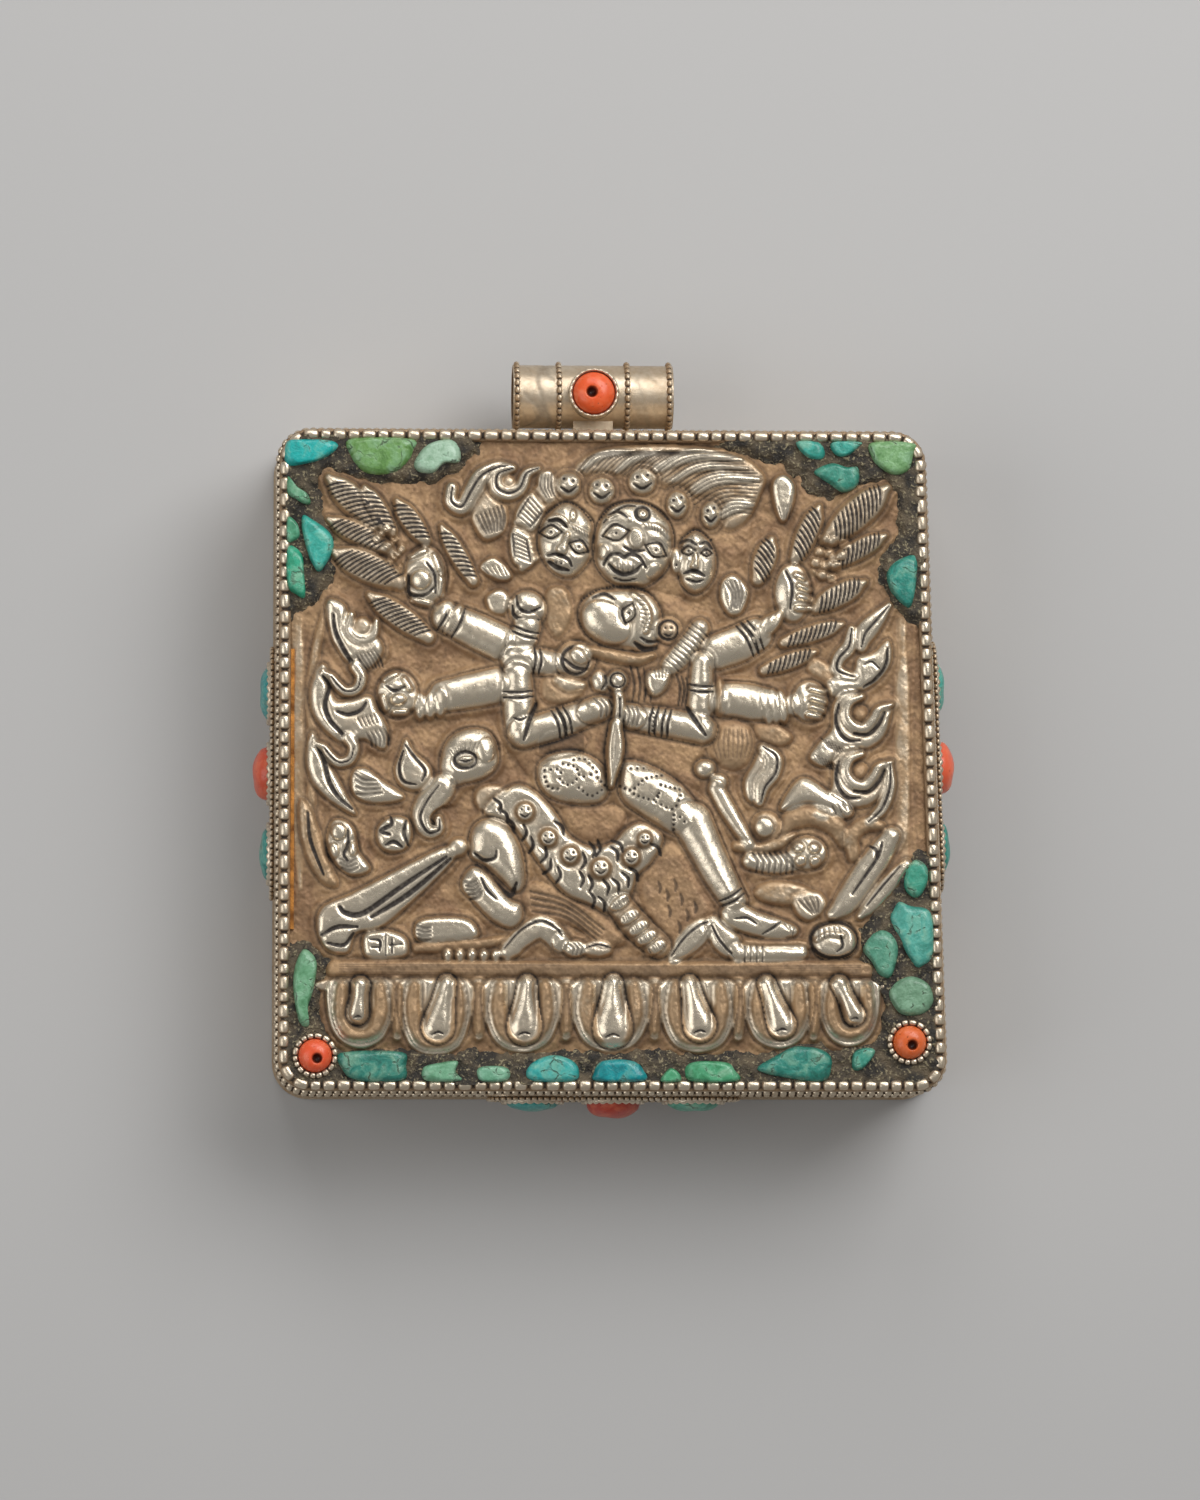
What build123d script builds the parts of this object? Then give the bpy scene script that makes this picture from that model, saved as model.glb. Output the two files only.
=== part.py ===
"""A ghau, a Himalayan amulet box worn at the neck: a square silver case with a repousse front,
stones set in black mastic, a bail across the top and a push-fit pan that closes the back.

Millimetres. The box lies on its back: z = 0 is the face it rests on, +Z comes out of the relief,
+Y points to the bail, and the origin is the middle of the back.
"""

from build123d import *
from math import atan2, degrees, dist
import os

# Case outline seen from the front: hand-made, with a right wall that leans out towards the bottom
LEFT_REACH = 33.1
RIGHT_REACH_TOP = 31.6
RIGHT_REACH_BOTTOM = 33.8
HALF_HEIGHT = 33.1
CORNER_RADIUS = 3.2

# Case wall and front sheet
WALL_HEIGHT = 15.2
WALL_THICKNESS = 0.8
SHEET_THICKNESS = 0.7

# Back pan: its plate stands out past the wall, its skirt slides up inside the wall
BACK_THICKNESS = 0.8
BACK_LIP = 0.5
SKIRT_HEIGHT = 10.0
SKIRT_THICKNESS = 0.7
SKIRT_CLEARANCE = 0.1

# Wires round the case
RIM_WIDTH = 1.2
RIM_RISE = 1.1
RIM_ROUND = 0.5
WALL_WIRE_REACH = 0.4
WALL_WIRE_HEIGHT = 0.8
WALL_WIRE_ROUND = 0.3
WALL_WIRE_INSET = 1.6
EDGE_STRIP_WIDTH = 0.35
EDGE_STRIP_RISE = 0.35
EDGE_STRIP_TOP_INSET = 22.1
EDGE_STRIP_BOTTOM_INSET = 16.1

# Mastic beds and the chips set in them
MASTIC_RISE = 0.9
CHIP_RISE = 1.5
CHIP_CORNER = 0.3
CHIP_BEVEL = 0.25

# Coral beads at the two lower corners, each inside a wire ring
CORNER_CORAL_RADIUS = 1.7
CORNER_CORAL_RISE = 2.2
CORNER_CORAL_ROUND = 1.1
CORNER_RING_RADIUS = 2.3
CORNER_RING_RISE = 0.35
BEAD_HOLE_RADIUS = 0.5
BEAD_HOLE_DEPTH = 1.4
BEAD_HOLE_SHIFT = (0.2, -0.3)

# Bail: a tube across the top, carried by one foot
BAIL_SHIFT = -1.4
BAIL_LENGTH = 16.2
BAIL_RADIUS = 3.2
BAIL_BORE_RADIUS = 2.5
BAIL_GAP = 1.1
BAIL_FOOT_WIDTH = 4.0
BAIL_FOOT_DEPTH = 3.6
BAIL_RING_RISE = 0.4
BAIL_RING_WIDTH = 0.8
BAIL_INNER_RING_OFFSET = 3.45
BAIL_CORAL_RADIUS = 2.15
BAIL_CORAL_RISE = 1.9
BAIL_CORAL_ROUND = 1.3
BAIL_CUP_WALL = 0.4
BAIL_CUP_RISE = 0.9

# Stone settings on the left, right and bottom walls
PLATE_LENGTH = 25.6
PLATE_HEIGHT = 9.0
PLATE_THICKNESS = 0.4
PLATE_CORNER = 2.6
PLATE_WIRE_WIDTH = 0.7
PLATE_WIRE_RISE = 0.5
PLATE_WIRE_ROUND = 0.2
SETTING_PITCH = 8.1
LEFT_SETTING_SHIFT = -1.0
RIGHT_SETTING_SHIFT = -0.2
BOTTOM_SETTING_SHIFT = 0.7
CAB_LENGTH = 5.6
CAB_HEIGHT = 6.0
CUP_WALL = 0.45
CUP_RISE = 0.8
TURQUOISE_RISE = 1.5
CORAL_RISE = 2.2
CAB_ROUND = 1.1

# Repousse: how deep a raised form is rooted in the sheet, and how round its shoulders are
RELIEF_ROOT = 0.3
RELIEF_SHOULDER = 0.7

# Levels and places that follow from the sizes above
FRONT_Z = BACK_THICKNESS + WALL_HEIGHT
WALL_MID_Z = BACK_THICKNESS + WALL_HEIGHT / 2
RIGHT_REACH_MIDDLE = (RIGHT_REACH_TOP + RIGHT_REACH_BOTTOM) / 2
TOP_LEFT = (-LEFT_REACH, HALF_HEIGHT)
TOP_RIGHT = (RIGHT_REACH_TOP, HALF_HEIGHT)
BOTTOM_LEFT = (-LEFT_REACH, -HALF_HEIGHT)
BOTTOM_RIGHT = (RIGHT_REACH_BOTTOM, -HALF_HEIGHT)
LEFT_MIDDLE = (-LEFT_REACH, 0)
RIGHT_MIDDLE = (RIGHT_REACH_MIDDLE, 0)
BOTTOM_MIDDLE = (0, -HALF_HEIGHT)
CENTRE = (0, 0)
FRONT = Plane.XY.offset(FRONT_Z)

# Inner edges of the mastic beds, measured from the corner that each bed fills
BED_TOP_LEFT = [
    (20.1, 1.0), (20.1, -2.6), (18.1, -4.1), (16.1, -5.3), (13.1, -5.6), (8.1, -5.4), (4.6, -4.4),
    (4.2, -5.6), (4.5, -7.6), (5.7, -10.6), (5.9, -12.6), (5.7, -14.6), (3.6, -17.6), (-1.0, -20.5),
    (-1.0, 1.0),
]
BED_TOP_RIGHT = [
    (-21.3, 1.0), (-21.1, -1.9), (-14.6, -3.6), (-12.6, -4.6), (-12.1, -6.1), (-10.9, -6.9), (-8.1, -6.7),
    (-6.3, -5.9), (-4.1, -5.3), (-3.3, -6.4), (-2.6, -9.6), (-4.6, -12.6), (-4.6, -15.1), (-3.4, -18.0),
    (3.0, -22.0), (3.0, 1.0),
]
BED_LOWER_LEFT = [
    (-1.0, -1.0), (-1.0, 15.2), (3.6, 14.8), (5.4, 12.8), (4.5, 9.1), (4.5, 7.1), (6.1, 4.4),
]
BED_LOWER_RIGHT = [
    (-17.3, 4.2), (-15.6, 5.0), (-12.8, 5.0), (-11.3, 4.2), (-9.8, 4.9), (-7.2, 5.4), (-6.6, 7.6),
    (-6.8, 9.6), (-8.8, 12.1), (-9.0, 16.1), (-7.3, 19.1), (-4.5, 22.6), (-3.4, 24.2), (2.0, 25.0),
    (2.0, -1.0),
]

# Chip outlines, measured from the corner of their bed, or from the middle of the bottom edge
CHIPS_TOP_LEFT = [
    [(0.6, -1.5), (1.9, -1.1), (5.1, -1.2), (5.9, -1.9), (4.3, -3.1), (2.6, -3.6), (0.6, -3.7)],
    [
        (7.1, -1.0), (13.3, -1.0), (13.4, -2.2), (12.9, -3.3),
        (11.8, -4.3), (10.1, -4.7), (8.2, -4.3), (6.9, -2.5),
    ],
    [
        (14.7, -1.6), (16.9, -1.0), (18.0, -1.8), (18.0, -3.3),
        (16.5, -3.5), (15.3, -4.5), (13.8, -4.3), (13.4, -3.4),
    ],
    [(0.8, -4.8), (1.8, -5.9), (2.8, -6.6), (3.1, -7.6), (2.1, -7.5), (0.8, -6.6)],
    [
        (2.3, -8.7), (3.1, -9.0), (5.0, -10.4), (5.4, -12.1),
        (4.1, -14.4), (3.2, -13.5), (2.6, -11.8), (2.2, -10.0),
    ],
    [(0.8, -8.9), (1.8, -9.6), (2.0, -11.0), (0.8, -11.4)],
    [(0.8, -11.9), (2.2, -12.5), (2.5, -14.6), (2.6, -17.0), (1.8, -16.8), (0.8, -15.7)],
]
CHIPS_TOP_RIGHT = [
    [(-13.0, -1.1), (-10.7, -1.1), (-10.0, -2.2), (-10.5, -2.9), (-11.9, -2.6)],
    [(-9.3, -1.1), (-6.3, -1.1), (-7.0, -2.0), (-8.2, -2.6), (-9.2, -2.2)],
    [
        (-9.4, -3.2), (-7.8, -3.6), (-6.7, -3.6), (-6.6, -5.1),
        (-7.3, -5.9), (-8.4, -6.1), (-9.7, -5.3), (-11.2, -4.1),
    ],
    [(-5.4, -1.1), (-1.1, -1.1), (-1.1, -2.3), (-1.6, -3.9), (-3.0, -4.4), (-4.5, -3.7), (-5.4, -2.6)],
    [
        (-0.9, -12.5), (-0.9, -15.5), (-1.4, -17.7), (-2.1, -17.6),
        (-3.3, -16.3), (-3.9, -14.5), (-3.0, -13.1),
    ],
]
CHIPS_LOWER_LEFT = [
    [
        (2.5, 14.1), (3.5, 13.6), (3.9, 12.4), (3.5, 9.9), (3.0, 8.2),
        (3.1, 6.4), (2.1, 6.8), (1.5, 10.1), (1.7, 12.5),
    ],
]
CHIPS_BOTTOM = [
    [(-26.9, 3.8), (-20.8, 3.9), (-20.3, 2.5), (-20.7, 1.0), (-25.2, 1.0), (-26.8, 2.2)],
    [(-18.7, 2.3), (-17.2, 2.8), (-15.2, 3.0), (-15.4, 1.9), (-14.8, 1.0), (-18.4, 1.0)],
    [(-13.2, 2.3), (-11.0, 2.5), (-10.0, 2.0), (-10.4, 1.0), (-13.0, 1.0)],
    [(-8.5, 2.1), (-7.2, 3.2), (-5.5, 3.6), (-3.8, 3.1), (-3.1, 2.1), (-3.6, 1.0), (-7.8, 1.0)],
    [(-1.7, 1.8), (-1.1, 2.9), (0.5, 3.2), (2.4, 3.0), (3.3, 2.2), (3.4, 1.0), (-1.4, 1.0)],
    [(5.0, 1.0), (5.9, 2.3), (6.8, 1.9), (7.0, 1.0)],
    [(7.4, 2.3), (8.6, 3.0), (11.6, 2.9), (12.4, 2.2), (12.8, 1.0), (8.0, 1.0)],
]
CHIPS_LOWER_RIGHT = [
    [
        (-19.2, 2.2), (-16.9, 3.7), (-15.2, 4.5), (-12.9, 4.3),
        (-11.7, 3.6), (-11.5, 2.5), (-12.4, 1.0), (-16.0, 1.3),
    ],
    [(-9.4, 3.9), (-7.9, 4.4), (-7.2, 3.9), (-8.4, 2.3), (-9.5, 2.2)],
    [
        (-5.9, 9.8), (-4.8, 11.2), (-3.3, 11.5), (-1.8, 10.7),
        (-1.3, 9.2), (-2.1, 7.9), (-3.8, 7.5), (-5.1, 8.1),
    ],
    [
        (-7.5, 15.8), (-6.2, 16.1), (-5.1, 15.2), (-4.9, 13.7),
        (-5.6, 11.4), (-6.8, 11.6), (-7.5, 12.8), (-8.4, 14.2),
    ],
    [
        (-4.8, 19.0), (-3.7, 18.6), (-1.6, 17.9), (-1.4, 13.8),
        (-2.4, 12.5), (-3.4, 12.7), (-5.6, 16.9), (-5.4, 18.1),
    ],
    [(-3.1, 23.2), (-2.0, 22.5), (-1.9, 21.0), (-2.6, 19.6), (-3.4, 19.4), (-4.3, 20.4), (-4.1, 22.1)],
]
CORNER_CORAL_LEFT = (3.7, 3.5)
CORNER_CORAL_RIGHT = (-3.9, 4.9)

# Raised limbs, feathers and flames: start, end, half width and rise, measured from the anchor named
FIGURE_BARS = [
    ((-15.9, 13.2), (-11.6, 12.0), 1.75, 1.5), ((-16.0, 6.2), (-11.6, 7.0), 1.6, 1.55),
    ((-9.0, 10.0), (-5.6, 9.6), 1.3, 1.45), ((-8.7, 6.8), (-8.7, 3.0), 1.6, 1.7),
    ((-8.2, 3.0), (-1.4, 4.8), 1.3, 1.8), ((9.1, 8.8), (8.3, 4.0), 1.3, 1.6),
    ((8.0, 3.2), (1.9, 4.0), 1.3, 1.75), ((11.3, 10.8), (14.4, 12.2), 1.9, 1.5),
    ((12.4, 5.6), (19.3, 5.3), 1.5, 1.55), ((-5.0, -1.6), (-1.8, -2.2), 2.2, 2.0),
    ((2.4, -2.2), (8.2, -5.6), 2.3, 2.05), ((0.45, 2.4), (0.2, -2.2), 0.6, 2.2),
    ((-8.7, 12.6), (-9.0, 9.4), 1.1, 1.2), ((6.6, 9.6), (9.0, 12.3), 0.9, 1.2),
    ((-11.0, -4.4), (-6.0, -8.6), 1.7, 1.4), ((-5.4, -9.6), (-0.6, -12.0), 2.4, 1.5),
    ((0.2, -12.0), (3.4, -8.6), 1.8, 1.45), ((0.8, -14.2), (4.6, -18.6), 1.1, 1.25),
    ((-12.4, -8.2), (-10.4, -11.6), 2.2, 1.7), ((-14.4, -12.6), (-10.8, -15.6), 1.5, 1.35),
    ((8.8, -6.5), (12.0, -13.6), 1.45, 1.65), ((12.7, -14.9), (17.8, -16.6), 1.1, 1.3),
    ((-16.4, -2.4), (-18.5, -5.4), 0.9, 1.25), ((10.2, -1.4), (13.4, -7.6), 0.7, 1.1),
    ((15.8, 0.4), (14.6, -3.6), 1.0, 1.1), ((14.2, -9.8), (18.2, -9.9), 0.95, 1.0),
    ((17.4, -4.6), (19.4, -3.4), 1.2, 1.3), ((19.4, -3.4), (22.8, -5.2), 1.1, 1.35),
    ((17.4, -6.9), (22.4, -6.7), 0.8, 0.9),
    ((-13.6, 24.8), (-12.6, 28.2), 1.0, 1.0), ((-12.2, 28.6), (-10.2, 29.4), 0.6, 1.0),
    ((-10.6, 26.9), (-7.6, 29.0), 0.6, 1.05), ((-15.6, 27.0), (-14.0, 25.4), 0.6, 0.9),
    ((16.6, 24.4), (17.3, 27.6), 1.0, 0.95),
]
LEFT_BARS = [
    ((10.1, 23.0), (5.9, 27.2), 1.3, 1.2), ((10.6, 21.3), (5.6, 24.2), 0.8, 1.0),
    ((11.6, 18.0), (6.6, 20.0), 1.3, 1.1), ((12.0, 22.8), (8.9, 26.6), 0.7, 1.05),
    ((14.5, 22.2), (12.2, 25.5), 0.85, 1.05), ((19.2, 18.4), (16.5, 22.8), 0.75, 0.95),
    ((14.0, 12.8), (9.5, 15.9), 1.0, 0.9), ((6.1, 14.4), (6.7, 10.6), 0.95, 1.0),
    ((6.7, 10.6), (8.0, 7.6), 0.75, 1.0), ((4.2, 8.4), (4.8, 4.4), 0.95, 1.05),
    ((4.8, 4.4), (7.2, 1.4), 0.95, 1.05), ((5.6, 5.8), (9.4, 6.2), 0.75, 0.95),
    ((3.6, 1.6), (5.0, -2.8), 0.95, 1.0), ((5.0, -2.8), (7.6, -5.2), 0.8, 1.0),
    ((7.8, -2.2), (11.0, -3.6), 0.85, 1.0), ((2.6, -6.0), (4.4, -12.4), 0.8, 0.8),
    ((6.4, -15.4), (15.2, -10.6), 1.9, 1.2), ((4.9, -15.6), (5.4, -17.6), 1.0, 1.1),
]
RIGHT_BARS = [
    ((-14.3, 20.4), (-11.8, 25.0), 0.9, 1.05), ((-9.9, 22.5), (-5.6, 26.3), 1.3, 1.2),
    ((-10.4, 19.8), (-5.9, 22.1), 0.85, 1.0), ((-11.3, 15.6), (-7.5, 17.4), 0.95, 1.1),
    ((-17.9, 18.4), (-16.5, 21.8), 1.0, 0.95), ((-14.6, 12.0), (-9.8, 13.6), 0.7, 0.8),
    ((-19.0, 8.9), (-13.0, 10.2), 0.7, 0.8), ((-6.9, 13.0), (-5.9, 15.2), 0.8, 0.9),
    ((-9.5, 11.0), (-8.3, 12.8), 0.6, 0.9), ((-4.7, 11.4), (-5.5, 8.8), 0.95, 1.0),
    ((-5.5, 8.8), (-9.3, 5.4), 0.9, 1.0), ((-9.3, 3.4), (-6.7, 2.0), 1.0, 1.0),
    ((-4.9, 5.4), (-5.7, 2.6), 0.75, 0.95), ((-5.7, 2.6), (-9.1, 0.4), 0.8, 1.0),
    ((-9.4, -1.0), (-8.7, -3.2), 0.85, 1.0), ((-4.9, -0.4), (-5.5, -4.0), 0.75, 0.95),
    ((-5.4, -9.0), (-9.6, -14.0), 1.3, 1.15), ((-3.7, -11.0), (-7.3, -15.2), 0.75, 1.0),
]
LOTUS_BARS = [
    ((-23.0, 12.1), (22.6, 12.1), 0.9, 0.9), ((-18.4, 15.9), (-13.8, 16.2), 0.9, 1.1),
    ((-9.0, 14.5), (-6.8, 16.1), 0.8, 1.15), ((-6.8, 16.1), (-4.4, 14.3), 0.8, 1.05),
    ((7.5, 13.5), (10.0, 16.3), 0.75, 1.1), ((10.0, 16.3), (12.5, 13.9), 0.75, 1.05),
    ((12.5, 13.9), (19.2, 13.9), 0.75, 1.0),
]

# Raised heads, fists and petals: centre, half width, half height, tilt and rise
FIGURE_DOMES = [
    ((2.2, 23.8), 12.2, 6.9, 0, 0.75), ((0.2, 6.4), 10.2, 10.4, 0, 0.55),
    ((-4.6, 22.3), 2.6, 3.8, 10, 1.9), ((2.3, 21.9), 3.7, 4.2, -8, 2.3), ((8.7, 19.8), 1.6, 3.0, 0, 1.75),
    ((0.9, 14.3), 3.6, 3.0, -30, 2.0), ((-3.2, 10.0), 1.9, 1.9, 0, 1.65), ((-8.3, 14.8), 1.7, 1.9, 0, 1.3),
    ((-4.2, 27.4), 1.1, 1.2, 0, 1.5), ((-0.9, 27.1), 1.15, 1.25, 0, 1.55),
    ((3.2, 27.7), 1.25, 1.2, 0, 1.6), ((6.8, 25.7), 0.95, 1.2, 0, 1.45),
    ((10.1, 24.5), 0.85, 1.1, 0, 1.4), ((-18.5, 18.3), 2.0, 2.8, 0, 1.5),
    ((18.3, 16.7), 1.8, 3.0, -15, 1.5), ((12.7, 16.5), 1.4, 2.1, 0, 1.1),
    ((-21.3, 6.5), 1.9, 2.2, 0, 1.25), ((4.8, 8.2), 1.2, 1.6, 0, 1.35),
    ((-14.2, 0.2), 2.8, 2.4, 30, 1.5), ((-19.6, -1.0), 1.6, 2.3, 10, 1.0),
    ((-17.4, -6.4), 0.9, 0.8, 0, 1.2), ((-21.4, -7.4), 1.7, 1.6, 0, 1.1), ((-26.5, -8.5), 1.35, 2.8, 15, 1.1),
    ((11.9, 1.6), 2.2, 2.4, 0, 0.9), ((15.7, -6.6), 1.2, 1.2, 0, 1.2), ((19.7, -9.3), 1.8, 1.5, 0, 1.25),
    ((-1.5, -6.2), 2.6, 1.8, 0, 0.8), ((6.4, -14.2), 2.6, 4.4, 15, 0.6),
]
LOTUS_DOMES = [((-22.4, 14.5), 1.9, 1.3, 0, 1.2), ((22.4, 15.0), 2.2, 1.6, 0, 1.25)]
PETAL_CENTRES = [-24.6, -17.4, -8.8, 0.1, 8.8, 16.6, 22.8]
PETAL_HALF_WIDTHS = [2.9, 3.4, 3.5, 3.6, 3.4, 2.9, 2.5]
PETAL_BASE = 8.1
PETAL_HALF_LENGTH = 3.4
PETAL_RISE = 1.0
PETAL_RIM = 0.45
PETAL_HOLLOW = 0.6
TONGUE_TOP = 10.1
TONGUE_END = 6.2
TONGUE_HALF_WIDTH = 0.8
TONGUE_RISE = 1.3
TONGUE_BULB_RADIUS = 1.35


def case_outline(grow=0.0):
    """The case's outer outline, grown outwards by grow, or inwards where it is negative."""
    with BuildSketch() as outline:
        with BuildLine():
            Polyline(TOP_LEFT, TOP_RIGHT, BOTTOM_RIGHT, BOTTOM_LEFT, close=True)
        make_face()
        fillet(outline.vertices(), CORNER_RADIUS)
        if grow:
            offset(amount=grow)
    return outline.sketch


def measured_from(anchor, points):
    """Points that are given from an anchor, as points from the centre."""
    return [(anchor[0] + x, anchor[1] + y) for x, y in points]


def mastic_bed(edge):
    """The ground inside the rim that lies within a closed edge."""
    with BuildSketch() as bed:
        with BuildLine():
            Polyline(*edge, close=True)
        make_face()
        add(case_outline(-RIM_WIDTH), mode=Mode.INTERSECT)
    return bed.sketch


def chip_faces(outlines, anchor):
    """Chip outlines with blunted corners."""
    faces = []
    for outline in outlines:
        with BuildSketch() as chip:
            with BuildLine():
                Polyline(*measured_from(anchor, outline), close=True)
            make_face()
            fillet(chip.vertices(), CHIP_CORNER)
        faces += chip.faces()
    return faces


def raised_bar(anchor, start, end, half_width, rise):
    """A limb or feather pushed up from the sheet, round at both ends and along its top."""
    (x1, y1), (x2, y2) = measured_from(anchor, [start, end])
    with BuildPart() as bar:
        with BuildSketch(FRONT.offset(-RELIEF_ROOT)):
            with Locations(((x1 + x2) / 2, (y1 + y2) / 2)):
                SlotCenterToCenter(dist(start, end), 2 * half_width, degrees(atan2(y2 - y1, x2 - x1)))
        extrude(amount=rise + RELIEF_ROOT)
        fillet(bar.edges().group_by(Axis.Z)[-1], RELIEF_SHOULDER * min(rise, half_width))
    return bar.part


def raised_dome(anchor, centre, half_width, half_height, tilt, rise):
    """A head, fist or petal pushed up from the sheet, an oval with a round shoulder."""
    short, long = sorted((half_width, half_height))
    tightest_bend = short * short / long
    with BuildPart() as dome:
        with BuildSketch(FRONT.offset(-RELIEF_ROOT)):
            with Locations(measured_from(anchor, [centre])[0]):
                Ellipse(half_width, half_height, tilt)
        extrude(amount=rise + RELIEF_ROOT)
        fillet(dome.edges().group_by(Axis.Z)[-1], RELIEF_SHOULDER * min(rise, tightest_bend))
    return dome.part


def edges_on_top(builder, seat):
    """Edges of the faces that lie furthest out from a seat."""
    return builder.faces().filter_by(seat).group_by(Axis(seat.origin, seat.z_dir))[-1].edges()


def finish(builder, name):
    """Label a finished piece and write it under its name."""
    builder.part.label = name
    export_step(builder.part, f"parts/{name}.step")


os.makedirs("parts", exist_ok=True)

bed_top_left = mastic_bed(measured_from(TOP_LEFT, BED_TOP_LEFT))
bed_top_right = mastic_bed(measured_from(TOP_RIGHT, BED_TOP_RIGHT))
bed_lower = mastic_bed(
    measured_from(BOTTOM_LEFT, BED_LOWER_LEFT) + measured_from(BOTTOM_RIGHT, BED_LOWER_RIGHT)
)
beds = [bed_top_left, bed_top_right, bed_lower]

chips_top_left = chip_faces(CHIPS_TOP_LEFT, TOP_LEFT)
chips_top_right = chip_faces(CHIPS_TOP_RIGHT, TOP_RIGHT)
chips_lower_left = chip_faces(CHIPS_LOWER_LEFT, BOTTOM_LEFT)
chips_bottom = chip_faces(CHIPS_BOTTOM, BOTTOM_MIDDLE)
chips_lower_right = chip_faces(CHIPS_LOWER_RIGHT, BOTTOM_RIGHT)

coral_left = measured_from(BOTTOM_LEFT, [CORNER_CORAL_LEFT])[0]
coral_right = measured_from(BOTTOM_RIGHT, [CORNER_CORAL_RIGHT])[0]

# Back pan: plate and skirt
with BuildPart() as back_plate:
    with BuildSketch():
        add(case_outline(BACK_LIP))
    extrude(amount=BACK_THICKNESS)
finish(back_plate, "back_plate")

with BuildPart() as back_skirt:
    with BuildSketch(Plane.XY.offset(BACK_THICKNESS)):
        add(case_outline(-WALL_THICKNESS - SKIRT_CLEARANCE))
        add(case_outline(-WALL_THICKNESS - SKIRT_CLEARANCE - SKIRT_THICKNESS), mode=Mode.SUBTRACT)
    extrude(amount=SKIRT_HEIGHT)
finish(back_skirt, "back_skirt")

# Case wall: one strip bent round and joined
with BuildPart() as case_wall:
    with BuildSketch(Plane.XY.offset(BACK_THICKNESS)):
        add(case_outline())
        add(case_outline(-WALL_THICKNESS), mode=Mode.SUBTRACT)
    extrude(amount=WALL_HEIGHT)
finish(case_wall, "case_wall")

# Front sheet: flat ground with the relief raised on it, level with the top of the wall
raised_forms = [raised_bar(CENTRE, *bar) for bar in FIGURE_BARS]
raised_forms += [raised_bar(LEFT_MIDDLE, *bar) for bar in LEFT_BARS]
raised_forms += [raised_bar(RIGHT_MIDDLE, *bar) for bar in RIGHT_BARS]
raised_forms += [raised_bar(BOTTOM_MIDDLE, *bar) for bar in LOTUS_BARS]
raised_forms += [raised_dome(CENTRE, *dome) for dome in FIGURE_DOMES]
raised_forms += [raised_dome(BOTTOM_MIDDLE, *dome) for dome in LOTUS_DOMES]
tongues = []
for petal_x, petal_half_width in zip(PETAL_CENTRES, PETAL_HALF_WIDTHS):
    petal = (petal_x, PETAL_BASE), petal_half_width, PETAL_HALF_LENGTH, 0, PETAL_RISE
    stem = (petal_x, TONGUE_TOP), (petal_x, TONGUE_END), TONGUE_HALF_WIDTH, TONGUE_RISE
    bulb = (petal_x, TONGUE_END), TONGUE_BULB_RADIUS, TONGUE_BULB_RADIUS, 0, TONGUE_RISE
    raised_forms += [raised_dome(BOTTOM_MIDDLE, *petal)]
    tongues += [raised_bar(BOTTOM_MIDDLE, *stem), raised_dome(BOTTOM_MIDDLE, *bulb)]

with BuildPart() as relief:
    add(raised_forms)
    with BuildSketch(FRONT.offset(PETAL_RISE)):
        for petal_x, petal_half_width in zip(PETAL_CENTRES, PETAL_HALF_WIDTHS):
            with Locations(measured_from(BOTTOM_MIDDLE, [(petal_x, PETAL_BASE)])[0]):
                Ellipse(petal_half_width - PETAL_RIM, PETAL_HALF_LENGTH - PETAL_RIM)
    extrude(amount=-PETAL_HOLLOW, mode=Mode.SUBTRACT)
    add(tongues)
    with BuildSketch(FRONT.offset(-RELIEF_ROOT)):
        add(case_outline(-RIM_WIDTH))
        add(beds, mode=Mode.SUBTRACT)
    extrude(amount=WALL_HEIGHT, mode=Mode.INTERSECT)

with BuildPart() as front_sheet:
    with BuildSketch(FRONT):
        add(case_outline(-WALL_THICKNESS))
    extrude(amount=-SHEET_THICKNESS)
    add(relief.part)
finish(front_sheet, "front_sheet")

# Rim wire on the joint of wall and sheet, and the thin strip inside it on the left
with BuildPart() as rim_wire:
    with BuildSketch(FRONT):
        add(case_outline())
        add(case_outline(-RIM_WIDTH), mode=Mode.SUBTRACT)
    extrude(amount=RIM_RISE)
    fillet(rim_wire.edges().group_by(Axis.Z)[-1], RIM_ROUND)
finish(rim_wire, "rim_wire")

with BuildPart() as edge_strip:
    strip_corner = measured_from(BOTTOM_LEFT, [(RIM_WIDTH, EDGE_STRIP_BOTTOM_INSET)])[0]
    strip_length = 2 * HALF_HEIGHT - EDGE_STRIP_TOP_INSET - EDGE_STRIP_BOTTOM_INSET
    with BuildSketch(FRONT):
        with Locations(strip_corner):
            Rectangle(EDGE_STRIP_WIDTH, strip_length, align=(Align.MIN, Align.MIN))
    extrude(amount=EDGE_STRIP_RISE)
finish(edge_strip, "edge_strip")

# Two wires round the outside of the wall, as far from its top as from its bottom
wall_wire_levels = {
    "wall_wire_upper": FRONT_Z - WALL_WIRE_INSET - WALL_WIRE_HEIGHT,
    "wall_wire_lower": BACK_THICKNESS + WALL_WIRE_INSET,
}
for wire_name, wire_level in wall_wire_levels.items():
    with BuildPart() as wall_wire:
        with BuildSketch(Plane.XY.offset(wire_level)):
            add(case_outline(WALL_WIRE_REACH))
            add(case_outline(), mode=Mode.SUBTRACT)
        extrude(amount=WALL_WIRE_HEIGHT)
        flat_faces = wall_wire.faces().filter_by(Axis.Z)
        fillet([edge for face in flat_faces for edge in face.outer_wire().edges()], WALL_WIRE_ROUND)
    finish(wall_wire, wire_name)

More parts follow.
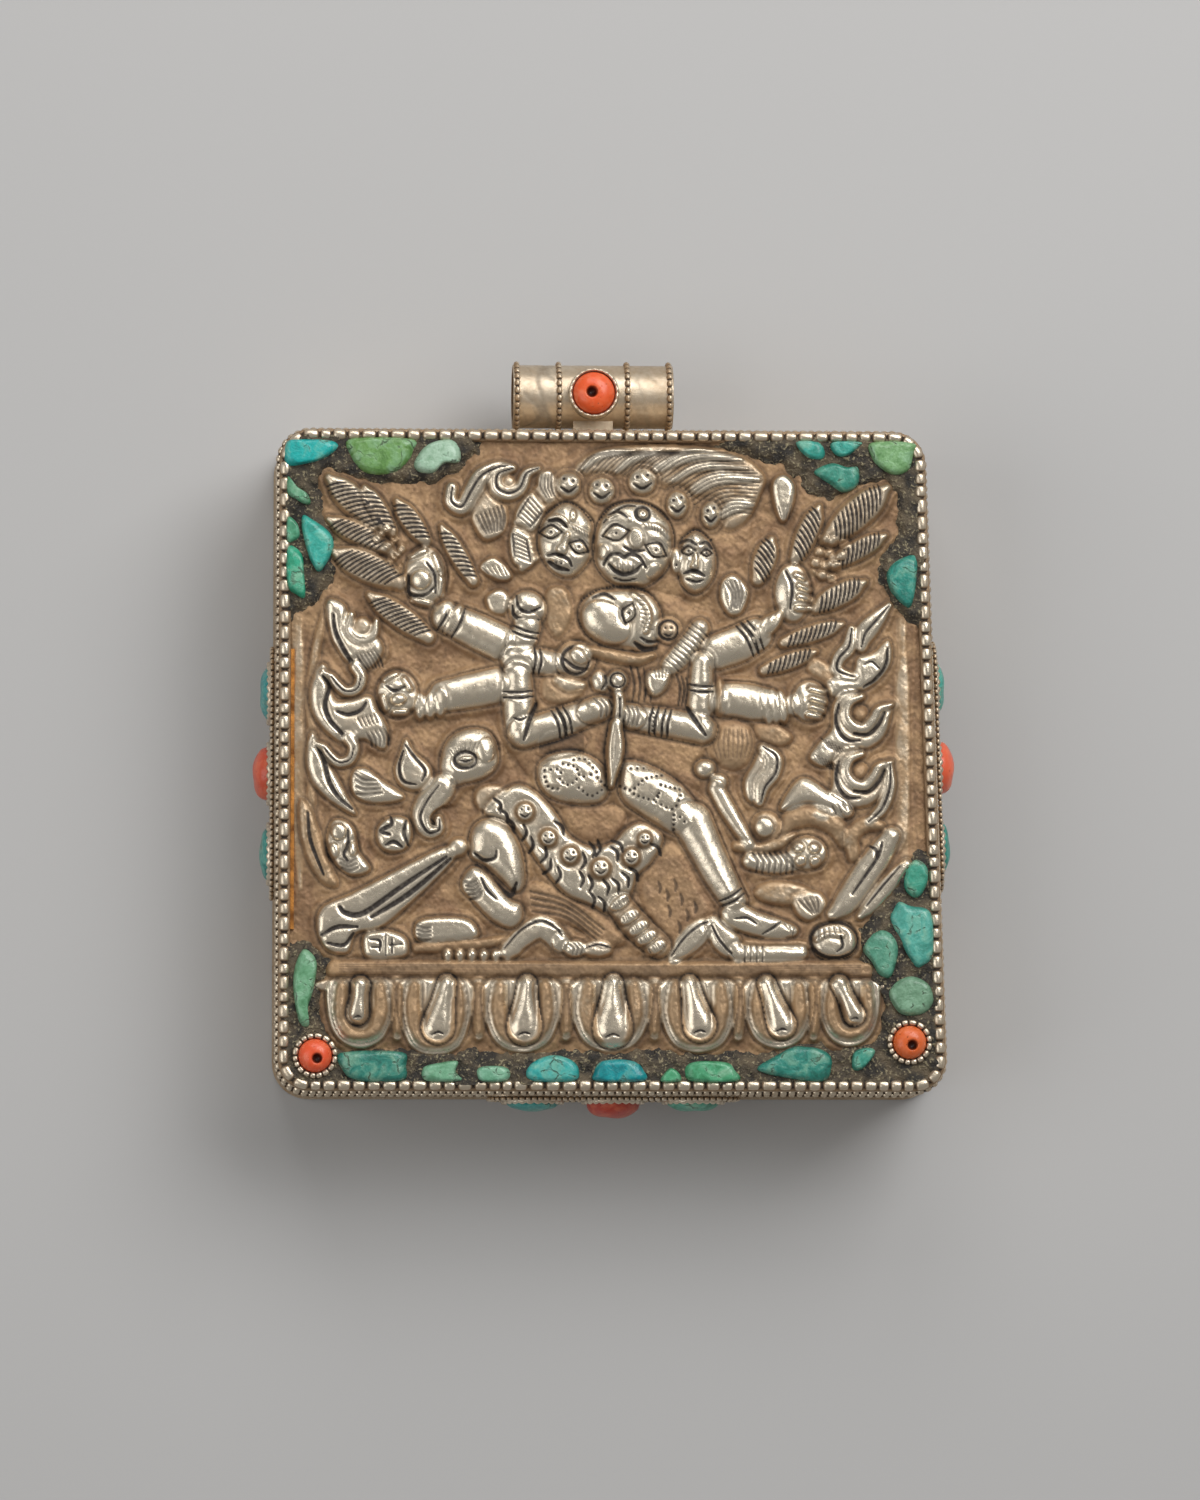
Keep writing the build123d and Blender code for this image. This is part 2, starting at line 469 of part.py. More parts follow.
# Mastic beds, with a pocket for each chip and bead
pockets = {
    "mastic_top_left": (bed_top_left, chips_top_left, []),
    "mastic_top_right": (bed_top_right, chips_top_right, []),
    "mastic_lower": (
        bed_lower, chips_lower_left + chips_bottom + chips_lower_right, [coral_left, coral_right]
    ),
}
for bed_name, (bed, chips, beads) in pockets.items():
    with BuildPart() as mastic:
        with BuildSketch(FRONT):
            add(bed)
            add(chips, mode=Mode.SUBTRACT)
            if beads:
                with Locations(beads):
                    Circle(CORNER_CORAL_RADIUS, mode=Mode.SUBTRACT)
        extrude(amount=MASTIC_RISE)
    finish(mastic, bed_name)

# Turquoise chips, one group to each stretch of mastic, ground flat where they meet the rim
chip_groups = {
    "turquoise_top_left": (chips_top_left, bed_top_left),
    "turquoise_top_right": (chips_top_right, bed_top_right),
    "turquoise_lower_left": (chips_lower_left, bed_lower),
    "turquoise_bottom_row": (chips_bottom, bed_lower),
    "turquoise_lower_right": (chips_lower_right, bed_lower),
}
for group_name, (chips, bed) in chip_groups.items():
    with BuildPart() as chip_group:
        with BuildSketch(FRONT):
            add(chips)
        extrude(amount=CHIP_RISE)
        chamfer(chip_group.edges().group_by(Axis.Z)[-1], CHIP_BEVEL)
        with BuildSketch(FRONT):
            add(bed)
        extrude(amount=CHIP_RISE, mode=Mode.INTERSECT)
    finish(chip_group, group_name)

# Drilled coral beads in the lower corners, and the wire rings round them
for side, bead_centre in {"left": coral_left, "right": coral_right}.items():
    with BuildPart() as corner_coral:
        with BuildSketch(FRONT):
            with Locations(bead_centre):
                Circle(CORNER_CORAL_RADIUS)
        extrude(amount=CORNER_CORAL_RISE)
        fillet(corner_coral.edges().group_by(Axis.Z)[-1], CORNER_CORAL_ROUND)
        with BuildSketch(FRONT.offset(CORNER_CORAL_RISE)):
            with Locations(measured_from(bead_centre, [BEAD_HOLE_SHIFT])[0]):
                Circle(BEAD_HOLE_RADIUS)
        extrude(amount=-BEAD_HOLE_DEPTH, mode=Mode.SUBTRACT)
    finish(corner_coral, f"corner_coral_{side}")

    with BuildPart() as corner_ring:
        with BuildSketch(FRONT.offset(MASTIC_RISE)):
            with Locations(bead_centre):
                Circle(CORNER_RING_RADIUS)
                Circle(CORNER_CORAL_RADIUS, mode=Mode.SUBTRACT)
        extrude(amount=CORNER_RING_RISE)
    finish(corner_ring, f"corner_ring_{side}")

# Bail: the tube, its foot on the top wall, four rings, and a coral bead in a cup
bail_y = HALF_HEIGHT + BAIL_GAP + BAIL_RADIUS
bail_axis = Plane(origin=(BAIL_SHIFT, bail_y, WALL_MID_Z), x_dir=(0, 1, 0), z_dir=(1, 0, 0))
bail_face = Plane(origin=(BAIL_SHIFT, bail_y, WALL_MID_Z))
cup_radius = BAIL_CORAL_RADIUS + BAIL_CUP_WALL
cup_height = BAIL_RADIUS + BAIL_CUP_RISE

with BuildPart() as bail_tube:
    with BuildSketch(bail_axis):
        Circle(BAIL_RADIUS)
        Circle(BAIL_BORE_RADIUS, mode=Mode.SUBTRACT)
    extrude(amount=BAIL_LENGTH / 2, both=True)
finish(bail_tube, "bail_tube")

with BuildPart() as bail_foot:
    foot_seat = Plane(origin=(BAIL_SHIFT, HALF_HEIGHT, WALL_MID_Z), x_dir=(1, 0, 0), z_dir=(0, 1, 0))
    with BuildSketch(foot_seat):
        Rectangle(BAIL_FOOT_WIDTH, BAIL_FOOT_DEPTH)
    extrude(amount=BAIL_GAP + BAIL_RADIUS)
    with BuildSketch(bail_axis):
        Circle(BAIL_RADIUS)
    extrude(amount=BAIL_LENGTH / 2, both=True, mode=Mode.SUBTRACT)
    with BuildSketch(bail_face):
        Circle(cup_radius)
    extrude(amount=cup_height, mode=Mode.SUBTRACT)
finish(bail_foot, "bail_foot")

ring_end = BAIL_LENGTH / 2 - BAIL_RING_WIDTH / 2
ring_places = [-ring_end, -BAIL_INNER_RING_OFFSET, BAIL_INNER_RING_OFFSET, ring_end]
with BuildPart() as bail_rings:
    for ring_place in ring_places:
        with BuildSketch(bail_axis.offset(ring_place)):
            Circle(BAIL_RADIUS + BAIL_RING_RISE)
            Circle(BAIL_RADIUS, mode=Mode.SUBTRACT)
        extrude(amount=BAIL_RING_WIDTH / 2, both=True)
finish(bail_rings, "bail_rings")

with BuildPart() as bail_cup:
    with BuildSketch(bail_face):
        Circle(cup_radius)
        Circle(BAIL_CORAL_RADIUS, mode=Mode.SUBTRACT)
    extrude(amount=cup_height)
    with BuildSketch(bail_axis):
        Circle(BAIL_RADIUS)
    extrude(amount=BAIL_LENGTH / 2, both=True, mode=Mode.SUBTRACT)
finish(bail_cup, "bail_cup")

with BuildPart() as bail_coral:
    with BuildSketch(bail_face):
        Circle(BAIL_CORAL_RADIUS)
    extrude(amount=BAIL_RADIUS + BAIL_CORAL_RISE)
    fillet(bail_coral.edges().group_by(Axis.Z)[-1], BAIL_CORAL_ROUND)
    with BuildSketch(bail_axis):
        Circle(BAIL_RADIUS)
    extrude(amount=BAIL_LENGTH / 2, both=True, mode=Mode.SUBTRACT)
    with BuildSketch(bail_face.offset(BAIL_RADIUS + BAIL_CORAL_RISE)):
        with Locations((-BEAD_HOLE_SHIFT[0], 0)):
            Circle(BEAD_HOLE_RADIUS)
    extrude(amount=-BEAD_HOLE_DEPTH, mode=Mode.SUBTRACT)
finish(bail_coral, "bail_coral")

# Three settings on a plate, on the left, right and bottom walls
right_wall = (Vector(*TOP_RIGHT) - Vector(*BOTTOM_RIGHT)).normalized()
right_seat = Vector(RIGHT_REACH_MIDDLE, 0, WALL_MID_Z) + right_wall * RIGHT_SETTING_SHIFT
left_seat = (-LEFT_REACH, LEFT_SETTING_SHIFT, WALL_MID_Z)
bottom_seat = (BOTTOM_SETTING_SHIFT, -HALF_HEIGHT, WALL_MID_Z)
wall_seats = {
    "left": Plane(origin=left_seat, x_dir=(0, 1, 0), z_dir=(-1, 0, 0)),
    "right": Plane(origin=right_seat, x_dir=right_wall, z_dir=right_wall.cross(Vector(0, 0, 1))),
    "bottom": Plane(origin=bottom_seat, x_dir=(1, 0, 0), z_dir=(0, -1, 0)),
}
for wall_name, seat in wall_seats.items():
    plate_top = seat.offset(PLATE_THICKNESS)

    with BuildPart() as plate:
        with BuildSketch(seat):
            RectangleRounded(PLATE_LENGTH, PLATE_HEIGHT, PLATE_CORNER)
        extrude(amount=PLATE_THICKNESS)
    finish(plate, f"{wall_name}_plate")

    with BuildPart() as plate_wire:
        with BuildSketch(plate_top):
            RectangleRounded(PLATE_LENGTH, PLATE_HEIGHT, PLATE_CORNER)
            offset(amount=-PLATE_WIRE_WIDTH, mode=Mode.SUBTRACT)
        extrude(amount=PLATE_WIRE_RISE)
        fillet(edges_on_top(plate_wire, seat), PLATE_WIRE_ROUND)
    finish(plate_wire, f"{wall_name}_plate_wire")

    with BuildPart() as cups:
        with BuildSketch(plate_top):
            with GridLocations(SETTING_PITCH, 0, 3, 1):
                Ellipse(CAB_LENGTH / 2 + CUP_WALL, CAB_HEIGHT / 2 + CUP_WALL)
                Ellipse(CAB_LENGTH / 2, CAB_HEIGHT / 2, mode=Mode.SUBTRACT)
        extrude(amount=CUP_RISE)
    finish(cups, f"{wall_name}_cups")

    with BuildPart() as turquoise:
        with BuildSketch(plate_top):
            with GridLocations(2 * SETTING_PITCH, 0, 2, 1):
                Ellipse(CAB_LENGTH / 2, CAB_HEIGHT / 2)
        extrude(amount=TURQUOISE_RISE)
        fillet(edges_on_top(turquoise, seat), CAB_ROUND)
    finish(turquoise, f"{wall_name}_turquoise")

    with BuildPart() as coral:
        with BuildSketch(plate_top):
            Ellipse(CAB_LENGTH / 2, CAB_HEIGHT / 2)
        extrude(amount=CORAL_RISE)
        fillet(edges_on_top(coral, seat), CAB_ROUND)
    finish(coral, f"{wall_name}_coral")
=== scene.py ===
"""Looks of a ghau, a Himalayan amulet box: a square silver case whose front sheet is raised in relief.

Turquoise chips and coral beads sit in black mastic in its corners. Beaded wires run round the case, a
bail lies across its top, and three of its walls carry stone settings.

Shapes are worked out in millimetres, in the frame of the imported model, and become metres in the meshes.
"""
import logging
from dataclasses import dataclass, field
from enum import Enum
from typing import Callable, Sequence

import bpy
import numpy as np
from mathutils import Matrix, Vector


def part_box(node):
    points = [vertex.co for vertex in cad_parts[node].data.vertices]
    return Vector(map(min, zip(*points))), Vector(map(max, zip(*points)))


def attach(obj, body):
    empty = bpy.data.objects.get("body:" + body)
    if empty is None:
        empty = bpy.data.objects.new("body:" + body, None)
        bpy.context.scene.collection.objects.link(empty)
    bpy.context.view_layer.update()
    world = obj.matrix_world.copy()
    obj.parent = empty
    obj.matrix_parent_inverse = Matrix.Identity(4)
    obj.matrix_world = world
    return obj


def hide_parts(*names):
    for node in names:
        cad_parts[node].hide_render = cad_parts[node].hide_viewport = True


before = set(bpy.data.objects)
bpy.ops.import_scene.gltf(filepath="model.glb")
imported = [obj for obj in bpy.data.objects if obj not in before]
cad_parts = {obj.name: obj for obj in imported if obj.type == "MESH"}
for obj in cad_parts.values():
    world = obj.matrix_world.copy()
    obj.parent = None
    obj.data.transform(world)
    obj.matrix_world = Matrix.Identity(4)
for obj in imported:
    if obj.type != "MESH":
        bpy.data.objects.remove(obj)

Array = np.ndarray
Point = tuple[float, float]
Colour = tuple[float, float, float]
LOG = logging.getLogger("ghau")
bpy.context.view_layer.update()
MM = 0.001
UP = np.array([0.0, 0.0, 1.0])


class Body(Enum):
    """The two bodies that move apart when the back pan is drawn off."""

    BACK = "back"
    CASE = "case"


class Slot(Enum):
    """The record's material slots."""

    SILVER = "silver"
    TURQUOISE = "turquoise"
    CORAL = "coral"
    MASTIC = "mastic"
    GILT = "gilt"


def linear(red: int, green: int, blue: int) -> Colour:
    """A colour as read from a screen, 0 to 255, turned to linear light by the 2.4 power curve."""
    share = np.array([red, green, blue]) / 255
    return tuple(np.where(share <= 0.04045, share / 12.92, ((share + 0.055) / 1.055) ** 2.4))


def node_box(node: str) -> tuple[Array, Array]:
    """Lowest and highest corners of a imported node, in millimetres."""
    low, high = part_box(node)
    return np.array(low) / MM, np.array(high) / MM


@dataclass(frozen=True)
class Shade:
    """A shader socket that takes part in Python arithmetic: each operator adds one Math node."""

    tree: bpy.types.NodeTree
    socket: bpy.types.NodeSocket

    def math(self, operation: str, *operands: "Shade | float", clamp: bool = False) -> "Shade":
        """Add a Math node.

        Args:
            operation: the node's operation.
            operands: its inputs in order, sockets or numbers.
            clamp: whether the result is held between 0 and 1.

        Returns:
            The node's output.
        """
        node = self.tree.nodes.new("ShaderNodeMath")
        node.operation = operation
        node.use_clamp = clamp
        for socket, operand in zip(node.inputs, operands):
            if isinstance(operand, Shade):
                self.tree.links.new(operand.socket, socket)
            else:
                socket.default_value = operand
        return Shade(self.tree, node.outputs[0])

    def __add__(self, other: "Shade | float") -> "Shade":
        """Sum."""
        return self.math("ADD", self, other)

    def __sub__(self, other: "Shade | float") -> "Shade":
        """Difference."""
        return self.math("SUBTRACT", self, other)

    def __rsub__(self, other: float) -> "Shade":
        """Difference from a number."""
        return self.math("SUBTRACT", other, self)

    def __mul__(self, other: "Shade | float") -> "Shade":
        """Product."""
        return self.math("MULTIPLY", self, other)

    __radd__ = __add__
    __rmul__ = __mul__

    def clamped(self) -> "Shade":
        """The value held between 0 and 1."""
        return self.math("ADD", self, 0.0, clamp=True)

    def between(self, low: float, high: float) -> "Shade":
        """0 below low, 1 above high, straight in between."""
        return self.math("MULTIPLY", self - low, 1 / (high - low), clamp=True)


class Nodes:
    """A material's node tree, with one method that adds any node."""

    def __init__(self, name: str) -> None:
        """Make a material with an empty tree.

        Args:
            name: the material's name.
        """
        self.material = bpy.data.materials.new(name)
        self.material.use_nodes = True
        self.tree = self.material.node_tree
        self.tree.nodes.clear()

    def add(self, kind: str, settings: dict | None = None, inputs: dict | None = None,
            output: int | str = 0) -> Shade | None:
        """Add a node.

        Args:
            kind: the node's type, without its ShaderNode prefix.
            settings: properties that are set first.
            inputs: values or sockets by the name or number of the input.
            output: name or number of the output to return.

        Returns:
            That output, or nothing from a node that has none.
        """
        node = self.tree.nodes.new("ShaderNode" + kind)
        for name, value in (settings or {}).items():
            setattr(node, name, value)
        for name, value in (inputs or {}).items():
            if isinstance(value, Shade):
                self.tree.links.new(value.socket, node.inputs[name])
            elif isinstance(value, tuple) and len(value) == 3 and node.inputs[name].type == "RGBA":
                node.inputs[name].default_value = (*value, 1.0)
            else:
                node.inputs[name].default_value = value
        return Shade(self.tree, node.outputs[output]) if node.outputs else None

    def mix(self, share: Shade | float, first: Shade | Colour, second: Shade | Colour,
            blend: str = "MIX") -> Shade:
        """Mix two colours by a share."""
        settings = {"data_type": "RGBA", "blend_type": blend}
        return self.add("Mix", settings, {0: share, 6: first, 7: second}, 2)

    def place(self) -> Shade:
        """Object coordinates, in metres."""
        return self.add("TexCoord", output="Object")

    def grain(self, size_mm: float, detail: float = 3.0, warp: float = 0.0) -> Shade:
        """Noise whose lumps are about a size across."""
        inputs = {"Vector": self.place(), "Scale": 1 / (size_mm * MM), "Detail": detail, "Distortion": warp}
        return self.add("TexNoise", None, inputs, "Fac")

    def mark(self, name: str) -> Shade:
        """A number that the mesh holds at each vertex."""
        return self.add("Attribute", {"attribute_name": name}, None, "Fac")

    def bump(self, height: Shade, depth_mm: float) -> Shade:
        """A normal tilted by a height pattern of a given depth."""
        inputs = {"Height": height, "Strength": 1.0, "Distance": depth_mm * MM}
        return self.add("Bump", None, inputs, "Normal")

    def surface(self, **sockets: Shade | float | Colour) -> bpy.types.Material:
        """Close the tree with a Principled shader; Base_Color names its Base Color socket.

        Args:
            sockets: what goes into the shader, with an underscore for each space of a socket name.

        Returns:
            The finished material.
        """
        inputs = {name.replace("_", " "): value for name, value in sockets.items()}
        shader = self.add("BsdfPrincipled", None, inputs, "BSDF")
        self.add("OutputMaterial", None, {"Surface": shader})
        return self.material


@dataclass(frozen=True)
class AgedSilver:
    """Old silver: bright where it is rubbed, brown where wax and dirt stay, black in chased lines, with
    painted shade in hollows.

    The brightness comes from a mark of polish and a mark of black tarnish and painted shade on worked pieces,
    and from wear, the same all over, on plain ones.
    """

    name: str
    worked: bool = True
    wear: float = 0.7
    bright: Colour = linear(230, 217, 195)
    dull: Colour = linear(169, 143, 112)
    dirt: Colour = linear(140, 109, 80)
    pale_dirt: Colour = linear(176, 143, 106)
    line: Colour = linear(40, 32, 26)
    blotch_size: float = 3.2
    speck_size: float = 0.45
    brush_size: float = 0.12
    roughest: float = 0.54
    least_metal: float = 0.45
    grain_depth: float = 0.035

    def material(self) -> bpy.types.Material:
        """Worn share = polish less blotches of noise; it sets colour, metal and roughness.

        Returns:
            The material.
        """
        nodes = Nodes(self.name)
        blotch = nodes.grain(self.blotch_size, 4.0, 0.6)
        speck, brush = nodes.grain(self.speck_size, 4.0), nodes.grain(self.brush_size, 2.0)
        polish = nodes.mark("polish") if self.worked else self.wear
        worn = (1.25 * polish - 0.62 * blotch - 0.34 * speck + 0.24).clamped()
        ground = nodes.mix(blotch.between(0.35, 0.65), self.dirt, self.pale_dirt)
        ground = nodes.mix(speck.between(0.5, 0.8) * 0.45, ground, self.line)
        colour = nodes.mix(worn.between(0.0, 0.5), ground, self.dull)
        colour = nodes.mix(worn.between(0.4, 1.0), colour, self.bright)
        roughness = self.roughest - 0.32 * worn + 0.12 * speck
        metal = self.least_metal + 0.5 * worn
        if self.worked:
            # darkening mark: black tarnish in chased lines plus painted shade in hollows, holes and gaps
            soot_and_shade = (nodes.mark("soot_and_shade") * (0.75 + 0.5 * speck)).clamped()
            colour = nodes.mix(soot_and_shade, colour, self.line)
            metal = metal * (1 - 0.9 * soot_and_shade)
            roughness = roughness + 0.3 * soot_and_shade
        normal = nodes.bump(speck * 0.6 + brush * 0.4, self.grain_depth)
        return nodes.surface(Base_Color=colour, Metallic=metal, Roughness=roughness, Normal=normal)


@dataclass(frozen=True)
class Turquoise:
    """Turquoise whose base colour is the mark tint, with green and pale clouds and a dark web of matrix."""

    name: str = "turquoise"
    matrix: Colour = linear(62, 58, 44)
    cloud: Colour = linear(150, 190, 160)
    cloud_size: float = 1.6
    fine_size: float = 0.3
    warp_scale: float = 900.0
    warp_reach: float = 0.0012
    web_scale: float = 520.0
    pit_depth: float = 0.2

    def material(self) -> bpy.types.Material:
        """Colour = tint mixed with clouds of noise and, near cell borders, with the matrix.

        Returns:
            The material.
        """
        nodes = Nodes(self.name)
        tint = nodes.add("Attribute", {"attribute_name": "tint"}, None, "Color")
        cloud, fine = nodes.grain(self.cloud_size, 4.0, 0.8), nodes.grain(self.fine_size, 3.0)
        warp_inputs = {"Vector": nodes.place(), "Scale": self.warp_scale, "Detail": 3.0}
        warp = nodes.add("TexNoise", None, warp_inputs, "Color")
        bent = nodes.add("VectorMath", {"operation": "MULTIPLY_ADD"},
                         {0: warp, 1: (self.warp_reach,) * 3, 2: nodes.place()}, 0)
        web = nodes.add("TexVoronoi", {"feature": "DISTANCE_TO_EDGE"},
                        {"Vector": bent, "Scale": self.web_scale}, "Distance")
        vein = (1 - web.between(0.0, 0.06)) * cloud.between(0.53, 0.64)
        colour = nodes.mix(cloud.between(0.48, 0.72) * 0.6, tint, self.cloud)
        colour = nodes.mix((1 - cloud.between(0.32, 0.5)) * 0.55, colour, tint, "MULTIPLY")
        colour = nodes.mix(fine.between(0.45, 0.75) * 0.4, colour, tint, "MULTIPLY")
        colour = nodes.mix(vein * 0.7, colour, self.matrix)
        normal = nodes.bump(cloud * 0.7 + fine * 0.3 - 0.6 * vein, self.pit_depth)
        return nodes.surface(Base_Color=colour, Roughness=0.26 + 0.3 * fine, Normal=normal,
                             Coat_Weight=0.25)


@dataclass(frozen=True)
class Coral:
    """Red coral with paler bands and small pits."""

    name: str = "coral"
    pale: Colour = linear(240, 140, 96)
    pit_and_hole_shade: Colour = linear(70, 26, 16)
    band_size: float = 1.3
    fine_size: float = 0.22
    pit_depth: float = 0.06

    def material(self) -> bpy.types.Material:
        """Colour = the mark tint, banded by stretched noise, dark in pits, with painted shade in the drilled
        hole.

        Returns:
            The material.
        """
        nodes = Nodes(self.name)
        tint = nodes.add("Attribute", {"attribute_name": "tint"}, None, "Color")
        band, fine = nodes.grain(self.band_size, 3.0, 1.2), nodes.grain(self.fine_size, 3.0)
        colour = nodes.mix(band.between(0.45, 0.8) * 0.5, tint, self.pale)
        pits = fine.between(0.66, 0.74)
        colour = nodes.mix((pits * 0.6 + nodes.mark("soot_and_shade")).clamped(), colour, self.pit_and_hole_shade)
        normal = nodes.bump(band * 0.5 - pits, self.pit_depth)
        return nodes.surface(Base_Color=colour, Roughness=0.28 + 0.25 * band, Normal=normal,
                             Coat_Weight=0.2)


@dataclass(frozen=True)
class Mastic:
    """Black setting wax, rough, with pale grit and dust in its hollows."""

    name: str = "mastic"
    dark: Colour = linear(48, 44, 39)
    brown: Colour = linear(96, 84, 66)
    grit: Colour = linear(158, 146, 116)
    lump_size: float = 1.8
    fine_size: float = 0.28
    dust_size: float = 0.7
    grain_depth: float = 0.45

    def material(self) -> bpy.types.Material:
        """Colour = dark and brown by lumps of noise, with grit where fine noise is high.

        Returns:
            The material.
        """
        nodes = Nodes(self.name)
        lump, fine = nodes.grain(self.lump_size, 5.0), nodes.grain(self.fine_size, 3.0)
        dust = nodes.grain(self.dust_size, 4.0)
        colour = nodes.mix(lump.between(0.42, 0.62), self.dark, self.brown)
        colour = nodes.mix(fine.between(0.53, 0.64) * dust.between(0.42, 0.56) * 0.85, colour, self.grit)
        normal = nodes.bump(fine * 0.6 + dust * 0.4, self.grain_depth)
        return nodes.surface(Base_Color=colour, Roughness=0.72 + 0.2 * fine, Normal=normal)


@dataclass(frozen=True)
class Gilt:
    """Copper-gold edging, dull in patches."""

    name: str = "gilt"
    bright: Colour = linear(214, 148, 76)
    dull: Colour = linear(132, 84, 44)
    patch_size: float = 1.5
    fine_size: float = 0.2
    grain_depth: float = 0.03

    def material(self) -> bpy.types.Material:
        """Colour runs from dull to bright by noise.

        Returns:
            The material.
        """
        nodes = Nodes(self.name)
        patch, fine = nodes.grain(self.patch_size, 4.0), nodes.grain(self.fine_size, 2.0)
        colour = nodes.mix(patch.between(0.35, 0.65), self.dull, self.bright)
        normal = nodes.bump(fine, self.grain_depth)
        return nodes.surface(Base_Color=colour, Metallic=0.9, Roughness=0.35 + 0.3 * patch, Normal=normal)


@dataclass
class Surface:
    """Vertices in millimetres, faces as vertex numbers, and numbers or colours held at the vertices."""

    vertices: Array
    faces: list
    marks: dict[str, Array] = field(default_factory=dict)

    @classmethod
    def grid(cls, points: Array, wrap_rows: bool = False, wrap_columns: bool = False, caps: bool = False,
             marks: dict[str, Array] | None = None) -> "Surface":
        """Quads between neighbours of a rows by columns by 3 array of points.

        Args:
            points: the grid; faces look along row step cross column step, or outwards where it closes.
            wrap_rows: whether the last row joins the first.
            wrap_columns: whether the last column joins the first.
            caps: whether the first and last rows are closed, each with one face.
            marks: arrays of rows by columns, or by 3 for colours.

        Returns:
            The surface.
        """
        rows, columns = points.shape[:2]
        number = np.arange(rows * columns).reshape(rows, columns)
        here = np.vstack([number, number[:1]]) if wrap_rows else number
        here = np.hstack([here, here[:, :1]]) if wrap_columns else here
        corners = [here[:-1, :-1], here[1:, :-1], here[1:, 1:], here[:-1, 1:]]
        quads = np.stack(corners, axis=-1).reshape(-1, 4)
        first, last = number[0], number[-1][::-1]
        if caps or (wrap_rows and wrap_columns):
            arms = points.reshape(-1, 3)[quads] - points.reshape(-1, 3).mean(axis=0)
            if np.sum(arms[:, 0] * np.cross(arms[:, 2] - arms[:, 0], arms[:, 3] - arms[:, 1])) < 0:
                quads, first, last = quads[:, ::-1], first[::-1], last[::-1]
        faces = quads.tolist()
        if caps:
            faces += [first.tolist(), last.tolist()]
        flat = {name: np.asarray(value).reshape(rows * columns, -1) for name,
                value in (marks or {}).items()}
        return cls(points.reshape(-1, 3), faces, flat)

    @classmethod
    def joined(cls, surfaces: Sequence["Surface"]) -> "Surface":
        """Several surfaces as one.

        Args:
            surfaces: the parts, all with the same marks.

        Returns:
            The joined surface.
        """
        starts = np.cumsum([0] + [len(surface.vertices) for surface in surfaces])
        faces = [[corner + int(start) for corner in face]
                 for surface, start in zip(surfaces, starts) for face in surface.faces]
        names = surfaces[0].marks
        marks = {name: np.vstack([surface.marks[name] for surface in surfaces]) for name in names}
        return cls(np.vstack([surface.vertices for surface in surfaces]), faces, marks)

    def piece(self, name: str, material: bpy.types.Material, slot: Slot, *nodes: str,
              body: Body = Body.CASE, normals: Array | None = None) -> bpy.types.Object:
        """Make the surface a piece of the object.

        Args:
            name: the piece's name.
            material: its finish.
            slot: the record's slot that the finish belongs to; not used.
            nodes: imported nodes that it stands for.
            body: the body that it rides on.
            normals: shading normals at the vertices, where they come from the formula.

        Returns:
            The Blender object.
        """
        mesh = bpy.data.meshes.new(name)
        mesh.from_pydata((self.vertices * MM).tolist(), [], self.faces)
        mesh.polygons.foreach_set("use_smooth", np.ones(len(mesh.polygons), dtype=bool))
        for mark, values in self.marks.items():
            if values.shape[1] == 1:
                held = mesh.attributes.new(mark, "FLOAT", "POINT")
                held.data.foreach_set("value", values.astype(np.float32).ravel())
            else:
                rgba = np.column_stack([values, np.ones(len(values))]).astype(np.float32)
                held = mesh.attributes.new(mark, "FLOAT_COLOR", "POINT")
                held.data.foreach_set("color", rgba.ravel())
        if normals is not None:
            mesh.normals_split_custom_set_from_vertices(normals.tolist())
        mesh.materials.append(material)
        piece = bpy.data.objects.new(name, mesh)
        bpy.context.scene.collection.objects.link(piece)
        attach(piece, body.value)
        if nodes:
            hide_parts(*nodes)
        LOG.info("%s: %d faces", name, len(self.faces))
        return piece


def smooth_path(points: Sequence[Point], closed: bool = False, per_span: int = 6) -> Array:
    """Curve through points: each span is the Catmull-Rom cubic of its two points and their neighbours.

    Args:
        points: the points, with any further columns carried along.
        closed: whether the last point joins the first.
        per_span: how many points stand for a span.

    Returns:
        Points along the curve.
    """
    knots = np.asarray(points, dtype=float)
    if len(knots) < 3 and not closed:
        return knots
    if closed:
        padded = np.vstack([knots[-1:], knots, knots[:2]])
    else:
        padded = np.vstack([2 * knots[0] - knots[1], knots, 2 * knots[-1] - knots[-2]])
    before, start, end, after = padded[:-3], padded[1:-2], padded[2:-1], padded[3:]
    t = np.arange(per_span)[:, None, None] / per_span
    curve = 0.5 * (
        2 * start + (end - before) * t + (2 * before - 5 * start + 4 * end - after) * t**2
        + (3 * start - before - 3 * end + after) * t**3
    )
    curve = curve.transpose(1, 0, 2).reshape(-1, knots.shape[1])
    return curve if closed else np.vstack([curve, knots[-1:]])


def smooth_step(low: float, high: float, value: Array) -> Array:
    """Rise from 0 at low to 1 at high along 3t^2 - 2t^3."""
    t = np.clip((value - low) / (high - low), 0.0, 1.0)
    return t * t * (3 - 2 * t)


def even_steps(path: Array, closed: bool) -> tuple[Array, Array]:
    """A polyline, with its first point repeated where it is closed, and the length run at each point."""
    line = np.vstack([path, path[:1]]) if closed else path
    return line, np.concatenate([[0.0], np.cumsum(np.linalg.norm(np.diff(line, axis=0), axis=1))])


def at_run(line: Array, run: Array, places: Array) -> Array:
    """Points at given lengths along a polyline."""
    return np.column_stack([np.interp(places, run, line[:, axis]) for axis in range(line.shape[1])])


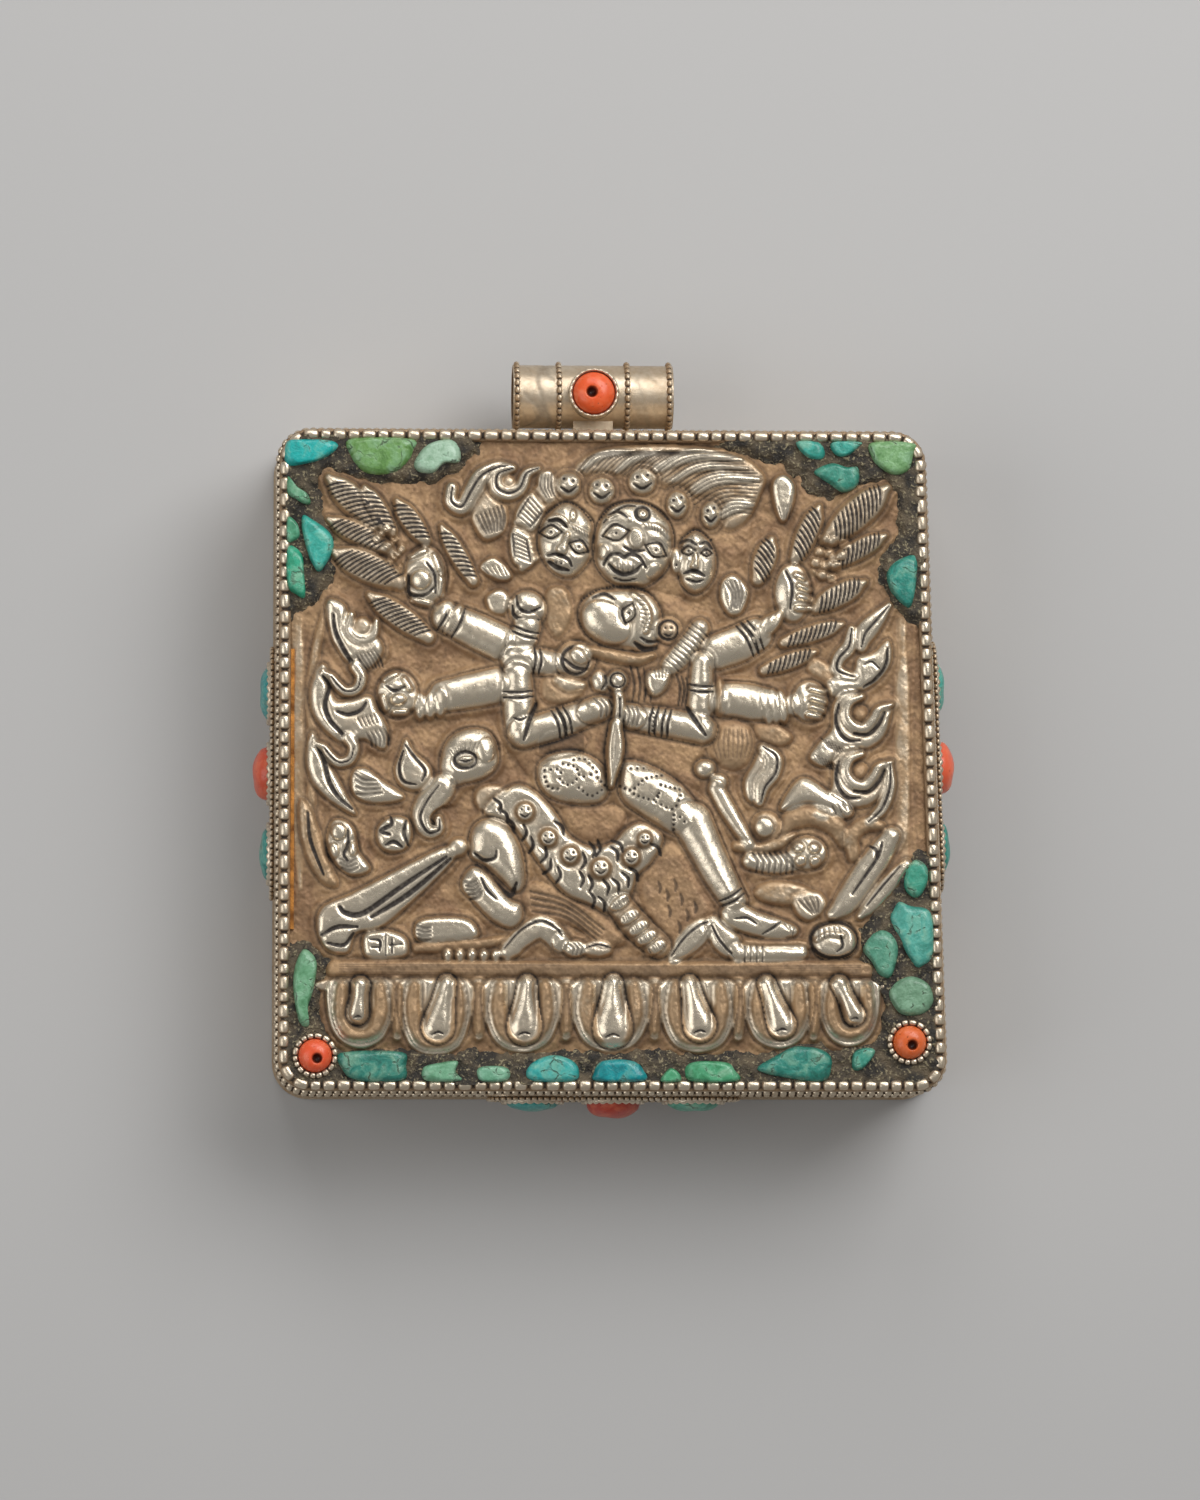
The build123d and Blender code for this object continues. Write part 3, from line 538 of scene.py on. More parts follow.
@dataclass
class ChasedSheet:
    """The worked sheet: height, polish and darkness (black tarnish and painted shade) over a grid of points,
    all in millimetres.

    Forms swell past their drawn edge by the fullness. Round a form whose ditch is deep, the ground is
    drawn up into a low skirt.
    """

    left: float
    right: float
    bottom: float
    top: float
    step: float
    fullness: float = 0.18
    deep_ditch: float = 0.15
    skirt_reach: float = 0.85
    skirt_gap: float = 0.1
    skirt_share: float = 0.38
    ditch_width: float = 0.26
    ditch_share: float = 0.9
    ground_soot_and_shade: float = 1.9
    top_soot_and_shade: float = 1.1
    edge_share: float = 0.3
    widest_edge: float = 0.8
    margin: float = 1.0
    groove_ends: Point = (0.12, 0.88)
    groove_black: Point = (0.12, 0.6)
    mark_black: Point = (0.3, 0.7)

    def __post_init__(self) -> None:
        """Lay out the grid, level, dull and clean."""
        self.xs = np.arange(self.left, self.right + self.step / 2, self.step)
        self.ys = np.arange(self.bottom, self.top + self.step / 2, self.step)
        self.x, self.y = np.meshgrid(self.xs, self.ys)
        self.height = np.zeros_like(self.x)
        self.polish = np.zeros_like(self.x)
        self.soot_and_shade = np.zeros_like(self.x)

    def window(self, path: Array, margin: float) -> tuple[slice, slice]:
        """Rows and columns of the grid within a margin of a path.

        Args:
            path: the points of the path.
            margin: distance round it.

        Returns:
            The rows and the columns.
        """
        low, high = path[:, :2].min(axis=0) - margin, path[:, :2].max(axis=0) + margin
        first = np.floor((low - (self.xs[0], self.ys[0])) / self.step).astype(int)
        last = np.ceil((high - (self.xs[0], self.ys[0])) / self.step).astype(int) + 1
        first = np.maximum(first, 0)
        last = np.maximum(last, first)
        return slice(first[1], last[1]), slice(first[0], last[0])

    def distance(self, path: Array, area: tuple[slice, slice]) -> tuple[Array, Array]:
        """Distance of each grid point from a path, and the path's third column at the nearest place.

        Args:
            path: the points of the path, with or without a third column.
            area: rows and columns to look at.

        Returns:
            The distance and the third column, over the area.
        """
        px, py = self.x[area].ravel()[:, None], self.y[area].ravel()[:, None]
        if len(path) == 1:
            path = np.vstack([path, path])
        ax, ay = path[:-1, 0], path[:-1, 1]
        dx, dy = path[1:, 0] - ax, path[1:, 1] - ay
        along = ((px - ax) * dx + (py - ay) * dy) / np.maximum(dx * dx + dy * dy, 1e-9)
        along = np.clip(along, 0.0, 1.0)
        gap = np.hypot(px - ax - along * dx, py - ay - along * dy)
        nearest = gap.argmin(axis=1)
        rows = np.arange(len(gap))
        shape = self.x[area].shape
        third = path[:, 2] if path.shape[1] > 2 else np.zeros(len(path))
        value = third[nearest] + along[rows, nearest] * (third[nearest + 1] - third[nearest])
        return gap[rows, nearest].reshape(shape), value.reshape(shape)

    def raise_form(self, area: tuple[slice, slice],
                   depth: Array, rise: float, polish: float, shoulder: float, ditch: float = 0.12,
                   on_top: bool = False) -> None:
        """Push a form up: a quarter-round shoulder, a chased ditch outside its edge and a low skirt round it.

        Args:
            area: rows and columns that hold the form.
            depth: distance inside the form's edge, negative outside it.
            rise: height of the form's top over the ground, or over what is there if on_top.
            polish: how bright the form is worn.
            shoulder: distance from the edge to the level top.
            ditch: depth of the line chased round it.
            on_top: whether the form stands on what is already raised.
        """
        height, shine, soot_and_shade = self.height[area], self.polish[area], self.soot_and_shade[area]
        depth = depth if on_top else depth + self.fullness
        inward = np.clip(depth / shoulder, 0.0, 1.0)
        round_up = np.sqrt(np.clip(1 - (1 - inward) ** 2, 0.0, 1.0))
        inside = depth > 0
        target = rise * round_up + (height if on_top else 0.0)
        if not on_top and ditch > self.deep_ditch:
            skirt = self.skirt_share * rise * smooth_step(-self.skirt_reach, -self.skirt_gap, depth)
            height[...] = np.where(~inside, np.maximum(height, skirt), height)
        gain = inside & (target > height)
        outside = np.exp(-((np.clip(-depth, 0.0, None) / self.ditch_width) ** 2)) * ~inside
        height -= self.ditch_share * ditch * outside
        # the ditch round a form is darkened: black tarnish in the chased line and painted shade of the recess
        black = self.top_soot_and_shade if on_top else self.ground_soot_and_shade
        soot_and_shade[...] = np.maximum(soot_and_shade, black * ditch * outside)
        edge = smooth_step(0.0, self.edge_share * min(shoulder, self.widest_edge), depth)
        shine[...] = np.where(gain, shine + (polish - shine) * edge, shine)
        soot_and_shade[...] = np.where(gain, soot_and_shade * (1 - edge), soot_and_shade)
        height[...] = np.where(gain, target, height)

    def bar(self, points: Sequence[Point], width: float | Sequence[float], rise: float, polish: float = 1.0,
            shoulder: float | None = None, ditch: float = 0.12, on_top: bool = False) -> None:
        """Raise a rounded bar along a curve, whose half width may change from point to point.

        Args:
            points: the curve.
            width: half width, one for all points or one for each.
            rise: height of its top.
            polish: how bright it is worn.
            shoulder: distance from the edge to the level top, the half width if left out.
            ditch: depth of the line chased round it.
            on_top: whether it stands on what is already raised.
        """
        widths = np.broadcast_to(np.asarray(width, dtype=float), (len(points),))
        path = smooth_path(np.column_stack([np.asarray(points, dtype=float), widths]))
        area = self.window(path, float(widths.max()) + self.margin)
        gap, half = self.distance(path, area)
        self.raise_form(area, half - gap, rise, polish, shoulder or float(widths.max()), ditch, on_top)

    def oval(self, centre: Point, half: Point, rise: float, polish: float = 1.0, tilt: float = 0.0,
             ditch: float = 0.12, on_top: bool = False) -> None:
        """Raise an oval dome, tilted anticlockwise by degrees.

        Args:
            centre: its middle.
            half: its half axes.
            rise: height of its top.
            polish: how bright it is worn.
            tilt: the turn in degrees.
            ditch: depth of the line chased round it.
            on_top: whether it stands on what is already raised.
        """
        area = self.window(np.array([centre]), max(half) + self.margin)
        turn = np.radians(tilt)
        px, py = self.x[area] - centre[0], self.y[area] - centre[1]
        u = (px * np.cos(turn) + py * np.sin(turn)) / half[0]
        v = (py * np.cos(turn) - px * np.sin(turn)) / half[1]
        depth = (1 - np.hypot(u, v)) * min(half)
        self.raise_form(area, depth, rise, polish, min(half), ditch, on_top)

    def inside(self, path: Array, area: tuple[slice, slice]) -> Array:
        """Distance of grid points inside a closed path, negative outside; crossings give its sign.

        Args:
            path: the points of the path, with the first repeated at its end.
            area: rows and columns to look at.

        Returns:
            The signed distance over the area.
        """
        gap, _ = self.distance(path, area)
        px, py = self.x[area][..., None], self.y[area][..., None]
        ax, ay, bx, by = path[:-1, 0], path[:-1, 1], path[1:, 0], path[1:, 1]
        spans = (ay > py) != (by > py)
        crossing = ax + (py - ay) * (bx - ax) / np.where(by == ay, 1e-9, by - ay)
        odd = (spans & (px < crossing)).sum(axis=-1) % 2 == 1
        return np.where(odd, gap, -gap)

    def patch(self, points: Sequence[Point], rise: float, polish: float = 1.0, shoulder: float = 0.8,
              ditch: float = 0.12, on_top: bool = False) -> None:
        """Raise the area inside a smooth closed curve.

        Args:
            points: the curve.
            rise: height of its top.
            polish: how bright it is worn.
            shoulder: distance from the edge to the level top.
            ditch: depth of the line chased round it.
            on_top: whether it stands on what is already raised.
        """
        loop = smooth_path(points, closed=True)
        path = np.vstack([loop, loop[:1]])
        area = self.window(path, self.margin)
        self.raise_form(area, self.inside(path, area), rise, polish, shoulder, ditch, on_top)

    def chase(self, points: Sequence[Point], width: float = 0.16, depth: float = 0.16,
              soot_and_shade: float = 1.0) -> None:
        """Sink a line along a curve: a bell-shaped groove that tapers off at both ends.

        Args:
            points: the curve.
            width: half width of the groove's middle.
            depth: its depth.
            soot_and_shade: how black it is.
        """
        knots = np.asarray(points, dtype=float)
        path = smooth_path(knots)
        taper = np.sin(np.pi * np.linspace(*self.groove_ends, len(path)))
        path = np.column_stack([path, width * np.sqrt(taper)])
        area = self.window(path, 3 * width)
        gap, half = self.distance(path, area)
        cut = np.exp(-((gap / half) ** 2))
        self.height[area] -= depth * cut
        self.soot_and_shade[area] = np.maximum(self.soot_and_shade[area], soot_and_shade * smooth_step(*self.groove_black, cut))

    def punch(self, points: Sequence[Point], radius: float = 0.15, depth: float = 0.18) -> None:
        """Sink round punch marks at points.

        Args:
            points: their middles.
            radius: radius of a mark.
            depth: its depth.
        """
        for point in points:
            area = self.window(np.array([point]), 3 * radius)
            gap = np.hypot(self.x[area] - point[0], self.y[area] - point[1])
            cut = np.exp(-((gap / radius) ** 2))
            self.height[area] -= depth * cut
            self.soot_and_shade[area] = np.maximum(self.soot_and_shade[area], smooth_step(*self.mark_black, cut))

    def punch_row(self, points: Sequence[Point], pitch: float = 0.42, radius: float = 0.15) -> None:
        """Punch marks at even steps along a curve.

        Args:
            points: the curve.
            pitch: distance from mark to mark.
            radius: radius of a mark.
        """
        path = smooth_path(points)
        run = np.concatenate([[0.0], np.cumsum(np.hypot(*np.diff(path, axis=0).T))])
        places = np.linspace(0.0, run[-1], max(2, round(run[-1] / pitch) + 1))
        self.punch(at_run(path, run, places), radius)


@dataclass
class Figures:
    """The relief's figures, as strokes on the sheet, in millimetres from the middle of the box."""

    sheet: ChasedSheet

    def work(self) -> None:
        """Work the figures in order, the ones behind first."""
        for part in (self.ground, self.hair, self.left_wing, self.right_wing, self.crown_flames,
                     self.left_flames, self.right_flames, self.body, self.heads, self.upper_arms,
                     self.consort, self.elephant, self.right_drapery, self.trampled, self.skirt,
                     self.thighs, self.forearms_and_dagger, self.legs, self.sash, self.lotus):
            part()

    def ring(self, centre: Point, radius: float, width: float = 0.15, depth: float = 0.16,
             squash: float = 1.0) -> None:
        """Chase a circle, or an oval where it is squashed.

        Args:
            centre: its middle.
            radius: its half width.
            width: half width of the groove.
            depth: depth of the groove.
            squash: its height over its width.
        """
        turn = np.linspace(0, 2 * np.pi, 20)
        loop = np.column_stack([centre[0] + radius * np.cos(turn),
                                centre[1] + radius * squash * np.sin(turn)])
        self.sheet.chase(loop, width, depth)

    def strands(self, first: Sequence[Point], last: Sequence[Point],
                count: int, width: float = 0.11, depth: float = 0.13, soot_and_shade: float = 0.75) -> None:
        """Chase a family of lines that pass from one curve to another of as many points.

        Args:
            first: the first line.
            last: the last line.
            count: how many lines there are.
            width: half width of a groove.
            depth: its depth.
            soot_and_shade: how black it is.
        """
        for share in np.linspace(0, 1, count):
            line = (1 - share) * np.array(first) + share * np.array(last)
            self.sheet.chase(line, width, depth, soot_and_shade)

    def eye(self, centre: Point, radius: float, tilt: float = 0.0) -> None:
        """An almond eye: a raised ball between two lid lines, with a punched pupil.

        Args:
            centre: its middle.
            radius: half its width.
            tilt: the turn in degrees.
        """
        turn = np.radians(tilt)
        along, up = np.array([np.cos(turn), np.sin(turn)]), np.array([-np.sin(turn), np.cos(turn)])
        middle = np.array(centre)
        self.sheet.oval(centre, (radius, 0.66 * radius), 0.24, 1.0, tilt, on_top=True, ditch=0.2)
        for level, width in ((0.78, 0.17), (-0.66, 0.12)):
            lid = [middle - 1.2 * radius * along, middle + level * radius * up,
                   middle + 1.2 * radius * along]
            self.sheet.chase(lid, width, 0.18)
        self.sheet.chase([middle - 0.9 * radius * along + 0.75 * radius * up, middle + 1.15 * radius * up,
                          middle + 1.0 * radius * along + 0.7 * radius * up], 0.1, 0.1, 0.6)
        self.sheet.punch([centre], 0.2, 0.22)

    def small_face(self, centre: Point, radius: float, rise: float = 0.5) -> None:
        """A tiny face on the skirt: a ringed dome with two eyes and a smile.

        Args:
            centre: its middle.
            radius: its radius.
            rise: its height over the skirt.
        """
        x, y = centre
        self.sheet.oval(centre, (1.38 * radius, 1.38 * radius), 0.25, 0.2, on_top=True, ditch=0.15)
        self.sheet.oval(centre, (radius, 1.05 * radius), rise, 1.0, on_top=True, ditch=0.3)
        self.sheet.punch([(x - 0.38 * radius, y + 0.25 * radius), (x + 0.38 * radius, y + 0.25 * radius)],
                         0.17, 0.22)
        smile = [(x - 0.55 * radius, y - 0.3 * radius), (x, y - 0.6 * radius),
                 (x + 0.55 * radius, y - 0.25 * radius)]
        self.sheet.chase(smile, 0.13, 0.16)

    def feather(self, root: Point, tip: Point, half_width: float, rise: float, lean: float = 0.7) -> None:
        """A wing feather: a leaf-shaped bar with slanting barbs chased right across it.

        Args:
            root: end at the wing.
            tip: free end.
            half_width: half the leaf's width.
            rise: height over the ground.
            lean: how far a barb's end lies towards the tip, as a share of the half width.
        """
        root, tip = np.array(root), np.array(tip)
        length = np.hypot(*(tip - root))
        along = (tip - root) / length
        across = np.array([-along[1], along[0]])
        spine = [root, root + 0.35 * (tip - root), root + 0.75 * (tip - root), tip]
        self.sheet.bar(spine, np.array([0.6, 1.0, 0.92, 0.3]) * half_width, rise, 0.62,
                       shoulder=0.7 * half_width, ditch=0.25)
        count = max(5, round(length / 0.62))
        share = np.linspace(0.1, 0.86, count)
        leaf = half_width * np.interp(share, [0.0, 0.3, 0.75, 1.0], [0.5, 0.85, 0.78, 0.3])
        for place, reach in zip(share, leaf):
            middle = root + place * (tip - root)
            barb = reach * (across + lean * along)
            self.sheet.chase([middle - barb, middle + 0.12 * reach * along, middle + barb], 0.15, 0.13, 1.0)

    def flame(self, points: Sequence[Point], widths: Sequence[float],
              rise: float = 1.0, line: float = 0.0, polish: float = 0.85) -> None:
        """A flame: a curling band with a line chased along it.

        Args:
            points: the curve that it follows.
            widths: half widths at the points.
            rise: height of its top.
            line: how far the line lies to one side, as a share of the half width.
            polish: how bright it is worn.
        """
        widths = [1.35 * width for width in widths]
        self.sheet.bar(points, widths, rise, polish, shoulder=0.8 * max(widths), ditch=0.22)
        knots, half = np.array(points, dtype=float), np.array(widths)[:, None]
        ahead = np.gradient(knots, axis=0)
        ahead /= np.linalg.norm(ahead, axis=1, keepdims=True)
        self.sheet.chase(knots + line * half * np.column_stack([-ahead[:, 1], ahead[:, 0]]), 0.17, 0.18)

    def fist(self, centre: Point, half: Point, rise: float, fingers: Sequence[tuple[Point, Point]]) -> None:
        """A hand closed round something: a dome with finger rolls on it.

        Args:
            centre: middle of the dome.
            half: its half axes.
            rise: height of its top.
            fingers: the two ends of each finger.
        """
        self.sheet.oval(centre, half, rise, 0.95, ditch=0.3)
        for start, end in fingers:
            self.sheet.bar([start, end], 0.34, 0.3, 1.0, on_top=True, ditch=0.24)

    def arm(self, points: Sequence[Point], widths: Sequence[float],
            rise: float, bands: Sequence[float] = ()) -> None:
        """An arm or leg: a round bar, crossed by a pair of chased lines at each band.

        Args:
            points: the curve that it follows.
            widths: half widths at the points.
            rise: height of its top.
            bands: places of the bands, as shares of its length.
        """
        self.sheet.bar(points, widths, rise, 1.0, ditch=0.3)
        path = smooth_path(np.column_stack([np.array(points, dtype=float), widths]))
        ahead = np.gradient(path[:, :2], axis=0)
        ahead /= np.linalg.norm(ahead, axis=1, keepdims=True)
        across = np.column_stack([-ahead[:, 1], ahead[:, 0]])
        for share in bands:
            place = round(share * (len(path) - 1))
            for shift in (-0.28, 0.28):
                middle = path[place, :2] + shift * ahead[place]
                reach = 1.02 * path[place, 2] * across[place]
                self.sheet.chase([middle - reach, middle + 0.18 * ahead[place], middle + reach], 0.17, 0.2)

    def ground(self) -> None:
        """Streaks and low ridges along the plain strips at the sides."""
        s = self.sheet
        for left in (-31.6, 28.9):
            s.bar([(left + 0.3, 14.0), (left + 0.2, 0.0), (left + 0.3, -9.0)],
                  0.5, 0.12, 0.5, shoulder=0.4, ditch=0.08)
            self.strands([(left, 14.5), (left - 0.1, 0.0), (left, -14.5)],
                         [(left + 2.0, 13.5), (left + 1.6, 0.0), (left + 2.1, -12.5)], 5, 0.14, 0.04, 0.12)
            s.bar([(left + 0.6, 13.5), (left + 0.5, 6.0), (left + 0.5, -6.0), (left + 0.7, -13.0)],
                  [0.1, 0.6, 0.55, 0.1], 0.2, 0.6, shoulder=0.6, ditch=0.0)
        s.bar([(-28.4, 15.2), (-29.4, 11.0), (-29.8, 6.0), (-29.6, 0.0), (-29.9, -6.0), (-29.4, -11.0)],
              [0.2, 0.35, 0.45, 0.4, 0.35, 0.2], 0.45, 0.5, shoulder=0.5, ditch=0.2)

    def hair(self) -> None:
        """The cloud of hair behind the heads, with strands that sweep up and to the right."""
        s = self.sheet
        s.patch([(-9.6, 19.0), (-10.2, 22.6), (-9.2, 26.4), (-6.0, 29.6), (-1.0, 31.2), (4.0, 31.6),
                 (9.5, 31.2), (13.8, 29.8), (15.2, 27.6), (14.2, 24.6), (13.2, 20.0), (8.0, 17.0),
                 (0.0, 16.4), (-6.0, 17.0)], 0.5, 0.12, shoulder=3.0, ditch=0.0)
        s.patch([(-3.8, 28.6), (-1.6, 30.9), (2.6, 31.5), (8.0, 31.5), (12.6, 30.8), (15.4, 28.7),
                 (14.9, 26.4), (13.6, 24.0), (11.4, 23.2), (9.0, 26.4), (5.4, 27.4), (1.0, 28.4)],
                0.9, 0.6, 1.2, 0.15)
        for lock, width in [([(-2.8, 29.2), (-0.8, 30.6), (2.4, 31.0)], 0.5),
                            ([(0.6, 28.9), (2.4, 30.2), (5.0, 31.0)], 0.5),
                            ([(4.6, 29.2), (8.4, 30.6), (13.2, 30.2)], 0.75),
                            ([(7.6, 26.4), (10.6, 28.2), (15.0, 28.2)], 0.8),
                            ([(11.2, 24.6), (12.8, 25.6), (14.4, 25.6)], 0.8),
                            ([(6.2, 28.0), (9.0, 29.4), (13.8, 29.3)], 0.5)]:
            s.bar(lock, [0.6 * width, width, 0.3 * width], 0.25, 0.9, on_top=True)
        self.strands([(-3.4, 28.8), (-2.0, 30.4), (0.4, 31.0)], [(4.4, 28.6), (7.4, 30.6), (11.8, 31.0)],
                     17, 0.1)
        self.strands([(4.4, 28.6), (7.4, 30.6), (11.8, 31.0)], [(7.4, 26.6), (10.6, 28.4), (15.2, 28.5)],
                     9, 0.1)
        self.strands([(7.6, 26.2), (10.6, 28.0), (15.0, 27.9)], [(11.0, 24.0), (12.6, 24.8), (14.2, 24.8)],
                     9, 0.1)
        for angle in np.radians(np.arange(100, 216, 8)):
            ray = np.array([np.cos(angle), 1.12 * np.sin(angle)])
            s.bar([(-4.4, 22.2) + 3.3 * ray, (-4.4, 22.2) + 5.2 * ray], [0.2, 0.32], 0.95, 0.65, ditch=0.15)
        s.patch([(-7.1, 28.6), (-5.8, 28.8), (-5.4, 26.4), (-6.4, 25.9), (-7.2, 26.8)], 1.05, 0.8, 0.5)
        self.strands([(-6.9, 28.5), (-7.0, 27.3), (-6.4, 26.2)], [(-5.9, 28.6), (-5.9, 27.2), (-5.6, 26.4)],
                     4)
        for lock, first, last in [([(-9.5, 24.2), (-8.2, 26.6), (-6.6, 25.0), (-7.6, 23.0)],
                                   [(-9.3, 24.4), (-8.0, 23.3)], [(-8.1, 26.3), (-6.8, 24.8)]),
                                  ([(-9.9, 22.8), (-8.2, 22.4), (-7.9, 19.4), (-9.7, 19.8)],
                                   [(-9.8, 22.6), (-8.4, 21.9)], [(-9.6, 20.4), (-8.0, 19.8)])]:
            s.patch(lock, 1.1, 0.85, shoulder=0.6, ditch=0.2)
            for near, far in zip(first, last):
                s.chase([near, np.add(near, far) / 2, far], 0.13, 0.15, 0.9)
            self.strands(first, last, 6, 0.17, 0.18)
        s.patch([(-13.0, 19.2), (-11.6, 20.2), (-9.9, 18.4), (-11.2, 18.0)], 0.8, 0.75, 0.5)
        self.strands([(-12.8, 19.2), (-12.2, 18.6)], [(-10.8, 19.4), (-10.4, 18.4)], 5)

    def left_wing(self) -> None:
        """Feathers, scales and a hand at the upper left."""
        s = self.sheet
        s.patch([(-24.8, 22.8), (-22.6, 24.0), (-20.6, 22.4), (-20.4, 20.2), (-21.8, 18.6), (-24.0, 20.2)],
                0.6, 0.4, 1.0)
        for feather in [((-22.6, 22.9), (-28.2, 28.2), 1.35, 1.2),
                        ((-21.9, 22.8), (-24.6, 27.2), 0.85, 1.05),
                        ((-22.2, 21.0), (-28.2, 24.0), 1.0, 1.1),
                        ((-21.0, 17.7), (-27.6, 20.7), 1.45, 1.15),
                        ((-18.5, 21.8), (-21.4, 25.9), 0.95, 1.1),
                        ((-13.7, 17.8), (-16.9, 23.3), 0.82, 1.05),
                        ((-18.2, 12.2), (-24.1, 16.4), 1.1, 1.0)]:
            self.feather(*feather)
        for row in range(4):
            for column in range(4):
                x, y = -23.4 + 0.75 * column + 0.35 * row, 23.2 - 1.0 * column + 0.35 * row - 1.2
                s.patch([(x - 0.5, y), (x, y + 0.46), (x + 0.5, y), (x, y - 0.46)],
                        0.18, 0.6, 0.25, 0.2, on_top=True)
        self.fist((-18.5, 18.3), (2.0, 2.9), 1.35,
                  [((-20.0, 20.3), (-18.6, 20.9)), ((-17.6, 20.4), (-16.9, 18.6)),
                   ((-16.9, 18.2), (-16.8, 16.4)), ((-19.8, 15.9), (-17.6, 15.3))])
        s.oval((-19.0, 17.9), (1.05, 1.0), 0.4, 1.0, on_top=True, ditch=0.35)
        s.chase([(-20.2, 18.4), (-20.1, 16.6), (-18.6, 16.4), (-17.6, 17.2)], 0.2, 0.22)
        s.chase([(-18.4, 19.6), (-17.6, 18.4), (-17.5, 16.6)], 0.18, 0.2)

    def right_wing(self) -> None:
        """Feathers, scales, a hand and a leaf at the upper right."""
        s = self.sheet
        s.patch([(24.0, 22.6), (22.0, 23.4), (20.0, 21.8), (19.8, 19.6), (21.6, 18.2), (23.6, 19.8)],
                0.6, 0.4, 1.0)
        for feather in [((22.0, 22.4), (27.8, 27.4), 1.5, 1.2), ((22.4, 19.8), (27.6, 22.6), 0.95, 1.1),
                        ((18.6, 20.2), (21.0, 25.5), 1.05, 1.1), ((20.6, 15.4), (25.5, 17.9), 1.1, 1.1),
                        ((14.8, 18.2), (16.2, 22.2), 1.1, 1.0), ((17.4, 11.8), (23.3, 13.7), 0.8, 0.9),
                        ((15.4, 9.0), (20.6, 10.9), 0.75, 0.85)]:
            self.feather(*feather)
        for row in range(4):
            for column in range(3):
                x, y = 20.2 + 1.05 * column + 0.4 * row, 18.7 + 1.15 * row - 0.2 * column
                s.patch([(x - 0.46, y - 0.4), (x + 0.42, y - 0.42), (x + 0.46, y + 0.4),
                         (x - 0.4, y + 0.43)], 0.18, 0.6, 0.2, 0.18, on_top=True)
        self.fist((18.3, 16.8), (1.75, 2.8), 1.35,
                  [((18.6, 18.6), (19.4, 18.3)), ((18.9, 17.5), (20.0, 17.1)), ((18.9, 16.4), (20.1, 16.2)),
                   ((18.7, 15.2), (19.9, 15.2))])
        s.chase([(17.6, 19.0), (18.2, 17.4), (18.0, 15.2)], 0.2, 0.22)
        s.patch([(11.2, 17.8), (12.4, 18.6), (13.8, 17.0), (13.2, 14.9), (12.0, 14.6), (11.1, 16.0)],
                1.15, 0.9, 0.7, 0.25)
        self.strands([(11.5, 17.8), (12.2, 16.6), (12.1, 15.0)], [(12.9, 18.0), (13.2, 16.6), (12.9, 15.2)],
                     4, 0.17)
        s.patch([(16.3, 27.8), (17.4, 28.7), (18.5, 27.6), (18.3, 25.6), (17.4, 24.0), (16.6, 25.4)],
                1.05, 0.9, 0.8)
        self.strands([(16.9, 25.4), (17.2, 24.4)], [(18.2, 25.6), (17.9, 24.2)], 4)

    def crown_flames(self) -> None:
        """The flame to the left of the crown, with two curls."""
        s = self.sheet
        s.patch([(-14.2, 27.4), (-12.4, 27.8), (-11.6, 26.6), (-10.4, 25.2), (-10.6, 23.0), (-12.4, 22.0),
                 (-13.6, 23.4), (-14.2, 25.4)], 0.85, 0.7, 1.0)
        self.flame([(-15.9, 27.2), (-16.0, 25.8), (-14.9, 25.2), (-14.0, 26.6), (-12.9, 28.3),
                    (-11.3, 29.2), (-10.0, 29.4)], [0.4, 0.45, 0.55, 0.6, 0.65, 0.5, 0.2], 1.15, 0.1)
        self.flame([(-9.8, 29.2), (-11.3, 28.6), (-11.4, 27.2), (-10.2, 26.6), (-9.0, 27.2), (-8.4, 28.6),
                    (-7.2, 29.2)], [0.25, 0.4, 0.5, 0.5, 0.45, 0.35, 0.15], 1.15, 0.1)
        s.oval((-10.2, 27.8), (0.6, 0.6), 0.9, 0.7)
        self.strands([(-13.4, 24.4), (-12.9, 23.4), (-12.4, 22.6)],
                     [(-10.9, 25.4), (-10.6, 24.2), (-10.8, 23.0)], 7, 0.17, 0.18)

    def left_flames(self) -> None:
        """Three flames that climb the left edge, each with a tail hooked round into the next one's tip."""
        s = self.sheet
        s.patch([(-28.3, 15.8), (-28.0, 12.8), (-27.1, 10.8), (-25.8, 9.3), (-24.2, 9.0), (-22.8, 10.6),
                 (-23.2, 12.0), (-24.6, 11.8), (-25.8, 12.3), (-26.2, 13.6), (-26.6, 15.4)],
                1.05, 0.85, 0.9, 0.25)
        s.chase([(-27.7, 14.4), (-27.5, 12.8), (-26.7, 11.0), (-25.8, 9.6), (-25.2, 8.6)], 0.24, 0.24)
        s.bar([(-25.9, 14.4), (-26.1, 12.8), (-24.9, 11.9), (-23.7, 12.4), (-23.4, 13.8)],
              [0.3, 0.4, 0.45, 0.4, 0.2], 1.1, 0.9)
        s.oval((-24.8, 13.2), (0.9, 0.95), 1.0, 0.6)
        self.strands([(-25.4, 10.4), (-24.9, 9.6), (-24.4, 9.0)],
                     [(-23.6, 10.8), (-23.0, 10.0), (-22.7, 9.2)], 6, 0.14, 0.16)
        s.patch([(-28.9, 9.4), (-29.9, 7.2), (-29.8, 5.0), (-28.8, 3.2), (-27.2, 1.8), (-25.8, 1.4),
                 (-24.6, 2.0), (-22.6, 1.0), (-22.3, 3.0), (-23.2, 4.8), (-24.0, 6.3), (-26.0, 5.9),
                 (-27.4, 5.8), (-28.0, 7.2), (-28.2, 8.8)], 1.1, 0.85, 0.9, 0.25)
        s.chase([(-28.7, 8.2), (-28.1, 7.2), (-28.5, 5.4), (-28.0, 3.8), (-26.9, 2.6), (-26.2, 1.6)],
                0.26, 0.26)
        s.chase([(-27.3, 4.7), (-26.2, 4.4), (-25.0, 4.8), (-24.4, 5.6)], 0.24, 0.24)
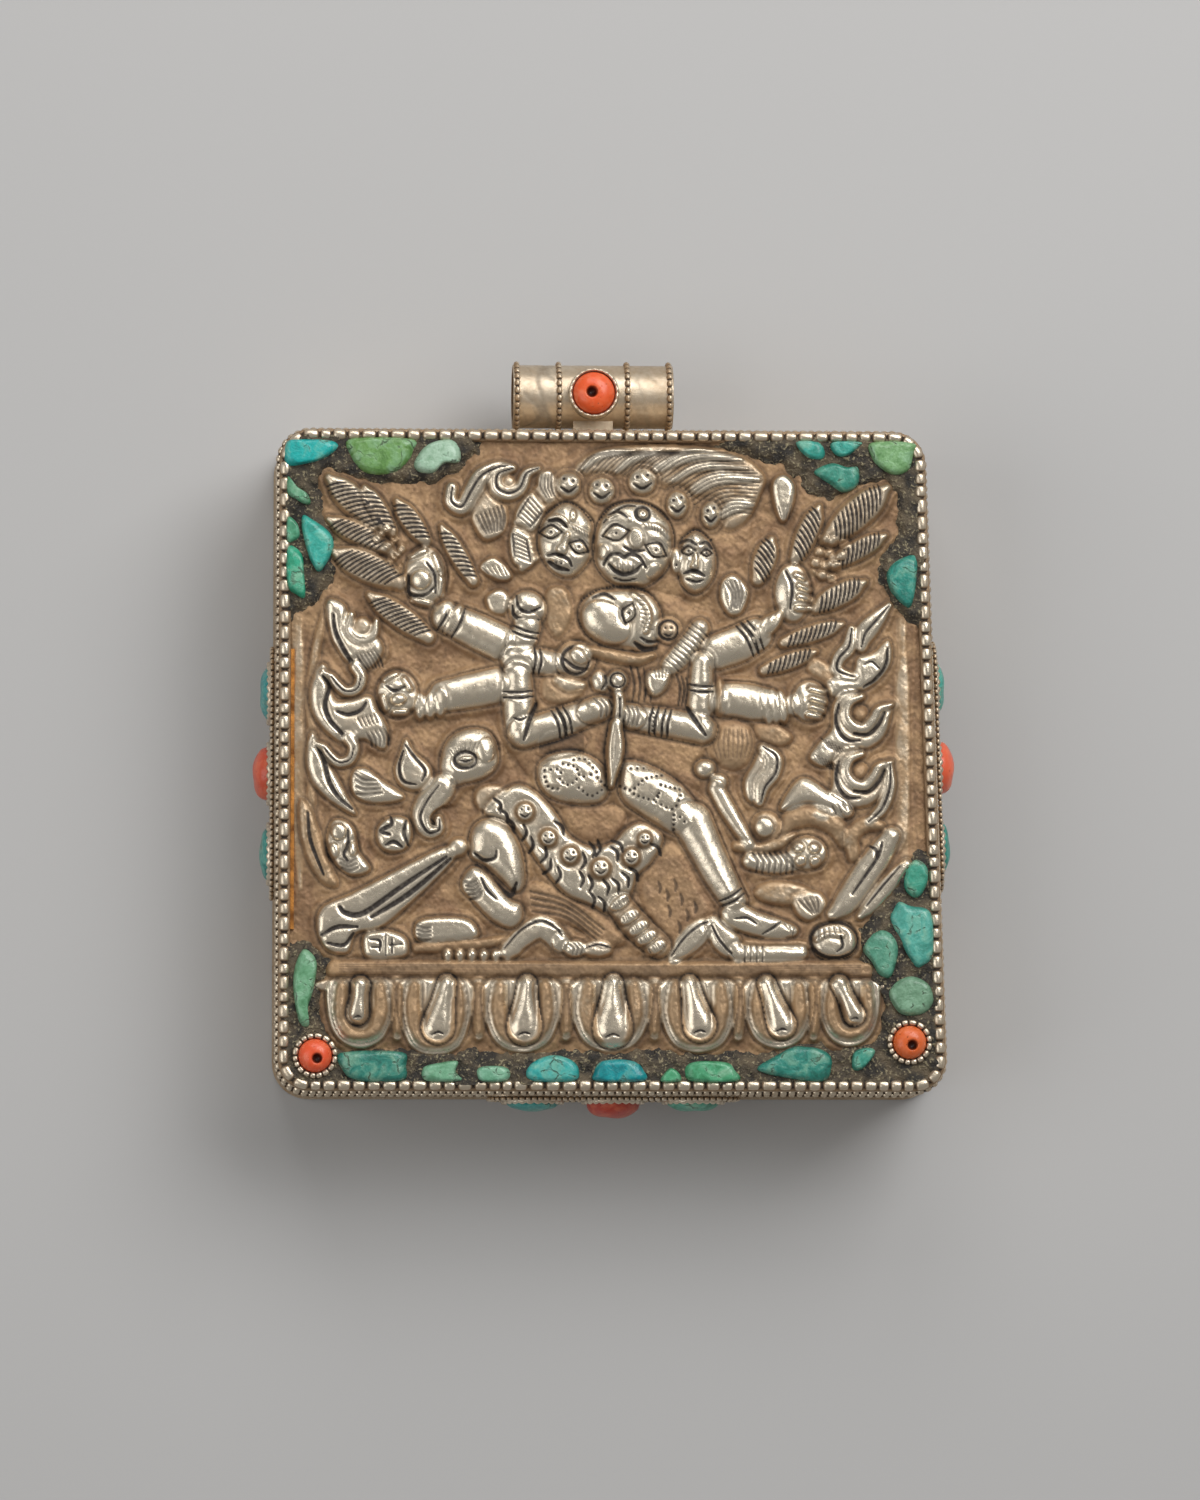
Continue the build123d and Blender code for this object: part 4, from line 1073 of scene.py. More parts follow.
        self.strands([(-25.2, 4.0), (-24.8, 3.2)], [(-23.6, 4.4), (-23.3, 3.6)], 5, 0.16, 0.18)
        self.strands([(-24.4, 2.6), (-23.9, 1.8), (-23.8, 1.2)], [(-22.6, 3.0), (-22.2, 2.2), (-22.2, 1.4)],
                     5, 0.15, 0.18)
        s.patch([(-29.8, 2.6), (-30.3, 0.6), (-30.1, -1.4), (-29.2, -3.0), (-27.6, -4.4), (-25.4, -5.6),
                 (-26.2, -4.0), (-27.0, -2.4), (-27.9, -0.9), (-28.8, 0.9)], 1.1, 0.85, 0.9, 0.25)
        s.chase([(-29.4, 1.6), (-28.6, -0.2), (-28.1, -2.2), (-27.2, -3.8), (-25.8, -5.0)], 0.26, 0.26)
        for high in (0.0, -7.1):
            tail = np.array([(-25.5, 9.2), (-24.9, 8.2), (-25.3, 7.0), (-26.4, 6.7), (-27.3, 7.4),
                             (-27.9, 8.2), (-28.7, 8.6)])
            shift = np.array([0.0 if high == 0 else -0.7, high])
            s.bar(tail + shift, [0.5, 0.5, 0.45, 0.42, 0.4, 0.32, 0.2], 1.2, 0.95, ditch=0.25)
            s.chase(tail[1:-1] + shift, 0.13, 0.16)
        s.patch([(-31.0, -4.2), (-30.0, -4.8), (-29.0, -7.4), (-28.0, -10.4), (-27.2, -12.6),
                 (-28.6, -12.4), (-30.0, -10.4), (-30.9, -7.4)], 0.85, 0.45, 0.9, 0.2)
        s.chase([(-30.2, -5.4), (-29.9, -8.2), (-28.6, -11.6)], 0.2, 0.18)
        s.patch([(-25.6, -1.2), (-24.4, -1.0), (-22.8, -2.2), (-20.6, -3.8), (-22.6, -4.4), (-24.8, -4.1),
                 (-25.8, -3.0)], 1.05, 0.9, 0.8, 0.25)
        self.strands([(-25.5, -1.5), (-24.7, -2.1), (-23.4, -2.2)],
                     [(-25.3, -3.5), (-24.4, -3.6), (-22.8, -3.4)], 4, 0.2, 0.22)

    def right_flames(self) -> None:
        """Flames on the right edge: a tongue above, and two hooks that curl round a boss."""
        s = self.sheet
        s.patch([(27.9, 12.1), (28.2, 10.2), (27.2, 8.4), (25.6, 7.2), (24.0, 6.6), (22.2, 6.4),
                 (21.6, 7.6), (22.8, 8.6), (24.4, 9.0), (24.9, 10.4), (26.4, 10.8)], 1.05, 0.9, 0.9, 0.25)
        s.chase([(27.8, 11.2), (27.6, 9.6), (26.6, 8.2), (25.4, 7.4)], 0.22, 0.22)
        s.chase([(25.4, 9.6), (26.2, 9.9), (27.0, 9.2)], 0.14, 0.16)
        self.flame([(28.0, 15.6), (26.8, 14.2), (25.6, 12.8), (25.2, 11.4)], [0.2, 0.6, 0.75, 0.4], 1.05)
        self.flame([(24.2, 13.2), (23.9, 11.4), (22.9, 10.2), (22.8, 9.0), (24.4, 8.4)],
                   [0.25, 0.5, 0.45, 0.4, 0.2], 1.0)
        for high in (0.0, -5.75):
            shift = np.array([0.0, high])
            body = np.array([(22.4, 5.6), (22.2, 3.2), (20.8, 1.6), (20.0, 0.2), (21.4, -0.6), (22.8, 0.2),
                             (24.2, 0.9), (26.2, 1.4), (27.6, 2.8), (28.2, 5.6), (27.0, 4.9), (26.2, 3.6),
                             (25.0, 3.0), (23.8, 3.8), (23.8, 5.4), (24.8, 6.8), (23.4, 6.8)])
            s.patch(body + shift, 1.05, 0.82, 0.8, 0.25)
            s.oval((25.0, 4.5 + high), (0.85, 0.95), 0.9, 0.35, ditch=0.25)
            ring = np.array([(25.2, 6.4), (24.0, 5.8), (23.6, 4.6), (24.2, 3.5), (25.4, 3.2), (26.3, 4.1),
                             (26.9, 5.1), (28.2, 5.6)])
            s.bar(ring + shift, [0.25, 0.35, 0.4, 0.42, 0.42, 0.4, 0.35, 0.15], 1.25, 0.95, ditch=0.25)
            for line in ([(22.9, 5.6), (22.6, 4.2), (22.9, 2.9), (23.8, 2.0), (25.0, 2.0)],
                         [(24.4, 2.7), (25.8, 2.6), (26.9, 3.6), (27.5, 4.8)]):
                s.chase(np.array(line) + shift, 0.22, 0.24)
            drift = np.array([high * 0.12, high * 0.28])
            self.strands(np.array([(21.2, 2.2), (21.8, 1.3)]) + drift,
                         np.array([(23.2, 1.2), (23.6, 0.3)]) + drift, 7, 0.14, 0.16)
        self.flame([(28.0, -0.4), (28.0, -2.6), (27.2, -4.8), (25.8, -6.2)], [0.2, 0.4, 0.4, 0.25], 1.1)
        s.patch([(20.6, 10.2), (22.0, 9.4), (22.2, 7.8), (20.9, 8.2), (19.8, 9.2)], 0.6, 0.5, 0.6)

    def body(self) -> None:
        """The two bodies behind the arms, as one broad swelling with cloth on it."""
        s = self.sheet
        s.patch([(-9.6, 13.0), (-10.6, 9.0), (-10.3, 3.0), (-7.4, -2.0), (0.0, -4.0), (8.0, -3.5),
                 (10.4, 2.0), (10.6, 9.0), (9.4, 14.0), (4.0, 17.2), (-4.0, 17.4)], 0.6, 0.12, 2.4, 0.0)
        s.patch([(-6.4, 8.6), (-3.2, 8.0), (-2.6, 6.6), (-4.6, 5.4), (-6.8, 6.2)], 0.95, 0.45, 0.7)
        s.patch([(-6.0, 17.2), (-4.4, 17.0), (-3.8, 14.4), (-5.2, 12.2), (-6.4, 13.6), (-6.6, 15.8)],
                0.95, 0.45, 0.7)
        s.patch([(-12.4, 16.2), (-11.0, 17.0), (-10.0, 16.0), (-10.6, 14.6), (-11.9, 14.8)], 1.0, 0.85, 0.6)
        self.strands([(2.0, 9.4), (2.4, 7.6), (2.2, 5.8)], [(4.0, 9.0), (4.2, 7.4), (4.0, 5.8)],
                     4, 0.15, 0.14)
        self.strands([(6.6, 8.6), (7.0, 7.2), (6.8, 5.4)], [(7.6, 8.2), (7.8, 7.0), (7.5, 5.4)],
                     3, 0.15, 0.14)

    def heads(self) -> None:
        """Three heads under a crown of skulls."""
        s = self.sheet
        skulls = [((-4.2, 27.5), (1.1, 1.15), 0.1), ((-0.88, 26.95), (1.15, 1.2), 0.05),
                  ((3.2, 27.9), (1.25, 1.2), -0.1), ((6.7, 25.6), (0.95, 1.2), -0.15),
                  ((10.05, 24.6), (0.8, 1.15), -0.15)]
        for (x, y), (across, up), tilt in skulls:
            s.oval((x, y), (across + 0.45, up + 0.45), 1.05, 0.35, ditch=0.2)
            s.oval((x, y), (across, up), 1.6, 1.0, ditch=0.25)
            s.punch([(x - 0.42 * across, y + 0.45 * up + tilt), (x + 0.42 * across, y + 0.45 * up - tilt)],
                    0.24, 0.3)
            s.chase([(x - 0.72 * across, y - 0.2 * up), (x, y - 0.6 * up),
                     (x + 0.72 * across, y - 0.15 * up)], 0.18, 0.22)
        s.patch([(-4.27, 25.7), (-2.15, 24.2), (-1.8, 22.6), (-2.1, 20.3), (-3.8, 18.4), (-5.7, 18.9),
                 (-7.0, 20.9), (-7.0, 22.9), (-6.1, 24.6)], 1.8, 1.0, shoulder=2.0, ditch=0.35)
        s.bar([(-6.2, 24.2), (-5.2, 24.3), (-4.4, 23.6)], 0.26, 0.2, 1.0, on_top=True)
        s.chase([(-6.2, 23.9), (-5.2, 23.9), (-4.4, 23.2)], 0.24, 0.24)
        s.bar([(-3.9, 23.3), (-3.2, 22.9), (-2.3, 22.5)], 0.26, 0.2, 1.0, on_top=True)
        self.strands([(-3.9, 23.4), (-3.7, 22.9)], [(-2.4, 22.8), (-2.3, 22.3)], 6, 0.11, 0.12)
        self.eye((-6.0, 22.7), 0.95)
        self.eye((-3.2, 21.2), 0.92, -20)
        s.oval((-3.75, 24.45), (0.36, 0.66), 0.14, 1.0, on_top=True, ditch=0.28)
        s.punch([(-3.75, 24.45)], 0.13, 0.18)
        s.bar([(-4.35, 22.5), (-4.6, 21.6), (-4.9, 21.0)], [0.3, 0.4, 0.6],
              0.42, 1.0, on_top=True, ditch=0.24)
        s.chase([(-6.3, 20.4), (-5.4, 20.5), (-4.3, 20.0), (-3.9, 19.3)], 0.22, 0.24)
        s.chase([(-6.2, 19.8), (-5.3, 19.2), (-4.2, 18.9)], 0.26, 0.26)
        s.punch([(-5.95, 19.75), (-5.45, 19.7), (-4.95, 19.6)], 0.15, 0.2)
        s.punch_row([(-6.4, 24.7), (-5.2, 25.6), (-4.1, 25.8), (-2.9, 25.1), (-2.0, 24.0)], 0.34, 0.15)
        s.patch([(8.7, 22.9), (10.0, 21.6), (10.5, 19.8), (10.0, 17.9), (8.6, 16.8), (7.3, 17.7),
                 (6.9, 20.0), (7.4, 22.0)], 1.65, 1.0, shoulder=1.5, ditch=0.35)
        self.eye((7.8, 20.9), 0.62)
        self.eye((9.6, 20.7), 0.5)
        s.chase([(7.0, 21.8), (7.8, 22.0), (8.6, 21.5)], 0.2, 0.22)
        s.chase([(8.9, 21.6), (9.6, 21.8), (10.2, 21.2)], 0.2, 0.22)
        s.bar([(8.5, 20.7), (8.5, 19.9), (8.4, 19.4)], [0.22, 0.3, 0.45],
              0.35, 1.0, on_top=True, ditch=0.24)
        s.chase([(7.4, 18.7), (8.4, 18.9), (9.4, 18.4)], 0.24, 0.26)
        s.chase([(7.6, 18.1), (8.5, 17.8), (9.3, 18.0)], 0.18, 0.2)
        s.punch_row([(7.2, 22.3), (8.6, 23.1), (10.1, 22.1)], 0.36, 0.14)
        s.patch([(2.5, 25.8), (0.6, 25.5), (-0.7, 24.4), (-1.5, 22.0), (-1.3, 19.6), (0.1, 17.9),
                 (1.9, 17.4), (3.7, 17.6), (5.5, 19.2), (6.2, 21.6), (5.8, 23.7), (4.4, 25.2)],
                2.15, 1.0, shoulder=2.6, ditch=0.4)
        s.punch_row([(-1.1, 24.1), (0.0, 25.3), (1.4, 25.9), (2.9, 25.9), (4.5, 25.3), (5.7, 24.2)],
                    0.34, 0.16)
        s.chase([(-0.7, 23.7), (0.2, 24.7), (1.5, 25.4), (2.5, 25.4)], 0.16, 0.16)
        s.bar([(-0.2, 24.3), (0.8, 24.6), (1.8, 24.0)], 0.3, 0.22, 1.0, on_top=True)
        s.chase([(-0.2, 24.5), (0.7, 24.8), (1.6, 24.2)], 0.2, 0.2)
        s.bar([(3.5, 23.4), (4.8, 23.2), (5.9, 22.3)], 0.34, 0.24, 1.0, on_top=True)
        self.strands([(3.7, 23.7), (3.8, 23.1)], [(5.7, 22.8), (5.6, 22.2)], 7, 0.11, 0.12)
        self.ring((3.2, 24.6), 0.7, 0.22, 0.26)
        s.oval((3.2, 24.6), (0.46, 0.46), 0.22, 1.0, on_top=True, ditch=0.12)
        s.punch([(3.2, 24.6)], 0.15, 0.2)
        self.eye((0.5, 22.6), 1.15, 10)
        self.eye((4.5, 20.9), 1.02, -25)
        s.oval((2.5, 22.1), (0.75, 1.0), 0.5, 1.0, 10, on_top=True, ditch=0.28)
        s.chase([(1.3, 21.2), (2.3, 20.8), (3.3, 20.9)], 0.2, 0.22)
        s.chase([(-0.7, 19.5), (-0.1, 20.4), (0.8, 20.5), (1.3, 20.2), (1.9, 20.5), (2.8, 20.2),
                 (3.5, 19.2)], 0.24, 0.26)
        s.chase([(-0.2, 19.5), (0.5, 18.8), (1.4, 18.5), (2.4, 18.8), (3.0, 19.4)], 0.26, 0.28)
        s.chase([(0.3, 18.2), (1.4, 17.9), (2.6, 18.1)], 0.14, 0.16)
        s.oval((1.3, 19.3), (1.0, 0.5), 0.25, 1.0, on_top=True, ditch=0.1)
        self.strands([(0.6, 19.8), (0.7, 18.9)], [(2.2, 19.7), (2.2, 18.8)], 4, 0.12, 0.14)
        s.oval((4.4, 18.8), (0.95, 0.75), 0.25, 1.0, 30, on_top=True, ditch=0.14)
        s.oval((-0.8, 20.8), (0.55, 0.8), 0.18, 1.0, on_top=True)
        s.oval((6.6, 20.0), (0.5, 1.1), 1.25, 0.9)
        s.punch([(6.6, 19.5)], 0.2, 0.25)

    def upper_arms(self) -> None:
        """Four arms spread to the sides, with bands at the wrists and hands at two of them."""
        s = self.sheet
        self.arm([(-16.4, 14.2), (-13.6, 12.9), (-10.9, 11.6)], [1.45, 1.7, 1.75], 1.5, [0.04, 0.2])
        s.oval((-16.6, 14.6), (0.9, 1.3), 1.25, 0.9, -30)
        s.oval((-15.7, 14.0), (0.6, 1.4), 1.45, 1.0, -30)
        self.arm([(-16.6, 6.3), (-13.6, 6.9), (-10.8, 7.5)], [1.5, 1.7, 1.75], 1.5)
        for x, y in [(-19.0, 5.3), (-18.0, 5.4), (-17.0, 5.6)]:
            s.oval((x, y), (0.55, 1.15), 1.25, 0.95)
        self.fist((-21.3, 6.5), (1.95, 2.2), 1.15,
                  [((-22.6, 7.9), (-21.4, 8.6)), ((-20.6, 8.0), (-20.0, 7.0)), ((-22.8, 6.2), (-22.4, 5.0)),
                   ((-21.6, 4.6), (-20.4, 4.6))])
        s.oval((-21.2, 5.9), (0.85, 0.6), 0.4, 1.0, 10, on_top=True, ditch=0.3)
        s.chase([(-22.4, 7.3), (-21.6, 6.8), (-20.6, 7.2)], 0.2, 0.22)
        self.arm([(10.6, 10.8), (12.8, 11.6), (14.6, 12.6)], [1.7, 1.75, 1.6], 1.5, [0.72, 0.95])
        for k in range(3):
            s.oval((15.0 + 0.75 * k, 13.0 + 0.42 * k), (0.5, 1.45 - 0.1 * k), 1.4, 0.95, -30)
        self.arm([(11.0, 6.1), (13.4, 5.9), (15.6, 5.6)], [1.6, 1.75, 1.6], 1.5)
        s.oval((10.9, 6.3), (0.55, 1.6), 1.5, 0.4)
        for k in range(3):
            s.oval((15.7 + 0.75 * k, 5.4), (0.5, 1.5 - 0.06 * k), 1.4, 0.95, 8)
        s.oval((18.4, 5.6), (0.9, 1.1), 1.2, 0.95)
        self.fist((20.0, 5.9), (1.7, 1.95), 1.25,
                  [((20.0, 7.2), (21.4, 6.9)), ((20.1, 6.2), (21.6, 5.8)), ((20.1, 5.3), (21.4, 4.9)),
                   ((19.8, 4.5), (21.0, 4.3))])

    def consort(self) -> None:
        """The consort's head thrown back, one raised hand, a wheel and beads."""
        s = self.sheet
        s.patch([(-3.0, 15.0), (-2.5, 13.0), (-0.8, 11.7), (1.6, 11.2), (4.2, 11.3), (5.0, 13.4),
                 (4.6, 15.6), (2.8, 17.0), (0.2, 16.9), (-1.8, 16.6)], 1.55, 0.9, 2.2, 0.35)
        s.oval((-0.5, 13.7), (2.7, 2.0), 0.35, 1.0, -35, on_top=True, ditch=0.2)
        self.eye((1.85, 14.6), 0.95, 70)
        s.bar([(2.2, 16.6), (3.4, 15.6), (3.9, 14.2), (3.5, 12.8)], 0.32, 0.3, 1.0, on_top=True, ditch=0.2)
        self.strands([(2.8, 16.4), (3.4, 16.4)], [(3.2, 13.2), (4.2, 13.0)], 8, 0.11, 0.12)
        s.chase([(2.4, 11.7), (3.4, 11.1), (4.6, 11.2)], 0.28, 0.28)
        s.chase([(3.0, 12.2), (3.8, 11.8), (4.7, 11.9)], 0.22, 0.24)
        s.chase([(-1.8, 16.2), (-0.6, 16.6), (0.4, 16.0)], 0.2, 0.2)
        s.punch_row([(-2.9, 16.0), (-1.0, 17.1), (1.6, 17.4), (3.8, 16.8)], 0.36, 0.15)
        s.oval((5.8, 13.0), (1.25, 1.25), 1.05, 0.6, ditch=0.25)
        self.ring((5.8, 13.0), 0.95, 0.16, 0.18)
        s.punch([(5.5, 13.2), (6.1, 13.2)], 0.16, 0.2)
        s.chase([(5.4, 12.6), (5.8, 12.4), (6.2, 12.6)], 0.15, 0.16)
        s.oval((-8.3, 15.0), (1.75, 1.8), 1.35, 1.0, ditch=0.3)
        s.chase([(-9.4, 16.4), (-9.2, 15.2), (-8.2, 14.7), (-7.0, 15.2)], 0.2, 0.22)
        s.chase([(-9.8, 15.4), (-9.6, 14.4), (-8.4, 13.8), (-7.2, 14.0)], 0.2, 0.22)
        self.arm([(-8.3, 13.4), (-8.9, 11.4), (-9.3, 9.6)], [1.25, 1.3, 1.4], 1.3, [0.15])
        self.arm([(-9.6, 9.9), (-7.4, 9.8), (-5.2, 9.6)], [1.3, 1.25, 1.05], 1.4, [0.5])
        s.oval((-3.5, 9.9), (1.85, 1.85), 1.35, 0.7, ditch=0.3)
        self.ring((-3.5, 9.9), 1.35, 0.2, 0.22)
        s.oval((-2.9, 10.6), (1.15, 1.1), 0.4, 1.0, on_top=True, ditch=0.25)
        s.chase([(-4.6, 10.0), (-3.6, 9.2), (-2.4, 9.0)], 0.22, 0.24)
        s.bar([(-2.0, 10.9), (0.2, 10.4), (2.6, 10.0), (4.2, 10.4)], [0.4, 0.55, 0.5, 0.3],
              1.1, 0.45, ditch=0.2)
        s.bar([(6.0, 9.4), (7.6, 11.0), (9.0, 13.2)], [0.9, 1.15, 0.9], 1.3, 0.9, ditch=0.25)
        self.strands([(5.6, 10.0), (6.8, 8.9)], [(8.2, 13.6), (9.7, 12.4)], 10, 0.17, 0.18)
        s.patch([(3.7, 8.6), (5.0, 9.0), (5.9, 8.4), (5.4, 7.0), (4.4, 6.4), (3.7, 7.2)],
                1.3, 1.0, 0.7, 0.25)
        self.strands([(4.4, 9.0), (4.5, 8.2)], [(5.6, 9.0), (5.5, 8.2)], 4, 0.14, 0.16)
        s.oval((-1.0, 7.7), (0.85, 1.1), 1.3, 0.95, 20, ditch=0.25)
        s.chase([(-0.6, 8.4), (-0.4, 7.8), (-0.9, 7.0)], 0.18, 0.2)
        s.bar([(-5.2, 7.9), (-4.2, 7.4), (-2.8, 7.4)], [0.5, 0.6, 0.4], 1.1, 0.7)

    def elephant(self) -> None:
        """The elephant hide at the left: head, trunk and a drop-shaped ear."""
        s = self.sheet
        s.patch([(-16.6, 1.0), (-15.6, 2.4), (-13.8, 3.0), (-12.2, 2.6), (-11.4, 1.2), (-11.4, -0.6),
                 (-12.6, -1.8), (-14.4, -2.3), (-16.2, -2.6), (-16.9, -1.0)], 1.55, 1.0, 1.7, 0.35)
        s.oval((-12.4, 0.9), (1.0, 1.3), 0.25, 1.0, -10, on_top=True)
        self.ring((-14.5, -0.15), 1.1, 0.2, 0.22, 0.75)
        s.oval((-14.5, -0.2), (0.8, 0.45), 0.22, 1.0, 10, on_top=True, ditch=0.25)
        s.chase([(-15.1, -0.15), (-14.5, -0.3), (-13.8, -0.1)], 0.14, 0.16)
        self.strands([(-15.7, 0.4), (-16.0, 0.9)], [(-13.8, 0.8), (-13.5, 1.5)], 6, 0.12, 0.14)
        self.flame([(-16.9, -2.9), (-18.0, -4.4), (-18.7, -5.9), (-18.1, -7.2), (-17.2, -7.0),
                    (-17.2, -6.0)], [1.0, 1.05, 0.85, 0.55, 0.4, 0.25], 1.4, -0.25, 1.0)
        self.strands([(-18.0, -6.0), (-17.5, -6.4)], [(-17.8, -7.2), (-17.1, -7.2)], 4, 0.13, 0.16)
        s.patch([(-20.4, 2.0), (-19.6, 0.6), (-18.2, -0.6), (-17.9, -2.0), (-19.2, -3.1), (-20.8, -2.7),
                 (-21.5, -1.2), (-21.0, 0.4)], 1.05, 0.85, 1.0, 0.25)
        s.chase([(-20.5, 1.4), (-19.4, 0.0), (-18.5, -1.2), (-18.8, -2.2)], 0.18, 0.2)
        s.chase([(-20.7, 0.8), (-21.1, -0.8), (-20.7, -2.2), (-19.4, -2.6)], 0.18, 0.2)
        s.patch([(-13.2, -3.0), (-11.6, -2.6), (-10.0, -3.2), (-10.4, -5.0), (-12.2, -5.6), (-13.4, -4.4)],
                0.8, 0.6, 0.8)

    def right_drapery(self) -> None:
        """Cloth, scrolls, an arch and a tail to the right of the legs."""
        s = self.sheet
        s.oval((12.2, 1.5), (2.4, 2.5), 1.0, 0.4, ditch=0.2)
        self.strands([(10.6, 3.0), (10.3, 1.6), (10.7, 0.2)], [(14.0, 3.0), (14.2, 1.6), (13.8, 0.2)],
                     9, 0.1, 0.08, 0.4)
        s.patch([(14.6, 3.4), (17.0, 3.4), (18.2, 2.2), (16.8, 1.4), (15.2, 1.8)], 0.7, 0.4, 0.7)
        s.patch([(15.2, 1.2), (16.4, 0.6), (16.9, -0.8), (16.0, -2.4), (15.2, -4.2), (13.8, -4.0),
                 (13.4, -2.2), (14.2, -0.6)], 1.1, 0.85, 0.8, 0.25)
        self.flame([(15.2, 1.2), (16.3, 0.2), (16.2, -1.2), (15.2, -2.6), (14.9, -4.2)],
                   [0.3, 0.6, 0.6, 0.55, 0.3], 1.25, 0.4, 1.0)
        s.oval((9.5, -0.9), (0.95, 0.85), 1.3, 0.95, ditch=0.3)
        s.oval((10.8, -2.3), (0.85, 0.85), 1.3, 0.95, ditch=0.25)
        s.bar([(10.6, -2.9), (12.0, -5.4), (13.9, -8.4)], [0.75, 0.75, 0.55], 1.25, 1.0, ditch=0.25)
        s.patch([(17.0, -4.8), (18.3, -2.5), (19.6, -1.8), (21.6, -3.0), (24.2, -4.8), (23.6, -5.8),
                 (21.4, -5.0), (19.8, -4.4), (18.2, -5.0)], 1.3, 1.0, 1.1, 0.3)
        self.strands([(22.2, -4.6), (22.6, -5.4)], [(23.8, -4.2), (24.2, -4.9)], 4, 0.15, 0.18)
        s.bar([(16.6, -7.6), (18.4, -5.9), (20.6, -5.6), (22.6, -6.6), (23.6, -8.2)],
              [0.7, 0.95, 1.0, 0.95, 0.7], 0.95, 0.4, ditch=0.2)
        s.bar([(24.4, -9.6), (24.2, -7.6), (25.6, -6.4), (27.2, -6.6)], [0.6, 0.7, 0.7, 0.4],
              0.9, 0.4, ditch=0.2)
        s.oval((15.6, -6.6), (1.4, 1.4), 1.1, 0.6, ditch=0.25)
        s.oval((15.4, -6.7), (1.0, 1.0), 0.3, 1.0, on_top=True, ditch=0.2)
        s.bar([(12.6, -8.6), (14.6, -9.0), (16.8, -8.4), (18.4, -7.6)], [0.4, 0.55, 0.5, 0.3], 0.9, 0.5)
        s.bar([(14.0, -10.1), (16.4, -10.4), (18.6, -10.0)], [0.75, 0.95, 1.0], 1.15, 0.95, ditch=0.25)
        self.strands([(14.2, -9.3), (14.7, -10.2), (14.6, -11.2)],
                     [(17.6, -9.2), (18.2, -10.2), (18.2, -11.4)], 7, 0.17, 0.2)
        s.oval((19.7, -9.3), (1.85, 1.6), 1.25, 0.9, ditch=0.3)
        for x, y in [(18.8, -8.7), (20.4, -8.8), (19.0, -10.1), (20.5, -10.2)]:
            s.oval((x, y), (0.62, 0.6), 0.3, 1.0, on_top=True, ditch=0.25)
        s.patch([(16.0, -12.2), (18.6, -12.4), (20.6, -13.4), (18.8, -14.4), (15.8, -14.2), (14.4, -13.2)],
                0.8, 0.5, 0.8)
        s.patch([(18.4, -13.6), (20.8, -13.2), (21.6, -14.6), (20.0, -16.0), (18.6, -15.2)], 0.9, 0.75, 0.7)
        self.strands([(18.8, -14.0), (19.4, -14.6), (20.2, -15.4)],
                     [(20.6, -13.8), (20.8, -14.4), (20.8, -15.2)], 4, 0.15, 0.15)
        s.bar([(28.2, -7.6), (26.2, -10.6), (24.0, -13.8), (22.4, -15.4)], [0.9, 1.35, 1.3, 0.7],
              1.2, 0.95, ditch=0.25)
        s.chase([(27.2, -8.2), (26.8, -9.6), (25.6, -11.4), (24.2, -13.4)], 0.2, 0.22)
        s.chase([(26.0, -8.6), (26.6, -9.0), (26.6, -9.8)], 0.19, 0.2)
        s.bar([(29.7, -10.4), (28.0, -12.2), (26.2, -14.4), (25.0, -15.6)], [0.5, 0.75, 0.7, 0.35],
              1.1, 0.9, ditch=0.2)
        s.chase([(29.0, -10.6), (27.4, -12.4), (25.6, -14.6)], 0.16, 0.18)

    def forearms_and_dagger(self) -> None:
        """The arms in front of the body and the dagger between the hands."""
        s = self.sheet
        self.arm([(-9.3, 8.4), (-9.2, 5.6), (-8.9, 2.9)], [1.35, 1.5, 1.5], 1.6, [0.32])
        self.arm([(-8.7, 2.6), (-5.2, 3.6), (-1.2, 5.1)], [1.45, 1.4, 1.2], 1.75, [0.48, 0.62])
        s.chase([(-7.4, 5.6), (-8.0, 4.2), (-8.7, 1.9)], 0.26, 0.28)
        s.chase([(-9.7, 4.1), (-9.0, 3.9), (-8.4, 4.2)], 0.16, 0.16)
        s.oval((-1.4, 5.0), (1.8, 1.25), 1.85, 1.0, 15, ditch=0.3)
        self.strands([(-1.7, 6.1), (-1.0, 5.2), (-1.0, 4.2)], [(-0.2, 6.0), (0.2, 5.2), (0.1, 4.4)],
                     3, 0.15, 0.18)
        self.arm([(9.2, 9.8), (9.1, 7.2), (8.8, 3.8)], [1.0, 1.15, 1.25], 1.55, [0.5])
        self.arm([(9.2, 3.0), (6.2, 3.6), (2.4, 4.2)], [1.35, 1.35, 1.2], 1.7, [0.55, 0.72])
        s.chase([(7.7, 5.2), (8.4, 4.0), (9.5, 2.4)], 0.26, 0.28)
        s.punch_row([(4.3, 4.6), (4.2, 2.9)], 0.4, 0.16)
        s.oval((2.0, 4.3), (1.4, 1.25), 1.85, 1.0, ditch=0.3)
        self.strands([(1.2, 5.3), (1.4, 4.4), (1.2, 3.5)], [(2.6, 5.3), (2.8, 4.4), (2.6, 3.4)],
                     4, 0.15, 0.18)
        s.bar([(0.7, 6.9), (0.9, 5.4), (0.6, 3.2)], [0.45, 0.5, 0.5], 2.0, 0.9)
        s.chase([(0.9, 6.0), (0.9, 4.2)], 0.24, 0.28)
        s.bar([(0.5, 3.4), (0.45, 0.8), (0.05, -2.7)], [0.5, 0.8, 0.15],
              2.15, 1.0, shoulder=0.5, ditch=0.35)
        s.chase([(0.5, 2.8), (0.4, 0.2), (0.1, -2.0)], 0.1, 0.1, 0.6)
        s.oval((0.7, 7.9), (0.95, 0.95), 1.8, 1.0, ditch=0.3)
        self.ring((0.7, 7.9), 0.72, 0.15, 0.16)
